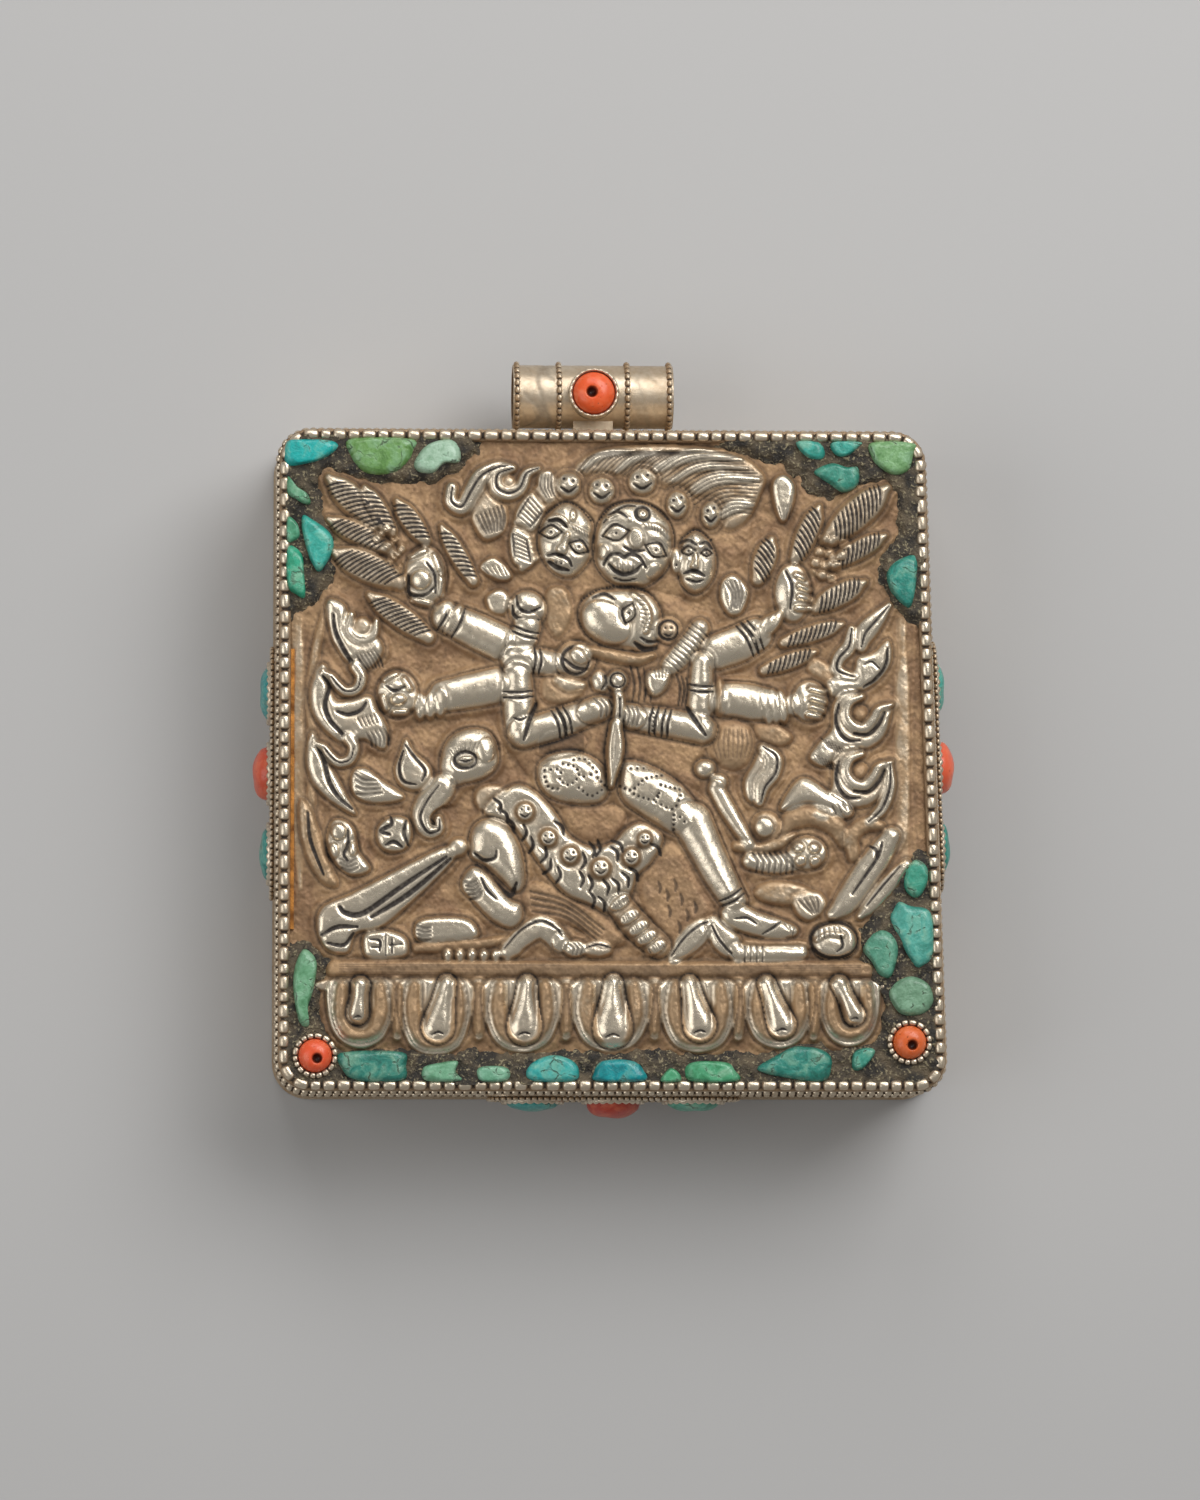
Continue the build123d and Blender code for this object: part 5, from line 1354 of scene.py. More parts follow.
        s.patch([(-6.4, 2.4), (-3.4, 2.6), (-2.6, 1.4), (-5.0, 0.5), (-7.2, 0.6)], 0.3, 0.0, 0.5)
        # painted shade: the low gap between the forearm at the left and the thigh darkened
        s.soot_and_shade[s.window(np.array([(-7.0, 0.6), (-2.8, 2.4)]), 0.0)] += 0.35

    def thighs(self) -> None:
        """Two thighs punched with chains of dots."""
        s = self.sheet
        s.patch([(-7.1, -0.6), (-5.6, 0.5), (-3.0, 0.6), (-0.9, -0.6), (-0.2, -2.6), (-0.9, -4.1),
                 (-3.0, -4.4), (-5.6, -3.9), (-7.0, -2.6)], 1.75, 1.0, 1.9, 0.35)
        s.patch([(0.9, -0.7), (2.4, -0.2), (5.0, -1.2), (7.4, -3.0), (9.2, -5.6), (8.6, -7.6), (6.4, -7.4),
                 (3.4, -5.6), (1.2, -3.8)], 1.85, 1.0, 2.0, 0.35)
        for chain in [[(-6.6, -1.15), (-5.1, -1.1), (-5.1, -2.0)],
                      [(-6.6, -1.8), (-6.2, -2.8), (-5.3, -3.0)],
                      [(-4.8, -2.4), (-4.1, -2.6), (-3.2, -1.7), (-3.6, -0.8), (-4.8, -0.5)],
                      [(-3.7, -0.1), (-2.6, 0.0), (-1.4, -1.3)], [(-2.7, -1.8), (-2.0, -1.6)],
                      [(-1.3, -1.9), (-0.6, -2.6)], [(-3.2, -2.9), (-2.0, -3.7), (-0.9, -3.1)],
                      [(2.0, -0.95), (3.3, -0.9)], [(0.95, -2.7), (2.1, -3.1), (3.4, -2.0), (5.1, -1.6)],
                      [(5.0, -2.6), (6.9, -3.0)], [(4.8, -3.4), (4.6, -3.7)],
                      [(2.3, -3.5), (2.7, -3.7), (4.1, -4.1), (4.7, -3.8)],
                      [(4.5, -4.3), (6.2, -5.0), (7.0, -3.6)], [(6.3, -5.6), (6.3, -7.0)],
                      [(6.9, -5.8), (7.8, -6.7)]]:
            s.punch_row(chain, 0.55, 0.2)

    def skirt(self) -> None:
        """A band of small faces with locks of hair, and the cloth behind it."""
        s = self.sheet
        s.patch([(2.8, -10.0), (6.2, -8.2), (9.0, -12.4), (10.2, -15.4), (8.0, -19.0), (5.8, -19.2),
                 (3.4, -15.0)], 0.6, 0.25, 1.2)
        for x, y in [(5.6, -13.0), (6.4, -12.0), (7.0, -13.4), (5.8, -14.6), (7.6, -15.0), (6.8, -16.2),
                     (8.4, -14.2), (4.8, -12.2)]:
            s.chase([(x, y), (x + 0.2, y - 0.6), (x + 0.1, y - 1.1)], 0.17, 0.12, 0.6)
        s.patch([(-8.6, -12.4), (-5.0, -13.0), (-1.6, -15.2), (1.6, -18.0), (-1.0, -18.6), (-3.4, -16.6),
                 (-8.4, -15.6)], 0.55, 0.25, 0.9)
        self.strands([(-8.0, -13.2), (-4.4, -14.2), (-0.6, -17.0)],
                     [(-7.8, -15.2), (-4.4, -15.8), (-1.4, -18.0)], 4, 0.16, 0.12, 0.6)
        s.patch([(-4.6, -4.8), (-1.6, -4.6), (1.2, -5.0), (1.0, -7.2), (-1.6, -8.2), (-4.0, -7.0)],
                0.6, 0.15, 1.0)
        s.patch([(-9.4, -2.6), (-7.4, -3.4), (-5.4, -5.6), (-4.2, -7.6), (-2.0, -8.8), (0.2, -8.4),
                 (1.6, -7.0), (3.2, -6.4), (5.2, -7.8), (4.0, -10.2), (2.6, -11.6), (1.8, -14.0),
                 (0.2, -15.4), (-2.0, -14.4), (-4.6, -13.2), (-7.0, -10.4), (-9.4, -7.2), (-12.4, -5.6),
                 (-11.6, -4.0)], 1.2, 0.95, 1.0, 0.3)
        for centre, radius in [((-8.57, -5.3), 0.85), ((-6.24, -7.9), 0.8), ((-4.05, -9.6), 0.82),
                               ((-1.0, -10.9), 0.88), ((2.05, -9.8), 0.82), ((3.4, -8.0), 0.68)]:
            self.small_face(centre, radius)
        locks = [(-11.2, -4.6, 20), (-10.6, -5.6, 30), (-9.9, -6.6, 20), (-8.6, -7.4, -10),
                 (-7.9, -8.6, -10), (-6.6, -9.6, -20), (-6.2, -10.8, -30), (-5.2, -11.6, -10),
                 (-2.9, -12.0, 0), (-2.0, -12.4, 0), (-0.4, -12.8, 10), (0.6, -12.6, 20), (1.6, -12.0, 20),
                 (2.4, -11.4, 30), (-1.8, -9.0, 10), (-1.2, -8.9, -10), (0.8, -8.6, 40), (-2.7, -10.2, -10),
                 (4.6, -8.9, 40), (0.5, -9.4, 20), (-5.0, -6.8, 30), (-1.8, -14.0, 10), (-0.8, -14.4, 20)]
        for x, y, turn in locks:
            lean = np.radians(turn)
            across, up = np.array([np.cos(lean), np.sin(lean)]), np.array([-np.sin(lean), np.cos(lean)])
            start = np.array([x, y])
            s.chase([start + 0.8 * up - 0.2 * across, start + 0.2 * across,
                     start - 0.8 * up - 0.1 * across], 0.2, 0.2)

    def legs(self) -> None:
        """The bent left leg, the straight right leg, their feet, and the braid between them."""
        s = self.sheet
        s.patch([(-13.8, -7.2), (-12.4, -6.0), (-10.4, -6.6), (-9.0, -9.0), (-8.6, -12.0), (-9.4, -13.2),
                 (-11.0, -11.8), (-12.6, -10.4), (-13.9, -9.6)], 1.65, 1.0, 1.8, 0.35)
        s.chase([(-13.6, -9.4), (-12.6, -10.1), (-11.6, -9.9), (-11.4, -9.2)], 0.2, 0.22)
        s.chase([(-9.4, -12.4), (-10.0, -13.6), (-11.6, -12.4), (-13.4, -10.6)], 0.3, 0.3)
        s.patch([(-14.4, -11.4), (-13.4, -10.8), (-12.0, -11.8), (-10.2, -14.0), (-9.0, -14.6),
                 (-8.9, -16.0), (-10.0, -16.8), (-11.8, -16.0), (-13.6, -14.2), (-14.8, -12.8)],
                1.3, 0.95, 1.2, 0.3)
        self.strands([(-14.6, -12.2), (-14.0, -12.4), (-13.4, -12.2)],
                     [(-14.0, -14.0), (-13.2, -13.8), (-12.8, -13.2)], 5, 0.18, 0.2)
        s.chase([(-12.9, -11.9), (-12.4, -13.0), (-11.4, -14.0)], 0.18, 0.18)
        self.arm([(8.2, -6.2), (9.4, -8.6), (10.8, -11.4), (12.4, -14.2)], [1.9, 1.7, 1.5, 1.2],
                 1.75, [0.93])
        s.patch([(11.2, -15.0), (12.8, -14.4), (14.6, -15.2), (17.0, -16.0), (18.6, -16.8), (18.2, -17.6),
                 (15.4, -17.7), (12.8, -17.0), (11.4, -16.2)], 1.25, 1.0, 0.9, 0.3)
        s.chase([(12.4, -15.9), (13.6, -15.8), (14.6, -16.4)], 0.16, 0.18)
        s.chase([(15.2, -17.4), (16.2, -16.8), (17.0, -16.2)], 0.18, 0.2)
        self.strands([(17.4, -16.3), (17.8, -17.0)], [(18.4, -16.8), (18.2, -17.5)], 3, 0.14, 0.16)
        s.bar([(1.0, -14.6), (2.6, -16.6), (4.8, -18.6)], [1.15, 1.25, 1.1], 1.1, 0.6, ditch=0.3)
        for x, y in [(1.0, -14.3), (1.9, -15.7), (2.8, -16.8), (3.6, -17.8), (4.5, -18.8)]:
            s.oval((x, y), (1.25, 0.62), 0.3, 1.0, 35, on_top=True, ditch=0.25)
            self.strands([(x - 0.7, y - 0.1), (x - 0.5, y - 0.5)], [(x + 0.6, y + 0.5), (x + 0.8, y + 0.1)],
                         4, 0.12, 0.14)

    def sash(self) -> None:
        """The sash that fans out to the lower left, two faces above it, and a foot below it."""
        s = self.sheet
        s.patch([(-15.2, -9.0), (-16.8, -8.9), (-21.0, -11.0), (-25.6, -13.4), (-28.6, -14.8),
                 (-29.2, -16.8), (-28.2, -19.0), (-26.2, -19.3), (-25.4, -17.4), (-22.6, -16.6),
                 (-19.2, -13.6), (-16.0, -10.4)], 1.15, 0.95, 0.8, 0.3)
        for line in [[(-16.4, -9.8), (-20.6, -12.6), (-24.6, -15.4), (-26.4, -15.4), (-27.0, -14.8)],
                     [(-16.0, -10.0), (-20.0, -13.4), (-23.8, -15.8)]]:
            s.chase(line, 0.32, 0.24)
        s.chase([(-28.8, -17.6), (-27.2, -16.8), (-25.2, -16.8)], 0.26, 0.26)
        s.chase([(-28.2, -18.4), (-26.6, -18.6), (-25.6, -17.4)], 0.24, 0.24)
        s.oval((-15.2, -8.8), (1.0, 0.9), 1.2, 0.7, 30)
        s.patch([(-27.8, -6.4), (-26.6, -6.2), (-25.6, -7.2), (-25.2, -9.2), (-24.0, -11.0), (-25.6, -11.6),
                 (-27.2, -10.6), (-28.2, -8.6)], 1.15, 0.85, 0.8, 0.3)
        s.oval((-27.1, -7.3), (0.8, 0.85), 0.35, 1.0, on_top=True, ditch=0.28)
        s.oval((-27.6, -9.2), (0.55, 0.8), 0.3, 1.0, on_top=True, ditch=0.22)
        s.oval((-25.6, -9.0), (0.5, 0.75), 0.3, 1.0, -10, on_top=True, ditch=0.22)
        s.chase([(-26.2, -7.2), (-26.2, -8.6), (-26.6, -9.6), (-26.2, -10.2)], 0.2, 0.22)
        self.strands([(-27.0, -10.0), (-26.2, -10.4), (-25.4, -10.0)],
                     [(-26.8, -10.9), (-26.0, -11.2), (-25.2, -10.9)], 3, 0.18, 0.2)
        s.patch([(-23.0, -6.6), (-21.6, -5.8), (-20.2, -6.2), (-19.9, -7.8), (-20.6, -9.0), (-22.2, -9.2),
                 (-23.2, -8.2)], 1.15, 0.9, 0.8, 0.3)
        s.chase([(-21.9, -5.9), (-21.9, -6.6), (-22.9, -7.2), (-22.0, -7.6)], 0.26, 0.26)
        s.chase([(-22.4, -8.6), (-21.6, -8.3), (-20.8, -8.8)], 0.24, 0.26)
        s.chase([(-20.4, -6.2), (-20.6, -7.4), (-20.2, -8.6)], 0.22, 0.22)

    def trampled(self) -> None:
        """Feet, hands, faces and bodies under the dancing feet."""
        s = self.sheet
        s.patch([(-19.4, -16.6), (-18.0, -15.9), (-14.4, -16.0), (-13.2, -17.4), (-14.2, -18.0),
                 (-18.8, -18.2)], 1.1, 0.95, 0.7, 0.3)
        self.strands([(-19.3, -16.6), (-18.6, -16.9), (-17.9, -16.8)],
                     [(-19.2, -17.9), (-18.6, -18.1), (-17.9, -18.0)], 4, 0.18, 0.2)
        s.bar([(-19.4, -18.9), (-14.0, -18.6), (-9.0, -17.8)], [0.35, 0.45, 0.3], 0.75, 0.35)
        s.patch([(-24.4, -17.4), (-22.0, -17.2), (-20.4, -18.0), (-20.4, -19.6), (-22.8, -20.0),
                 (-24.4, -19.6)], 1.15, 0.95, 0.7, 0.3)
        for line in [[(-24.0, -18.0), (-23.0, -18.2), (-23.0, -19.2)], [(-22.4, -17.5), (-22.4, -19.6)],
                     [(-22.0, -18.6), (-20.8, -18.5)], [(-23.8, -18.8), (-23.2, -18.8)],
                     [(-21.8, -18.0), (-21.8, -19.4)]]:
            s.chase(line, 0.16, 0.2)
        for x in np.arange(-16.2, -9.6, 1.2):
            s.oval((x, -19.6), (0.36, 0.45), 1.0, 0.95, ditch=0.22)
        s.oval((-9.6, -18.9), (0.85, 0.75), 1.05, 0.9, 20)
        self.flame([(-10.2, -19.2), (-8.6, -17.6), (-7.0, -16.8), (-5.8, -17.4), (-5.0, -18.4)],
                   [0.6, 0.75, 0.8, 0.8, 0.7], 1.1, 0.6, 0.95)
        s.oval((-4.9, -18.3), (0.8, 0.75), 1.2, 1.0, ditch=0.25)
        s.oval((-3.5, -18.9), (1.05, 0.75), 1.1, 1.0, ditch=0.25)
        self.strands([(-4.2, -18.4), (-3.7, -18.9), (-3.8, -19.5)],
                     [(-3.2, -18.3), (-2.8, -18.9), (-3.0, -19.5)], 3, 0.15, 0.18)
        s.oval((-1.3, -18.9), (1.4, 0.85), 1.0, 0.7)
        s.chase([(-2.4, -18.8), (-1.2, -18.5), (0.0, -18.8)], 0.14, 0.14)
        self.flame([(6.4, -19.8), (7.8, -18.2), (9.2, -17.0), (10.2, -16.4)], [0.55, 0.85, 0.8, 0.5],
                   1.1, 0.5, 0.95)
        self.flame([(10.4, -16.4), (11.2, -17.6), (12.0, -18.6), (12.8, -19.6)], [0.6, 0.95, 0.9, 0.55],
                   1.15, -0.4, 0.95)
        s.bar([(12.8, -19.3), (15.8, -19.4), (19.0, -19.3)], [0.85, 0.85, 0.7], 1.1, 0.95, ditch=0.25)
        self.strands([(13.4, -18.4), (13.4, -20.2)], [(15.2, -18.4), (15.2, -20.2)], 4, 0.15, 0.18)
        s.bar([(13.6, -18.3), (17.0, -18.2), (20.0, -18.5)], 0.3, 0.8, 0.35)
        s.patch([(20.2, -17.6), (21.2, -16.6), (23.4, -16.4), (24.4, -17.4), (24.4, -19.0), (22.8, -19.8),
                 (20.8, -19.4)], 1.25, 1.0, 0.9, 0.35)
        self.ring((22.4, -18.0), 2.35, 0.18, 0.18, 0.75)
        s.bar([(20.6, -18.0), (21.8, -17.4), (23.2, -17.6)], 0.28, 0.2, 1.0, on_top=True, ditch=0.2)
        self.strands([(20.8, -17.0), (20.8, -18.0)], [(22.8, -16.6), (23.0, -17.2)], 5, 0.15, 0.18)
        s.chase([(23.0, -17.6), (23.2, -18.6), (22.6, -19.2)], 0.17, 0.2)
        s.bar([(-27.0, -20.4), (0.0, -20.5), (24.8, -20.4)], 0.3, 0.45, 0.3)

    def lotus(self) -> None:
        """The throne: a streaked band and seven petals, each a pale rim, a brown bent roll and a tongue."""
        s = self.sheet
        s.bar([(-27.4, -21.0), (0.0, -21.1), (25.6, -21.0)], 0.8, 0.8, 0.3, shoulder=0.6)
        self.strands([(-27.0, -20.5), (-9.0, -20.6), (9.0, -20.7), (25.0, -20.5)],
                     [(-27.0, -21.5), (-9.0, -21.6), (9.0, -21.6), (25.0, -21.5)], 5, 0.12, 0.07, 0.35)
        petals = [(-24.9, 3.2, -28.8, (-24.9, -22.6), (-25.2, -25.4), 0.95),
                  (-17.45, 3.55, -29.5, (-16.3, -22.4), (-17.2, -26.8), 1.5),
                  (-8.8, 3.75, -29.2, (-8.3, -22.4), (-8.6, -26.8), 1.6),
                  (0.05, 3.85, -29.1, (0.3, -22.3), (0.2, -26.9), 1.85),
                  (8.75, 3.7, -29.2, (7.9, -22.4), (8.9, -26.6), 1.5),
                  (16.8, 3.3, -28.8, (15.6, -22.4), (17.1, -26.5), 1.3),
                  (23.9, 2.9, -28.6, (22.9, -22.4), (24.4, -25.5), 0.9)]
        s.patch([(-26.4, -21.9), (0.0, -22.0), (24.6, -21.9), (24.4, -23.4), (0.0, -23.6), (-26.2, -23.4)],
                0.75, 0.7, 0.4)
        for x in (-21.2, -13.1, -4.4, 4.4, 12.8, 20.3):
            s.bar([(x, -22.7), (x, -25.0), (x, -27.6)], [0.85, 0.85, 0.4], 0.85, 0.7, shoulder=0.3)
            s.bar([(x, -22.9), (x, -25.0), (x, -27.2)], [0.6, 0.6, 0.3], 1.15, 0.3, ditch=0.2)
        for x, half, bottom, top, bulb, radius in petals:
            rim = [(x - 0.93 * half, -22.3), (x - half, -25.2), (x - 0.68 * half, bottom + 1.0),
                   (x, bottom), (x + 0.68 * half, bottom + 1.0), (x + half, -25.2),
                   (x + 0.93 * half, -22.3), (x, -22.1)]
            s.patch(rim, 0.95, 0.92, 0.4, 0.25)
            roll = [(x - 0.6 * half, -22.7), (x - 0.63 * half, -25.2), (x - 0.42 * half, bottom + 1.75),
                    (x, bottom + 1.2), (x + 0.42 * half, bottom + 1.75), (x + 0.63 * half, -25.2),
                    (x + 0.6 * half, -22.7)]
            s.bar(roll, half * np.array([0.18, 0.22, 0.21, 0.18, 0.21, 0.22, 0.18]), 1.25, 0.38, ditch=0.25)
            middle = (0.6 * top[0] + 0.4 * bulb[0], 0.6 * top[1] + 0.4 * bulb[1])
            s.bar([top, middle, (0.15 * top[0] + 0.85 * bulb[0], 0.15 * top[1] + 0.85 * bulb[1]), bulb],
                  [0.8, 0.5 * radius + 0.25, 0.95 * radius, radius],
                  1.6, 1.0, shoulder=0.9 * radius, ditch=0.42)
            s.chase([(bulb[0] - 0.4 * radius, bulb[1] - 0.45 * radius), (bulb[0], bulb[1] - 0.3 * radius),
                     (bulb[0] + 0.35 * radius, bulb[1] - 0.4 * radius)], 0.16, 0.2)

@dataclass
class CaseOutline:
    """The case seen from the front: four straight sides, the right one leaning, and round corners."""

    top_right_reach: float = 31.6
    corner_radius: float = 3.2
    arc_steps: int = 12

    def __post_init__(self) -> None:
        """Take the case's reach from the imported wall."""
        low, high = node_box("case_wall")
        self.left, self.bottom, self.right, self.top = low[0], low[1], high[0], high[1]
        self.base, self.front = low[2], high[2]

    @property
    def corners(self) -> Array:
        """The four corners, clockwise from the top left."""
        return np.array([(self.left, self.top), (self.top_right_reach, self.top),
                         (self.right, self.bottom), (self.left, self.bottom)])

    def loop(self, grow: float = 0.0) -> Array:
        """The outline grown by a width: an arc about each corner's centre, joined by straight lines.

        Args:
            grow: distance outwards, negative for inwards.

        Returns:
            Points clockwise, without the first repeated.
        """
        corners = self.corners
        ahead = np.roll(corners, -1, axis=0) - corners
        ahead /= np.linalg.norm(ahead, axis=1, keepdims=True)
        behind = np.roll(ahead, 1, axis=0)
        outward = np.column_stack([-ahead[:, 1], ahead[:, 0]])
        outward_behind = np.roll(outward, 1, axis=0)
        bisector = outward + outward_behind
        inward = self.corner_radius / (1 + np.sum(outward * outward_behind, axis=1, keepdims=True))
        centres = corners - bisector * inward
        start = np.arctan2(outward_behind[:, 1], outward_behind[:, 0])
        sweep = np.arctan2(np.cross(behind, ahead), np.sum(behind * ahead, axis=1))
        angles = start[:, None] + sweep[:, None] * np.linspace(0, 1, self.arc_steps)
        arcs = np.stack([np.cos(angles), np.sin(angles)], axis=-1) * (self.corner_radius + grow)
        return (centres[:, None] + arcs).reshape(-1, 2)

    def inset(self, x: Array, y: Array) -> Array:
        """Distance of points inside the outline, its round corners too.

        Args:
            x: places across.
            y: places up.

        Returns:
            The distance, negative outside.
        """
        corners = self.corners
        ahead = np.roll(corners, -1, axis=0) - corners
        ahead /= np.linalg.norm(ahead, axis=1, keepdims=True)
        gaps = [(x - cx) * ay - (y - cy) * ax for (cx, cy), (ax, ay) in zip(corners, ahead)]
        radius = self.corner_radius
        short = [np.maximum(radius - gap, 0) for gap in gaps]
        rounded = [radius - np.hypot(one, other) for one, other in zip(short, short[1:] + short[:1])]
        return np.minimum.reduce(gaps + rounded)


@dataclass
class BeadedWire:
    """A wire rolled into beads: a row of squarish beads with dark waists between them."""

    pitch: float
    half_width: float
    half_height: float
    waist: float = 0.55
    squareness: float = 2.6
    unevenness: float = 0.12
    sides: int = 10
    seed: int = 1

    STATIONS = np.array([0.0, 0.06, 0.12, 0.2, 0.35, 0.5, 0.65, 0.8, 0.88, 0.94])
    FEWEST = 8
    LOOK_AHEAD = 0.3
    SIZE_SHARE = 0.6
    CREST = (0.03, 0.2)
    SIDE_POLISH, TOP_POLISH = 0.6, 0.3

    def along(self, path: Array, up: Array) -> Surface:
        """Carry an oval section along a closed path.

        Across a bead the section swells as (1 - |2t - 1|^n)^(1/n), and not below the waist.

        Args:
            path: points of the closed path, in space.
            up: unit normal of the plane that the path lies in.

        Returns:
            The wire, closed on itself.
        """
        rng = np.random.default_rng(self.seed)
        line, run = even_steps(path, True)
        count = max(self.FEWEST, round(run[-1] / self.pitch))
        lengths = 1 + self.unevenness * rng.uniform(-1, 1, count)
        lengths *= run[-1] / lengths.sum()
        starts = np.cumsum(lengths) - lengths
        places = (starts[:, None] + lengths[:, None] * self.STATIONS).ravel()
        swell = (1 - np.abs(2 * self.STATIONS - 1) ** self.squareness) ** (1 / self.squareness)
        size = 1 - self.SIZE_SHARE * self.unevenness * rng.random(count)
        scale = (np.maximum(swell, self.waist) * size[:, None]).ravel()
        middle = at_run(line, run, places)
        ahead = at_run(line, run, (places + self.LOOK_AHEAD) % run[-1])
        ahead = ahead - at_run(line, run, (places - self.LOOK_AHEAD) % run[-1])
        ahead /= np.linalg.norm(ahead, axis=1, keepdims=True)
        side = np.cross(ahead, up)
        angle = np.linspace(0, 2 * np.pi, self.sides, endpoint=False)
        across = self.half_width * scale[:, None] * np.cos(angle)
        rise = self.half_height * scale[:, None] * np.sin(angle)
        points = middle[:, None] + across[..., None] * side[:, None] + rise[..., None] * up
        from_waist = np.minimum(self.STATIONS, 1 - self.STATIONS)
        crest = np.tile(smooth_step(*self.CREST, from_waist), count)[:, None]
        polish = np.clip(crest * (self.SIDE_POLISH + self.TOP_POLISH * np.sin(angle)), 0, 1)
        marks = {"polish": polish, "soot_and_shade": (1 - crest) * np.ones(self.sides)}
        return Surface.grid(points, True, True, marks=marks)


@dataclass
class SilverCase:
    """Wall, back pan, rim and wires of the case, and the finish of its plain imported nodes."""

    outline: CaseOutline
    silver: bpy.types.Material
    plain: bpy.types.Material
    gilt: bpy.types.Material
    rim: BeadedWire = field(default_factory=lambda: BeadedWire(1.48, 0.56, 0.5, 0.45, 2.8, 0.2, 12, 4))
    fine: BeadedWire = field(default_factory=lambda: BeadedWire(0.8, 0.38, 0.38, 0.6, 2.2, 0.1, 8, 7))
    rim_inset: float = 0.6
    rim_level: float = 0.58
    wire_gap: float = 0.02

    SEAT = ((-0.02, 0.0), (-0.02, 0.42), (-0.12, 0.5), (-1.08, 0.5), (-1.18, 0.4), (-1.2, 0.0))
    SEAT_POLISH, SEAT_SOOT = 0.45, 0.25
    PLAIN = ("case_wall", "back_plate", "back_skirt", "left_plate", "right_plate", "bottom_plate",
             "bail_foot")

    def build(self) -> None:
        """Make the wires and dress the plain nodes."""
        low, _ = node_box("rim_wire")
        rim_path = self.outline.loop(-self.rim_inset)
        level = np.full(len(rim_path), low[2] + self.rim_level)
        beads = self.rim.along(np.column_stack([rim_path, level]), UP)
        rim = Surface.joined([beads, self.rim_seat(low[2])])
        rim.piece("rim_beads", self.silver, Slot.SILVER, "rim_wire")
        for node in ("wall_wire_upper", "wall_wire_lower"):
            low, high = node_box(node)
            path = self.outline.loop(self.wire_gap)
            level = np.full(len(path), (low[2] + high[2]) / 2)
            wire = self.fine.along(np.column_stack([path, level]), UP)
            wire.piece(node + "_beads", self.silver, Slot.SILVER, node)
        for node in self.PLAIN:
            dress(node, self.plain)
        dress("edge_strip", self.gilt)

    def rim_seat(self, base: float) -> Surface:
        """The flat strip under the beads: a low step profile carried round the outline.

        Args:
            base: height of the strip's foot.

        Returns:
            The strip, closed on itself.
        """
        loops = [np.column_stack([self.outline.loop(grow),
                                  np.full(4 * self.outline.arc_steps, base + rise)]) for grow,
                 rise in self.SEAT]
        points = np.stack(loops, axis=1)
        marks = {"polish": np.full(points.shape[:2], self.SEAT_POLISH),
                 "soot_and_shade": np.full(points.shape[:2], self.SEAT_SOOT)}
        return Surface.grid(points, True, True, marks=marks)


def dress(node: str, material: bpy.types.Material) -> None:
    """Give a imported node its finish.

    Args:
        node: the node's name.
        material: the finish.
    """
    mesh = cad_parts[node].data
    mesh.materials.clear()
    mesh.materials.append(material)


# Inner edges of the mastic beds and outlines of the chips, measured from the corner of their bed or, in
# the bottom row, from the middle of the bottom edge
BED_TOP_LEFT = [
    (20.1, 1.0), (20.1, -2.6), (18.1, -4.1), (16.1, -5.3), (13.1, -5.6), (8.1, -5.4), (4.6, -4.4),
    (4.2, -5.6), (4.5, -7.6), (5.7, -10.6), (5.9, -12.6), (5.7, -14.6), (3.6, -17.6), (-1.0, -20.5),
    (-1.0, 1.0),
]
BED_TOP_RIGHT = [
    (-21.3, 1.0), (-21.1, -1.9), (-14.6, -3.6), (-12.6, -4.6), (-12.1, -6.1), (-10.9, -6.9), (-8.1, -6.7),
    (-6.3, -5.9), (-4.1, -5.3), (-3.3, -6.4), (-2.6, -9.6), (-4.6, -12.6), (-4.6, -15.1), (-3.4, -18.0),
    (3.0, -22.0), (3.0, 1.0),
]
BED_LOWER_LEFT = [
    (-1.0, -1.0), (-1.0, 15.2), (3.6, 14.8), (5.4, 12.8), (4.5, 9.1), (4.5, 7.1), (6.1, 4.4),
]
BED_LOWER_RIGHT = [
    (-17.3, 4.2), (-15.6, 5.0), (-12.8, 5.0), (-11.3, 4.2), (-9.8, 4.9), (-7.2, 5.4), (-6.6, 7.6),
    (-6.8, 9.6), (-8.8, 12.1), (-9.0, 16.1), (-7.3, 19.1), (-4.5, 22.6), (-3.4, 24.2), (2.0, 25.0),
    (2.0, -1.0),
]
CHIPS_TOP_LEFT = [
    [(0.6, -1.5), (1.9, -1.1), (5.1, -1.2), (5.9, -1.9), (4.3, -3.1), (2.6, -3.6), (0.6, -3.7)],
    [
        (7.1, -1.0), (13.3, -1.0), (13.4, -2.2), (12.9, -3.3),
        (11.8, -4.3), (10.1, -4.7), (8.2, -4.3), (6.9, -2.5),
    ],
    [
        (14.7, -1.6), (16.9, -1.0), (18.0, -1.8), (18.0, -3.3),
        (16.5, -3.5), (15.3, -4.5), (13.8, -4.3), (13.4, -3.4),
    ],
    [(0.8, -4.8), (1.8, -5.9), (2.8, -6.6), (3.1, -7.6), (2.1, -7.5), (0.8, -6.6)],
    [
        (2.3, -8.7), (3.1, -9.0), (5.0, -10.4), (5.4, -12.1),
        (4.1, -14.4), (3.2, -13.5), (2.6, -11.8), (2.2, -10.0),
    ],
    [(0.8, -8.9), (1.8, -9.6), (2.0, -11.0), (0.8, -11.4)],
    [(0.8, -11.9), (2.2, -12.5), (2.5, -14.6), (2.6, -17.0), (1.8, -16.8), (0.8, -15.7)],
]
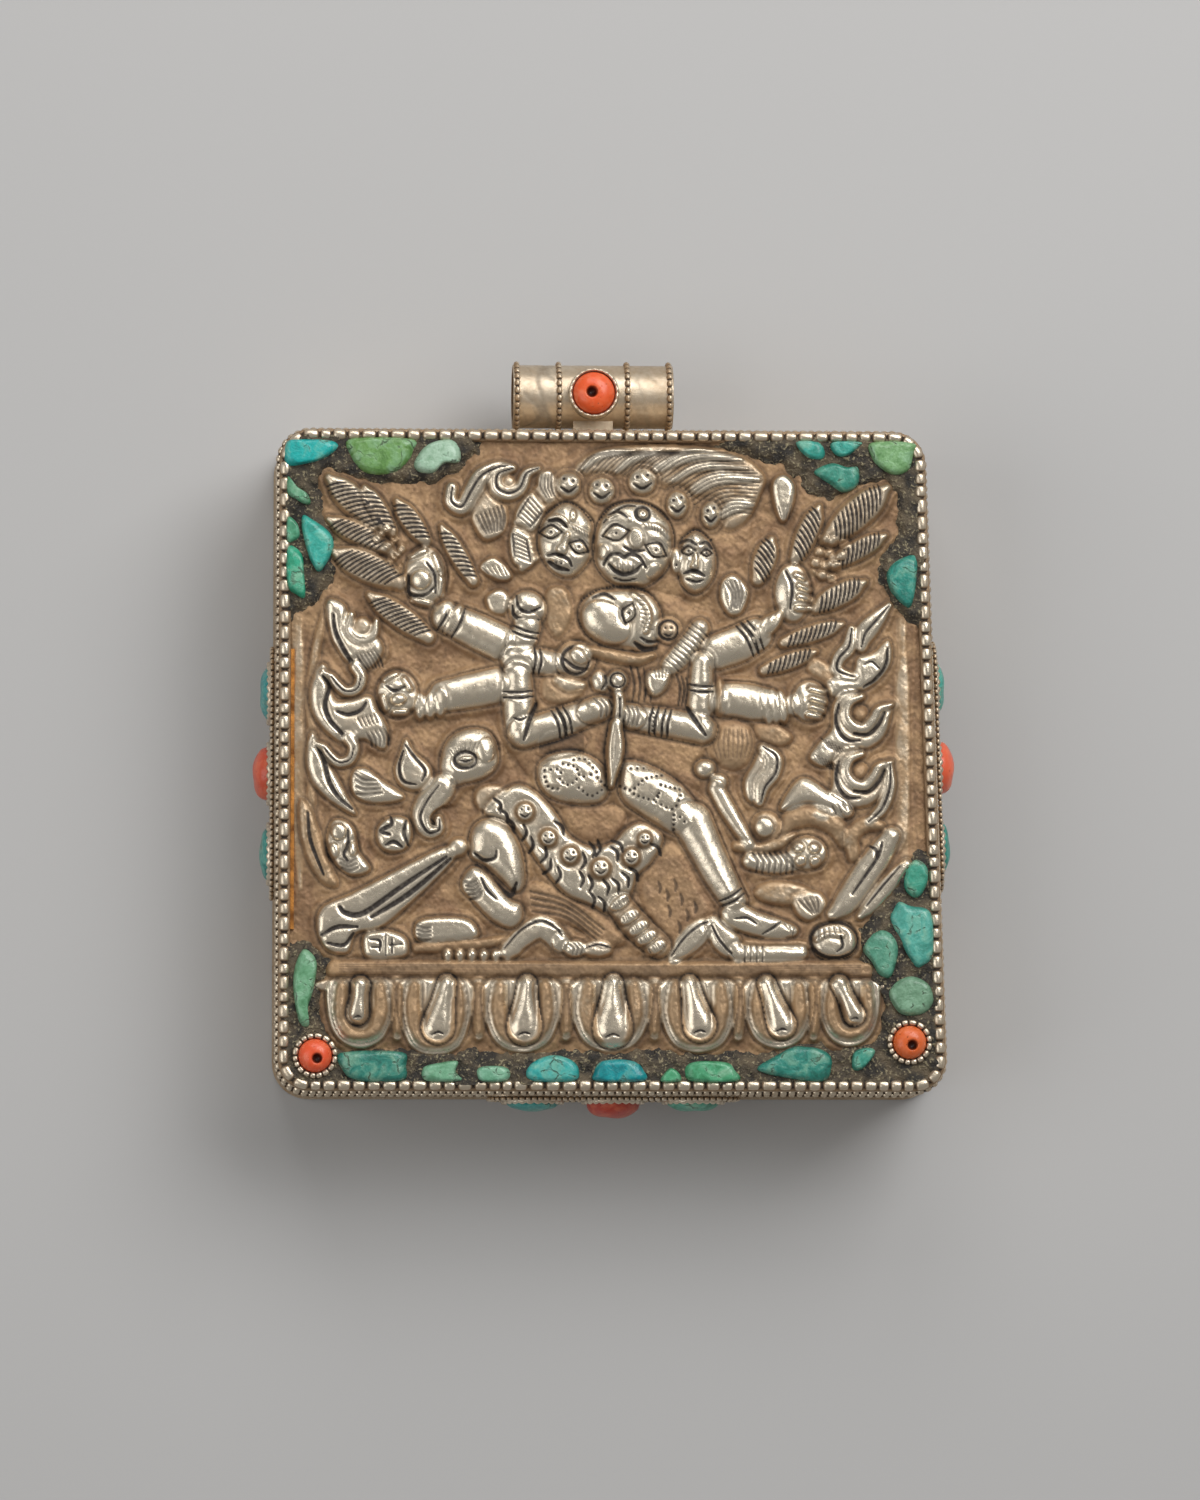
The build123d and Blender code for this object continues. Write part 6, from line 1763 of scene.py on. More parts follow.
CHIPS_TOP_RIGHT = [
    [(-13.0, -1.1), (-10.7, -1.1), (-10.0, -2.2), (-10.5, -2.9), (-11.9, -2.6)],
    [(-9.3, -1.1), (-6.3, -1.1), (-7.0, -2.0), (-8.2, -2.6), (-9.2, -2.2)],
    [
        (-9.4, -3.2), (-7.8, -3.6), (-6.7, -3.6), (-6.6, -5.1),
        (-7.3, -5.9), (-8.4, -6.1), (-9.7, -5.3), (-11.2, -4.1),
    ],
    [(-5.4, -1.1), (-1.1, -1.1), (-1.1, -2.3), (-1.6, -3.9), (-3.0, -4.4), (-4.5, -3.7), (-5.4, -2.6)],
    [
        (-0.9, -12.5), (-0.9, -15.5), (-1.4, -17.7), (-2.1, -17.6),
        (-3.3, -16.3), (-3.9, -14.5), (-3.0, -13.1),
    ],
]
CHIPS_LOWER_LEFT = [
    [
        (2.5, 14.1), (3.5, 13.6), (3.9, 12.4), (3.5, 9.9), (3.0, 8.2),
        (3.1, 6.4), (2.1, 6.8), (1.5, 10.1), (1.7, 12.5),
    ],
]
CHIPS_BOTTOM = [
    [(-26.9, 3.8), (-20.8, 3.9), (-20.3, 2.5), (-20.7, 1.0), (-25.2, 1.0), (-26.8, 2.2)],
    [(-18.7, 2.3), (-17.2, 2.8), (-15.2, 3.0), (-15.4, 1.9), (-14.8, 1.0), (-18.4, 1.0)],
    [(-13.2, 2.3), (-11.0, 2.5), (-10.0, 2.0), (-10.4, 1.0), (-13.0, 1.0)],
    [(-8.5, 2.1), (-7.2, 3.2), (-5.5, 3.6), (-3.8, 3.1), (-3.1, 2.1), (-3.6, 1.0), (-7.8, 1.0)],
    [(-1.7, 1.8), (-1.1, 2.9), (0.5, 3.2), (2.4, 3.0), (3.3, 2.2), (3.4, 1.0), (-1.4, 1.0)],
    [(5.0, 1.0), (5.9, 2.3), (6.8, 1.9), (7.0, 1.0)],
    [(7.4, 2.3), (8.6, 3.0), (11.6, 2.9), (12.4, 2.2), (12.8, 1.0), (8.0, 1.0)],
]
CHIPS_LOWER_RIGHT = [
    [
        (-19.2, 2.2), (-16.9, 3.7), (-15.2, 4.5), (-12.9, 4.3),
        (-11.7, 3.6), (-11.5, 2.5), (-12.4, 1.0), (-16.0, 1.3),
    ],
    [(-9.4, 3.9), (-7.9, 4.4), (-7.2, 3.9), (-8.4, 2.3), (-9.5, 2.2)],
    [
        (-5.9, 9.8), (-4.8, 11.2), (-3.3, 11.5), (-1.8, 10.7),
        (-1.3, 9.2), (-2.1, 7.9), (-3.8, 7.5), (-5.1, 8.1),
    ],
    [
        (-7.5, 15.8), (-6.2, 16.1), (-5.1, 15.2), (-4.9, 13.7),
        (-5.6, 11.4), (-6.8, 11.6), (-7.5, 12.8), (-8.4, 14.2),
    ],
    [
        (-4.8, 19.0), (-3.7, 18.6), (-1.6, 17.9), (-1.4, 13.8),
        (-2.4, 12.5), (-3.4, 12.7), (-5.6, 16.9), (-5.4, 18.1),
    ],
    [(-3.1, 23.2), (-2.0, 22.5), (-1.9, 21.0), (-2.6, 19.6), (-3.4, 19.4), (-4.3, 20.4), (-4.1, 22.1)],
]

CHIP_TINTS = {
    "turquoise_top_left": [
        (20, 175, 170), (110, 155, 85), (165, 195, 170), (80, 150, 110), (60, 175, 160), (90, 165, 130),
        (45, 165, 130),
    ],
    "turquoise_top_right": [
        (60, 165, 150), (60, 165, 150), (60, 145, 125), (125, 170, 115), (40, 140, 125),
    ],
    "turquoise_lower_left": [(110, 165, 125)],
    "turquoise_bottom_row": [
        (45, 130, 115), (120, 175, 140), (125, 180, 150), (50, 170, 165), (0, 150, 155), (80, 165, 120),
        (80, 165, 120),
    ],
    "turquoise_lower_right": [
        (45, 135, 120), (60, 150, 130), (115, 155, 125), (85, 150, 125), (85, 170, 155), (60, 155, 130),
    ],
}


@dataclass
class Stones:
    """Turquoise chips and their mastic beds on the front, and the coral beads in the lower corners."""

    outline: CaseOutline
    turquoise: bpy.types.Material
    coral: bpy.types.Material
    mastic: bpy.types.Material
    silver: bpy.types.Material
    chip_rise: float = 1.5
    mastic_rise: float = 0.9
    mastic_top: float = 1.4
    mastic_sunk: float = 0.12
    edge_size: float = 0.8
    edge_waver: float = 0.35
    lump_size: float = 1.6
    lump_rise: float = 0.24
    grain_size: float = 0.45
    grain_rise: float = 0.16
    slow_wave: float = 0.09
    quick_wave: float = 0.05
    rim_width: float = 0.5
    spokes: int = 56
    seed: int = 11
    hole: Point = (0.2, -0.3)
    hole_radius: float = 0.5
    ring_radius: float = 1.98
    ring_points: int = 72
    ring: BeadedWire = field(default_factory=lambda: BeadedWire(0.72, 0.3, 0.2, 0.45, 2.4, 0.2, 8, 5))

    CORNER_TINTS = {"left": (225, 85, 45), "right": (212, 96, 40)}
    RINGS = np.array([0.05, 0.2, 0.38, 0.55, 0.7, 0.82, 0.91, 0.97, 1.0, 1.0])

    def build(self) -> None:
        """Make the chips, the beds and the corner beads."""
        rng = np.random.default_rng(self.seed)
        top_left, top_right, bottom_right, bottom_left = self.outline.corners
        bottom = np.array([0.0, self.outline.bottom])
        groups = {"turquoise_top_left": (CHIPS_TOP_LEFT, top_left),
                  "turquoise_top_right": (CHIPS_TOP_RIGHT, top_right),
                  "turquoise_lower_left": (CHIPS_LOWER_LEFT, bottom_left),
                  "turquoise_bottom_row": (CHIPS_BOTTOM, bottom),
                  "turquoise_lower_right": (CHIPS_LOWER_RIGHT, bottom_right),}
        for node, (outlines, anchor) in groups.items():
            chips = [self.chip(anchor + np.array(points), linear(*tint), rng)
                     for points, tint in zip(outlines, CHIP_TINTS[node])]
            Surface.joined(chips).piece(node + "_chips", self.turquoise, Slot.TURQUOISE, node)
        lower = np.vstack([bottom_left + np.array(BED_LOWER_LEFT),
                           bottom_right + np.array(BED_LOWER_RIGHT)])
        beds = {"mastic_top_left": top_left + np.array(BED_TOP_LEFT),
                "mastic_top_right": top_right + np.array(BED_TOP_RIGHT), "mastic_lower": lower}
        for node, edge in beds.items():
            self.bed(edge, rng).piece(node + "_bed", self.mastic, Slot.MASTIC, node)
        for side, colour in self.CORNER_TINTS.items():
            self.corner_bead(side, linear(*colour))

    def chip(self, points: Array, tint: Colour, rng: np.random.Generator) -> Surface:
        """A tumbled chip: a smooth closed outline drawn in to its middle as rings.

        The height over the ground is rise * (1 - t^4)^(1/2) with t from the middle to the edge, plus two
        slow waves, and the lowest ring stands in the bed.

        Args:
            points: the chip's outline.
            tint: its colour.
            rng: source of the waves.

        Returns:
            The chip's surface.
        """
        loop = smooth_path(points, closed=True)
        line, run = even_steps(loop, True)
        edge = at_run(line, run, np.linspace(0, run[-1], self.spokes, endpoint=False))
        centre = edge.mean(axis=0)
        share = self.RINGS[:, None]
        dome = np.sqrt(np.clip(1 - share**4, 0, 1))
        rise = self.chip_rise * dome * 0.75 + 0.36 * self.chip_rise * (share < 1)
        rise[-2:] = [[0.28 * self.chip_rise], [0.0]]
        flat = centre + share[..., None] * (edge - centre)
        wave, phase = rng.uniform(0.5, 1.1, 4), rng.uniform(0, 6, 4)
        across, up = flat[..., 0], flat[..., 1]
        bumps = self.slow_wave * np.sin(wave[0] * across + wave[1] * up + phase[0])
        bumps += self.quick_wave * np.sin(2.3 * wave[2] * across - 2.1 * wave[3] * up + phase[1])
        height = np.minimum(rise + bumps * (share < 0.95), self.chip_rise)
        height[-1] = 0.0
        points3 = np.dstack([flat, self.outline.front + height])
        # painted shade: the tint darkened towards the edge, where the chip turns down into the mastic
        shade = np.clip(1 - 0.25 * share**6, 0, 1)[..., None] * np.ones((1, self.spokes, 1))
        return Surface.grid(points3, False, True, True, {"tint": shade * np.array(tint)})

    def bed(self, edge: Array, rng: np.random.Generator, step: float = 0.22) -> Surface:
        """Lumpy wax: it sinks under the ground at its edge and rises within a millimetre.

        Args:
            edge: the bed's outline.
            rng: source of the lumps.
            step: grid step.

        Returns:
            The bed's upper surface.
        """
        path = np.vstack([edge, edge[:1]])
        low, high = path.min(axis=0), path.max(axis=0)
        sheet = ChasedSheet(low[0] - 0.6, high[0] + 0.6, low[1] - 0.6, high[1] + 0.6, step)
        depth = sheet.inside(path, (slice(None), slice(None)))
        depth += self.edge_waver * cloud(sheet.x.shape, self.edge_size / step, rng)
        lumps = cloud(sheet.x.shape, self.lump_size / step, rng) * self.lump_rise
        lumps += cloud(sheet.x.shape, self.grain_size / step, rng) * self.grain_rise
        height = self.mastic_rise * smooth_step(-0.25, 1.1, depth) - self.mastic_sunk
        height += lumps * smooth_step(-0.1, 0.5, depth)
        keep = (depth > -self.edge_waver) & (self.outline.inset(sheet.x, sheet.y) > self.rim_width)
        points = np.dstack([sheet.x, sheet.y, self.outline.front + np.minimum(height, self.mastic_top)])
        return kept(Surface.grid(points[:, ::-1]), keep[:, ::-1])

    def corner_bead(self, side: str, tint: Colour) -> None:
        """A drilled coral bead and the dotted wire ring round it.

        Args:
            side: the side that the corner is on.
            tint: the coral's colour.
        """
        low, high = node_box(f"corner_coral_{side}")
        centre, radius = (low + high)[:2] / 2, (high - low)[0] / 2
        bead = coral_bead(centre, radius, low[2], high[2] - low[2], self.hole, self.hole_radius, tint)
        bead.piece(f"corner_coral_{side}_bead", self.coral, Slot.CORAL, f"corner_coral_{side}")
        low, high = node_box(f"corner_ring_{side}")
        turn = np.linspace(0, -2 * np.pi, self.ring_points, endpoint=False)
        path = np.column_stack([centre[0] + self.ring_radius * np.cos(turn),
                                centre[1] + self.ring_radius * np.sin(turn),
                                np.full(self.ring_points, (low[2] + high[2]) / 2 - 0.02)])
        ring = self.ring.along(path, UP)
        ring.piece(f"corner_ring_{side}_beads", self.silver, Slot.SILVER, f"corner_ring_{side}")


def kept(surface: Surface, keep: Array) -> Surface:
    """The faces whose four corners are all marked to keep, without the vertices that are left over.

    Args:
        surface: a surface of quads.
        keep: whether each vertex stays.

    Returns:
        What is left of the surface.
    """
    chosen = keep.ravel()
    faces = np.array(surface.faces)
    faces = faces[chosen[faces].all(axis=1)]
    used = np.zeros(len(chosen), dtype=bool)
    used[faces] = True
    number = np.cumsum(used) - 1
    marks = {name: values[used] for name, values in surface.marks.items()}
    return Surface(surface.vertices[used], number[faces].tolist(), marks)


def cloud(shape: tuple[int, int], size: float, rng: np.random.Generator) -> Array:
    """Smooth noise from -1 to 1: white noise whose spectrum is cut by a bell.

    Args:
        shape: rows and columns.
        size: size of a lump, in cells.
        rng: source of the noise.

    Returns:
        The noise.
    """
    rows, columns = np.fft.fftfreq(shape[0])[:, None], np.fft.rfftfreq(shape[1])[None]
    bell = np.exp(-2 * (size**2) * (rows**2 + columns**2))
    noise = np.fft.irfft2(np.fft.rfft2(rng.standard_normal(shape)) * bell, shape)
    return np.clip(noise / (2.2 * noise.std()), -1, 1)


def coral_bead(centre: Array, radius: float, base: float, rise: float, hole: Point, hole_radius: float,
               tint: Colour, foot: Callable[[Array], Array] | None = None) -> Surface:
    """A drilled bead: rings that start round the hole and spread to the bead's edge.

    The height is rise * (1 - q^2.6)^(1/2) with q the distance from the bead's middle over its radius, and
    the rings inside the hole go down.

    Args:
        centre: middle of the bead.
        radius: its radius.
        base: height of its foot.
        rise: height of its top over the foot.
        hole: place of the hole from the middle.
        hole_radius: its radius.
        tint: the coral's colour.
        foot: height of the seat under a point across the bead, where it isn't flat.

    Returns:
        The bead's surface.
    """
    spokes = 48
    share = np.array([0.02, 0.5, 0.8, 1.0, 1.12, 1.3]) * hole_radius / radius
    share = np.concatenate([share, np.linspace(1.6 * hole_radius / radius, 1.0, 12)])
    angle = np.linspace(0, 2 * np.pi, spokes, endpoint=False)
    spread = np.clip((share - share[3]) / (1 - share[3]), 0, 1)[:, None]
    x = hole[0] * (1 - spread) + radius * share[:, None] * np.cos(angle)
    y = hole[1] * (1 - spread) + radius * share[:, None] * np.sin(angle)
    q = np.clip(np.hypot(x, y) / radius, 0, 1)
    wobble = 0.03 * np.sin(3 * angle + 0.7) + 0.02 * np.sin(5 * angle)
    height = rise * (0.35 + 0.65 * np.sqrt(1 - q**2.6)) * (1 - 0.03 * (1 + wobble))
    sunk = np.array([0.75, 0.7, 0.55, 0.12, 0.03] + [0.0] * (len(share) - 5))[:, None]
    height = height - sunk * rise * 0.6
    seat = foot(np.array([x[-1], y[-1]])) if foot else np.full(spokes, base)
    z = np.vstack([base + height, seat])
    flat = np.stack([np.vstack([x, x[-1:]]) + centre[0], np.vstack([y, y[-1:]]) + centre[1]], axis=-1)
    # painted shade: the colour darkened inside the drilled hole and round its lip
    dark = np.array([1.0, 1.0, 0.9, 0.5, 0.15] + [0.0] * (len(share) - 4))[:, None] * np.ones(spokes)
    colour = np.ones((*z.shape, 1)) * np.array(tint)
    return Surface.grid(np.dstack([flat, z]), False, True, True, {"tint": colour, "soot_and_shade": dark})


@dataclass
class Bail:
    """The tube across the top with its engraved scroll, four beaded rings, and a coral bead in a cup."""

    silver: bpy.types.Material
    coral: bpy.types.Material
    tint: Colour = linear(226, 88, 38)
    ring: BeadedWire = field(default_factory=lambda: BeadedWire(0.74, 0.35, 0.32, 0.55, 2.4, 0.1, 8, 9))
    bore: float = 2.5
    ring_lift: float = 0.07
    ring_points: int = 60
    inner_ring: float = 3.45
    outer_ring_inset: float = 0.4
    scroll_from: float = 3.9
    scroll_to: float = 7.2
    scroll_depth: float = 0.05
    sunk: float = 0.5
    hole: Point = (-0.25, 0.0)
    hole_radius: float = 0.55
    scallops: int = 11
    scallop_rise: float = 0.16

    def build(self) -> None:
        """Make the tube, the rings, the cup and the bead."""
        low, high = node_box("bail_tube")
        self.start, self.end = low[0], high[0]
        self.axis = (low + high) / 2
        self.radius = (high - low)[1] / 2
        self.tube().piece("bail_engraved_tube", self.silver, Slot.SILVER, "bail_tube")
        half = (self.end - self.start) / 2
        turn = np.linspace(0, 2 * np.pi, self.ring_points, endpoint=False)
        radius = self.radius + self.ring_lift
        circle = np.column_stack([np.zeros(self.ring_points), radius * np.cos(turn), radius * np.sin(turn)])
        outer = half - self.outer_ring_inset
        along = np.array([1.0, 0.0, 0.0])
        rings = []
        for place in (-outer, -self.inner_ring, self.inner_ring, outer):
            ring = self.ring.along(self.axis + (circle + place * along), along)
            ring.vertices[:, 0] = self.axis[0] + np.clip(ring.vertices[:, 0] - self.axis[0], -half, half)
            rings.append(ring)
        Surface.joined(rings).piece("bail_beaded_rings", self.silver, Slot.SILVER, "bail_rings")
        low, high = node_box("bail_cup")
        cup = self.cup((high - low)[0] / 2, high[2] - self.axis[2])
        cup.piece("bail_bezel", self.silver, Slot.SILVER, "bail_cup")
        low, high = node_box("bail_coral")
        bead = coral_bead(self.axis[:2], (high - low)[0] / 2, self.axis[2] + self.radius - self.sunk,
                          high[2] - self.axis[2] - self.radius + self.sunk, self.hole, self.hole_radius,
                          self.tint, self.seat)
        bead.piece("bail_coral_bead", self.coral, Slot.CORAL, "bail_coral")

    def seat(self, across: Array) -> Array:
        """Height of the tube's top under points across it."""
        return self.axis[2] + np.sqrt(self.radius**2 - across[1] ** 2)

    def tube(self) -> Surface:
        """A tube turned about its axis: the outer line carries a scroll, r = R - cut * exp(-(gap / w)^2).

        The gap is the distance from two crossing waves and from leaf lines between them.

        Returns:
            The tube, closed on itself.
        """
        places = np.linspace(self.start, self.end, 150)
        angle = np.linspace(0, 2 * np.pi, 120, endpoint=False)
        x, turn = np.meshgrid(places - self.axis[0], angle, indexing="ij")
        around = turn * self.radius
        wave = np.abs(np.sin(1.25 * x + 1.6 * np.sin(2 * turn)) * 1.1 - np.sin(2 * turn + 0.4) * 1.1) * 0.5
        leaf = np.abs(np.sin(2.6 * x - 3 * turn)) * 0.5
        field_x = (np.abs(x) > self.scroll_from) & (np.abs(x) < self.scroll_to)
        leaves = 0.5 * np.exp(-((leaf / 0.1) ** 2)) * (np.sin(around) > 0.2)
        cut = field_x * (np.exp(-((wave / 0.16) ** 2)) + leaves)
        cut = np.clip(cut, 0, 1) * np.where(x < 0, 0.6, 0.25)
        outer = self.radius - self.scroll_depth * cut
        bore = np.full_like(outer, self.bore)
        radii = np.vstack([outer, bore[::-1]])
        axial = np.vstack([x, x[::-1]])
        turns = np.vstack([turn, turn])
        points = self.axis + np.dstack([axial, radii * np.cos(turns), radii * np.sin(turns)])
        # the bore is darkened all over: tarnish inside the tube and painted shade of its hollow
        soot_and_shade = np.vstack([0.7 * cut, np.full_like(cut, 0.5)])
        polish = np.vstack([np.full_like(cut, 0.72), np.full_like(cut, 0.2)])
        return Surface.grid(points, True, True, marks={"polish": polish, "soot_and_shade": soot_and_shade})

    def cup(self, radius: float, top: float) -> Surface:
        """A bezel wall that follows the tube at its foot, with small scallops along its upper edge.

        Args:
            radius: outer radius.
            top: height of its edge over the tube's axis.

        Returns:
            The bezel, closed on itself.
        """
        angle = np.linspace(0, 2 * np.pi, 144, endpoint=False)
        scallop = self.scallop_rise * np.abs(np.sin(self.scallops * angle))
        profile = [(radius, 0.0), (radius, 0.5), (radius - 0.02, 0.85), (radius - 0.15, 1.0),
                   (radius - 0.3, 0.97), (radius - 0.4, 0.6), (radius - 0.4, 0.0)]
        rows = []
        for reach, share in profile:
            x, y = reach * np.cos(angle), reach * np.sin(angle)
            foot = np.sqrt(self.radius**2 - y**2) - 0.05
            rows.append(np.column_stack([x, y, foot + share * (top - self.scallop_rise + scallop - foot)]))
        points = self.axis + np.stack(rows)
        soot_and_shade = np.array([0.7, 0.1, 0.0, 0.0, 0.1, 0.6, 0.9])[:, None] * np.ones(144)
        return Surface.grid(points, True, True, marks={"polish": np.full(soot_and_shade.shape, 0.85), "soot_and_shade": soot_and_shade})


@dataclass
class WallSetting:
    """Three stones in scalloped cups on a plate, on one wall."""

    wall: str
    origin: Array
    along: Array
    out: Array
    silver: bpy.types.Material
    turquoise: bpy.types.Material
    coral: bpy.types.Material
    tints: Sequence[tuple[int, int, int]]
    pitch: float = 8.1
    half_length: float = 2.8
    half_height: float = 3.0
    plate: float = 0.4
    plate_reach: float = 12.8
    plate_height: float = 4.5
    wire_inset: float = 0.35
    wire_corner: float = 2.25
    wire_lift: float = 0.25
    turquoise_rise: float = 1.5
    coral_rise: float = 2.2
    cup_rise: float = 0.8
    scallops: int = 12
    scallop_rise: float = 0.2
    fit: float = 0.985
    wire: BeadedWire = field(default_factory=lambda: BeadedWire(0.62, 0.3, 0.25, 0.55, 2.3, 0.1, 8, 3))

    CUP = ((0.45, 0.0), (0.45, 0.6), (0.38, 0.9), (0.25, 1.0), (0.1, 0.96), (0.0, 0.7), (0.0, 0.0))

    def build(self) -> None:
        """Make the wire, the cups and the stones."""
        self.border().piece(f"{self.wall}_plate_beads", self.silver, Slot.SILVER, f"{self.wall}_plate_wire")
        cups = Surface.joined([self.cup(place) for place in (-self.pitch, 0.0, self.pitch)])
        cups.piece(f"{self.wall}_bezels", self.silver, Slot.SILVER, f"{self.wall}_cups")
        ends = [self.cabochon(place, self.turquoise_rise, linear(*tint))
                for place, tint in ((-self.pitch, self.tints[0]), (self.pitch, self.tints[2]))]
        Surface.joined(ends).piece(f"{self.wall}_turquoise_cabochons", self.turquoise, Slot.TURQUOISE,
                                   f"{self.wall}_turquoise")
        middle = self.cabochon(0.0, self.coral_rise, linear(*self.tints[1]))
        middle.piece(f"{self.wall}_coral_cabochon", self.coral, Slot.CORAL, f"{self.wall}_coral")

    def placed(self, flat: Array, rise: Array) -> Array:
        """Points given along the wall, up it and out of it, as points in space."""
        return self.origin + flat[..., :1] * self.along + flat[..., 1:2] * UP + rise[..., None] * self.out

    def border(self) -> Surface:
        """The beaded wire along the plate's edge: a rectangle with round corners.

        Returns:
            The wire.
        """
        corner = self.wire_corner
        reach, height = self.plate_reach - self.wire_inset, self.plate_height - self.wire_inset
        turn = np.linspace(0, np.pi / 2, 8)
        quarter = np.column_stack([reach - corner + corner * np.cos(turn),
                                   height - corner + corner * np.sin(turn)])
        loop = np.vstack([quarter, (quarter * (-1, 1))[::-1], quarter * (-1, -1),
                          (quarter * (1, -1))[::-1]])
        path = self.placed(loop, np.full(len(loop), self.plate + self.wire_lift))
        return self.wire.along(path, self.out)

    def cup(self, place: float) -> Surface:
        """A bezel: a thin wall round an oval, whose upper edge is cut into scallops.

        Args:
            place: its middle's place along the wall.

        Returns:
            The bezel, closed on itself.
        """
        angle = np.linspace(0, 2 * np.pi, 128, endpoint=False)
        scallop = self.scallop_rise * np.abs(np.sin(self.scallops * angle))
        rows = []
        for reach, share in self.CUP:
            flat = np.column_stack([place + (self.half_length + reach) * np.cos(angle),
                                    (self.half_height + reach) * np.sin(angle)])
            rows.append(self.placed(flat, self.plate + share * (self.cup_rise - self.scallop_rise + scallop)))
        points = np.stack(rows)
        soot_and_shade = np.array([0.8, 0.1, 0.0, 0.0, 0.2, 0.7, 0.9])[:, None] * np.ones(128)
        return Surface.grid(points, True, True, marks={"polish": np.full(soot_and_shade.shape, 0.85), "soot_and_shade": soot_and_shade})

    def cabochon(self, place: float, rise: float, tint: Colour) -> Surface:
        """An oval cabochon: height = rise * (0.3 + 0.7 (1 - t^2.4)^(1/2)), t from its middle to its edge.

        Args:
            place: its middle's place along the wall.
            rise: height of its top over the plate.
            tint: the stone's colour.

        Returns:
            The stone's surface.
        """
        angle = np.linspace(0, 2 * np.pi, 48, endpoint=False)
        share = np.concatenate([[0.03], np.linspace(0.14, 1.0, 12), [1.0]])[:, None]
        flat = np.dstack([place + self.fit * self.half_length * share * np.cos(angle),
                          self.fit * self.half_height * share * np.sin(angle)])
        lump = 0.05 * np.sin(2.1 * flat[..., 0] + 1.3 * flat[..., 1])
        height = rise * (0.3 + 0.7 * np.sqrt(1 - share**2.4)) - 0.06 + lump * (share < 0.9)
        height = np.minimum(height * np.ones(48), rise)
        height[-1] = 0.0
        colour = np.ones((*height.shape, 1)) * np.array(tint)
        marks = {"tint": colour, "soot_and_shade": np.zeros(height.shape)}
        return Surface.grid(self.placed(flat, self.plate + height), False, True, True, marks)


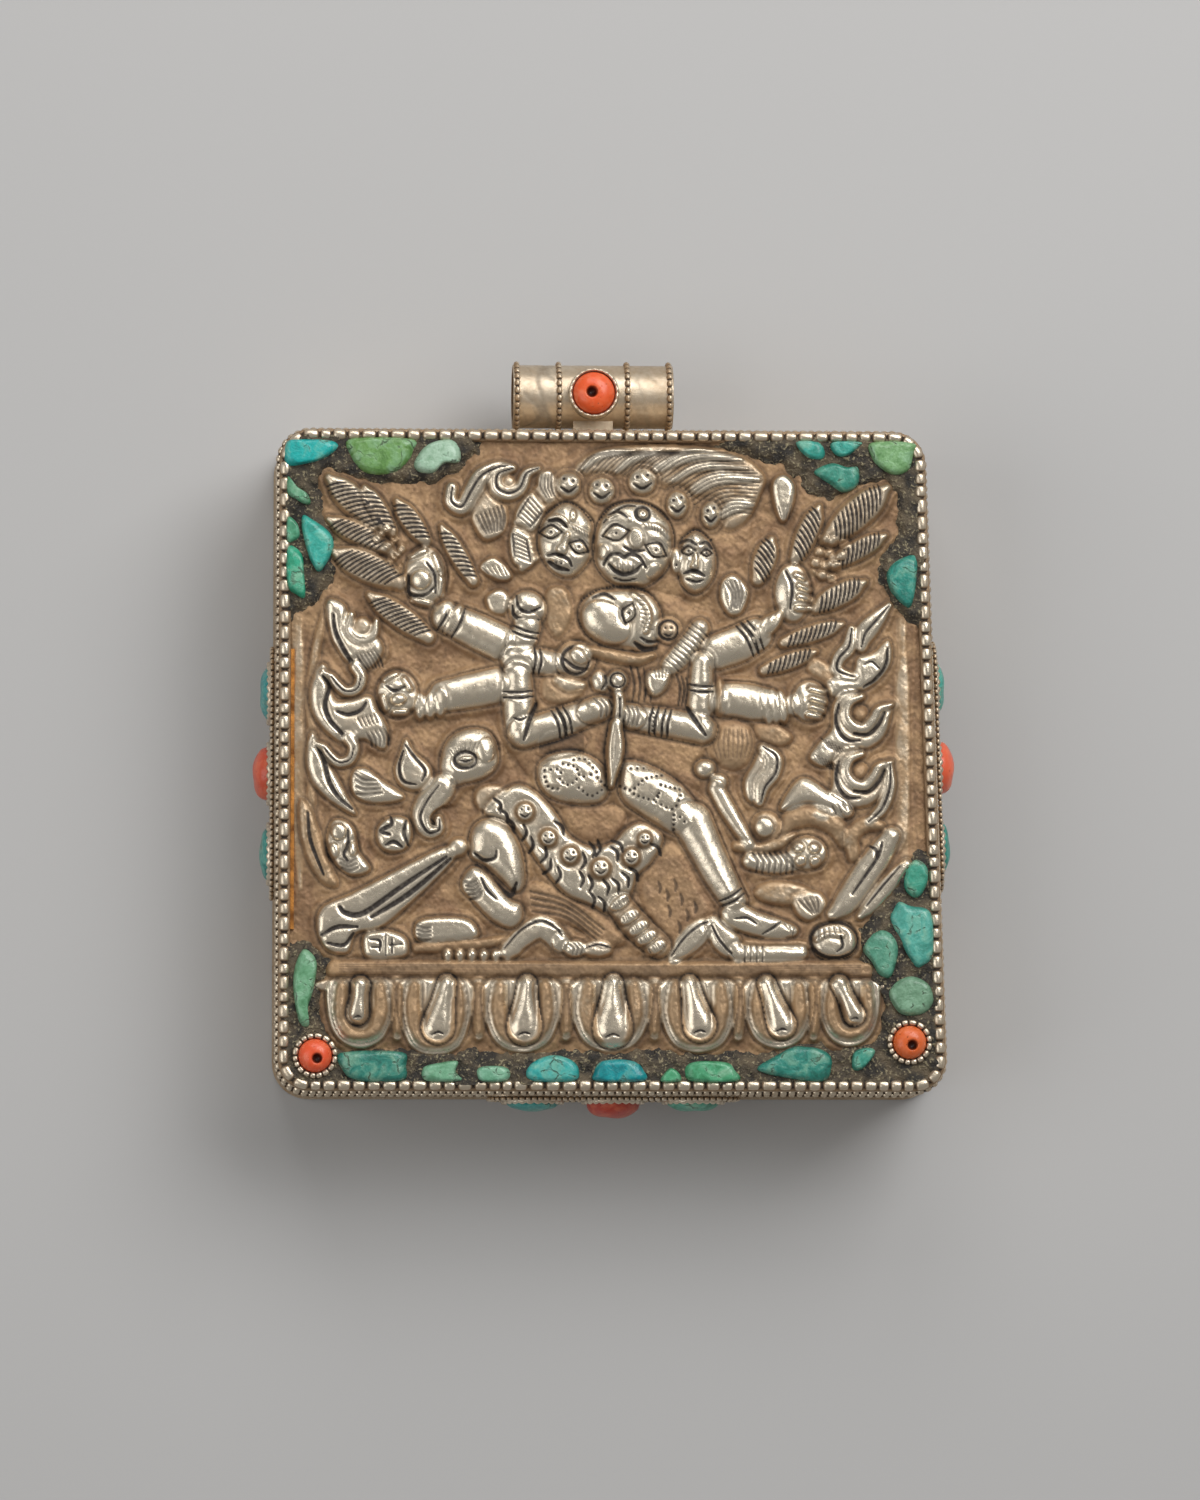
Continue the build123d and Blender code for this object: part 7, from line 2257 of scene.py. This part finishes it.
@dataclass
class FrontSheet:
    """The front sheet with its relief, as four tiles and a plain inner face."""

    outline: CaseOutline
    silver: bpy.types.Material
    plain: bpy.types.Material
    step: float = 0.11
    thickness: float = 0.7
    highest: float = 2.28
    level_off: float = 1.7
    margin: float = 0.7
    inner_margin: float = 0.75
    inner_every: int = 6
    hammer_seed: int = 2
    near: float = 0.12
    wide: float = 1.0
    rubbed: float = 0.16
    softened: float = 0.65
    hammer: Point = (0.9, 0.018)
    fine_hammer: Point = (0.25, 0.005)
    ground_swell: float = 0.3
    ground_lumps: Point = (1.1, 0.1)
    ground_grain: Point = (0.35, 0.05)
    steep: Point = (0.7, 2.2)
    deep: float = 0.5
    # depth of hollow that gets full painted shade
    painted_cavity_shade_depth: float = 0.3

    def build(self) -> None:
        """Work the sheet, then cut it into tiles that share their shading normals."""
        outline, margin = self.outline, self.margin
        sheet = ChasedSheet(outline.left + margin, outline.right - margin, outline.bottom + margin,
                            outline.top - margin, self.step)
        Figures(sheet).work()
        self.weather(sheet)
        room = self.highest - self.level_off
        eased = self.level_off + room * np.tanh(np.maximum(sheet.height - self.level_off, 0) / room)
        height = np.minimum(sheet.height, eased)
        slope_y, slope_x = np.gradient(height, self.step)
        normals = np.dstack([-slope_x, -slope_y, np.ones_like(slope_x)])
        normals /= np.linalg.norm(normals, axis=2, keepdims=True)
        points = np.dstack([sheet.x, sheet.y, outline.front + height])
        keep = outline.inset(sheet.x, sheet.y) > margin
        rows, columns = height.shape
        for row, across in ((0, "lower"), (1, "upper")):
            for column, side in ((0, "left"), (1, "right")):
                part = (slice(row * (rows // 2), rows // 2 + 1 if row == 0 else rows),
                        slice(column * (columns // 2), columns // 2 + 1 if column == 0 else columns))
                marks = {"polish": sheet.polish[part], "soot_and_shade": sheet.soot_and_shade[part],
                         "nx": normals[part][..., 0], "ny": normals[part][..., 1],
                         "nz": normals[part][..., 2]}
                flipped = {name: value[:, ::-1] for name, value in marks.items()}
                tile = kept(Surface.grid(points[part][:, ::-1], marks=flipped), keep[part][:, ::-1])
                shading = np.hstack([tile.marks.pop(name) for name in ("nx", "ny", "nz")])
                tile.piece(f"relief_{across}_{side}", self.silver, Slot.SILVER, "front_sheet",
                           normals=shading)
        self.inner_face(sheet, height)

    def weather(self, sheet: ChasedSheet) -> None:
        """Soften the work, add hammer marks, leave dirt in what lies lower and paint shade into small
        hollows.

        Args:
            sheet: the worked sheet, which is changed.
        """
        rng = np.random.default_rng(self.hammer_seed)
        near, wide = self.soft(sheet.height, self.near), self.soft(sheet.height, self.wide)
        ground = 1 - np.clip(self.soft(sheet.polish, 0.15), 0, 1)
        softer = (1 - self.softened) * sheet.height + self.softened * near
        sheet.height = softer + self.lumps(sheet, self.hammer, rng)
        sheet.height += self.lumps(sheet, self.fine_hammer, rng)
        worked = self.ground_swell * np.clip(wide, 0, None) + self.lumps(sheet, self.ground_lumps, rng)
        sheet.height += ground * (worked + self.lumps(sheet, self.ground_grain, rng))
        slope = np.hypot(*np.gradient(self.soft(sheet.height, self.rubbed), self.step))
        hollow = np.clip((wide - near) / self.deep, 0, 1)
        proud = np.clip((near - wide) / self.deep, 0, 1)
        flank = smooth_step(*self.steep, slope)
        polish = self.soft(sheet.polish, self.rubbed)
        sheet.polish = np.clip(polish * (1 + 0.3 * proud - 0.6 * flank) - 0.5 * hollow, 0, 1)
        # painted shade: what lies below its close surroundings is darkened, as ambient occlusion would darken
        # it
        sunk = self.soft(sheet.height, 0.4) - self.soft(sheet.height, 0.08)
        sheet.soot_and_shade = np.clip(sheet.soot_and_shade + 0.4 * np.clip(sunk / self.painted_cavity_shade_depth, 0, 1), 0, 1)

    def soft(self, values: Array, size: float) -> Array:
        """Values over the sheet, spread by a bell of a size in millimetres."""
        return blurred(values, size / self.step)

    def lumps(self, sheet: ChasedSheet, lump: Point, rng: np.random.Generator) -> Array:
        """Smooth lumps over the sheet, of a size and a rise."""
        size, rise = lump
        return rise * cloud(sheet.height.shape, size / self.step, rng)

    def inner_face(self, sheet: ChasedSheet, height: Array) -> None:
        """The side that faces into the box: the relief seen hollow, softer and coarser.

        Args:
            sheet: the worked sheet.
            height: its height as it is built.
        """
        every = self.inner_every
        soft = self.soft(height, 0.5)[::every, ::every]
        x, y = sheet.x[::every, ::every], sheet.y[::every, ::every]
        points = np.dstack([x, y, self.outline.front - self.thickness + 0.6 * np.clip(soft, 0, None)])
        keep = self.outline.inset(x, y) > self.inner_margin
        kept(Surface.grid(points), keep).piece("relief_inner_face", self.plain, Slot.SILVER, "front_sheet")


def blurred(values: Array, size: float) -> Array:
    """Values spread by a bell of a size in cells, by way of their spectrum, with mirrored edges.

    Args:
        values: the values over the grid.
        size: size of the bell, in cells.

    Returns:
        The spread values.
    """
    pad = int(3 * size) + 2
    wide = np.pad(values, pad, mode="reflect")
    rows, columns = np.fft.fftfreq(wide.shape[0])[:, None], np.fft.rfftfreq(wide.shape[1])[None]
    bell = np.exp(-2 * (np.pi * size) ** 2 * (rows**2 + columns**2))
    return np.fft.irfft2(np.fft.rfft2(wide) * bell, wide.shape)[pad:-pad, pad:-pad]


@dataclass
class Studio:
    """Pale floor, soft light from the upper right and the camera above the box."""

    paper: Colour = linear(181, 180, 179)
    look_at: tuple[float, float, float] = (-1.0, 1.0, 16.0)
    distance: float = 700.0
    lean_left: float = 3.0
    lean_down: float = 4.0
    field_height: float = 150.0
    sensor: float = 36.0
    sky: Colour = linear(200, 199, 197)
    sky_strength: float = 0.44
    fibre: Colour = linear(182, 181, 180)
    floor_reach: float = 900.0
    floor_level: float = -0.15

    LAMPS = {
        "key": ((260, 300, 440), 380, 2.5),
        "fill": ((-420, -60, 380), 420, 0.9),
        "top_strip": ((-60, 420, 300), 260, 0.6),
    }

    def build(self) -> None:
        """Set the floor, the lamps, the world and the camera."""
        scene = bpy.context.scene
        scene.view_settings.view_transform = "Standard"
        self.floor()
        for name, (place, size, watts) in self.LAMPS.items():
            self.lamp(name, place, size, watts)
        world = bpy.data.worlds.new("studio")
        world.use_nodes = True
        sky = world.node_tree.nodes["Background"].inputs
        sky["Color"].default_value = (*self.sky, 1.0)
        sky["Strength"].default_value = self.sky_strength
        scene.world = world
        self.camera()

    def floor(self) -> None:
        """A sheet of paper under the box: a flat grid with a slow wave of a tenth of a millimetre."""
        run = np.linspace(-self.floor_reach, self.floor_reach, 40)
        x, y = np.meshgrid(run, run)
        points = np.dstack([x, y, self.floor_level + 0.05 * np.sin(x / 90) * np.sin(y / 70)])
        surface = Surface.grid(points[:, ::-1])
        mesh = bpy.data.meshes.new("paper")
        mesh.from_pydata((surface.vertices * MM).tolist(), [], surface.faces)
        nodes = Nodes("paper")
        colour = nodes.mix(nodes.grain(40.0, 3.0) * 0.15, self.paper, self.fibre)
        mesh.materials.append(nodes.surface(Base_Color=colour, Roughness=0.9))
        paper = bpy.data.objects.new("paper", mesh)
        bpy.context.scene.collection.objects.link(paper)

    def lamp(self, name: str, place: tuple[float, float, float], size: float, watts: float) -> None:
        """A square soft lamp that looks at the box.

        Args:
            name: the lamp's name.
            place: where it hangs.
            size: its width.
            watts: its power.
        """
        light = bpy.data.lights.new(name, "AREA")
        light.size = size * MM
        light.energy = watts
        lamp = bpy.data.objects.new(name, light)
        lamp.location = Vector(place) * MM
        lamp.rotation_euler = (-lamp.location).to_track_quat("-Z", "Y").to_euler()
        bpy.context.scene.collection.objects.link(lamp)

    def camera(self) -> None:
        """A long lens above the box, leaning a few degrees to its left and to its lower edge."""
        data = bpy.data.cameras.new("camera")
        data.sensor_width = self.sensor
        data.lens = data.sensor_width * self.distance / self.field_height
        camera = bpy.data.objects.new("camera", data)
        left, down = np.tan(np.radians([self.lean_left, self.lean_down]))
        back = Vector((-left, -down, 1.0)).normalized()
        right = Vector((0.0, 1.0, 0.0)).cross(back).normalized()
        camera.location = (Vector(self.look_at) + back * self.distance) * MM
        camera.rotation_euler = Matrix((right, back.cross(right), back)).transposed().to_euler()
        bpy.context.scene.collection.objects.link(camera)
        bpy.context.scene.camera = camera


def wall_settings(outline: CaseOutline, silver: bpy.types.Material, turquoise: bpy.types.Material,
                  coral: bpy.types.Material) -> list[WallSetting]:
    """The settings on the left, right and bottom walls, each set on its packed plate.

    Args:
        outline: the outline of the case.
        silver: finish of the cups and wires.
        turquoise: finish of the outer stones.
        coral: finish of the middle stones.

    Returns:
        The three settings.
    """
    lean = np.array([outline.top_right_reach - outline.right, outline.top - outline.bottom, 0.0])
    lean /= np.linalg.norm(lean)
    walls = {
        "left": ((0.0, 1.0, 0.0), (-1.0, 0.0, 0.0), [(60, 150, 140), (205, 80, 50), (50, 150, 150)]),
        "right": (lean, (lean[1], -lean[0], 0.0), [(50, 150, 135), (225, 95, 60), (70, 165, 150)]),
        "bottom": ((1.0, 0.0, 0.0), (0.0, -1.0, 0.0), [(55, 155, 150), (175, 55, 35), (80, 165, 140)]),
    }
    settings = []
    for wall, (along, out, tints) in walls.items():
        low, high = node_box(f"{wall}_plate")
        along, out = np.array(along), np.array(out)
        origin = (low + high) / 2 - WallSetting.plate / 2 * out
        settings.append(WallSetting(wall, origin, along, out, silver, turquoise, coral, tints))
    return settings


def main() -> None:
    """Build the pieces in order."""
    logging.basicConfig(level=logging.INFO, format="%(name)s %(message)s")
    silver = AgedSilver("silver_worked").material()
    plain = AgedSilver("silver_plain", worked=False).material()
    finishes = (Turquoise(), Coral(), Mastic(), Gilt())
    turquoise, coral, mastic, gilt = [finish.material() for finish in finishes]
    outline = CaseOutline()
    FrontSheet(outline, silver, plain).build()
    SilverCase(outline, silver, plain, gilt).build()
    Stones(outline, turquoise, coral, mastic, silver).build()
    Bail(silver, coral).build()
    for setting in wall_settings(outline, silver, turquoise, coral):
        setting.build()
    Studio().build()


if __name__ == "__main__":
    main()
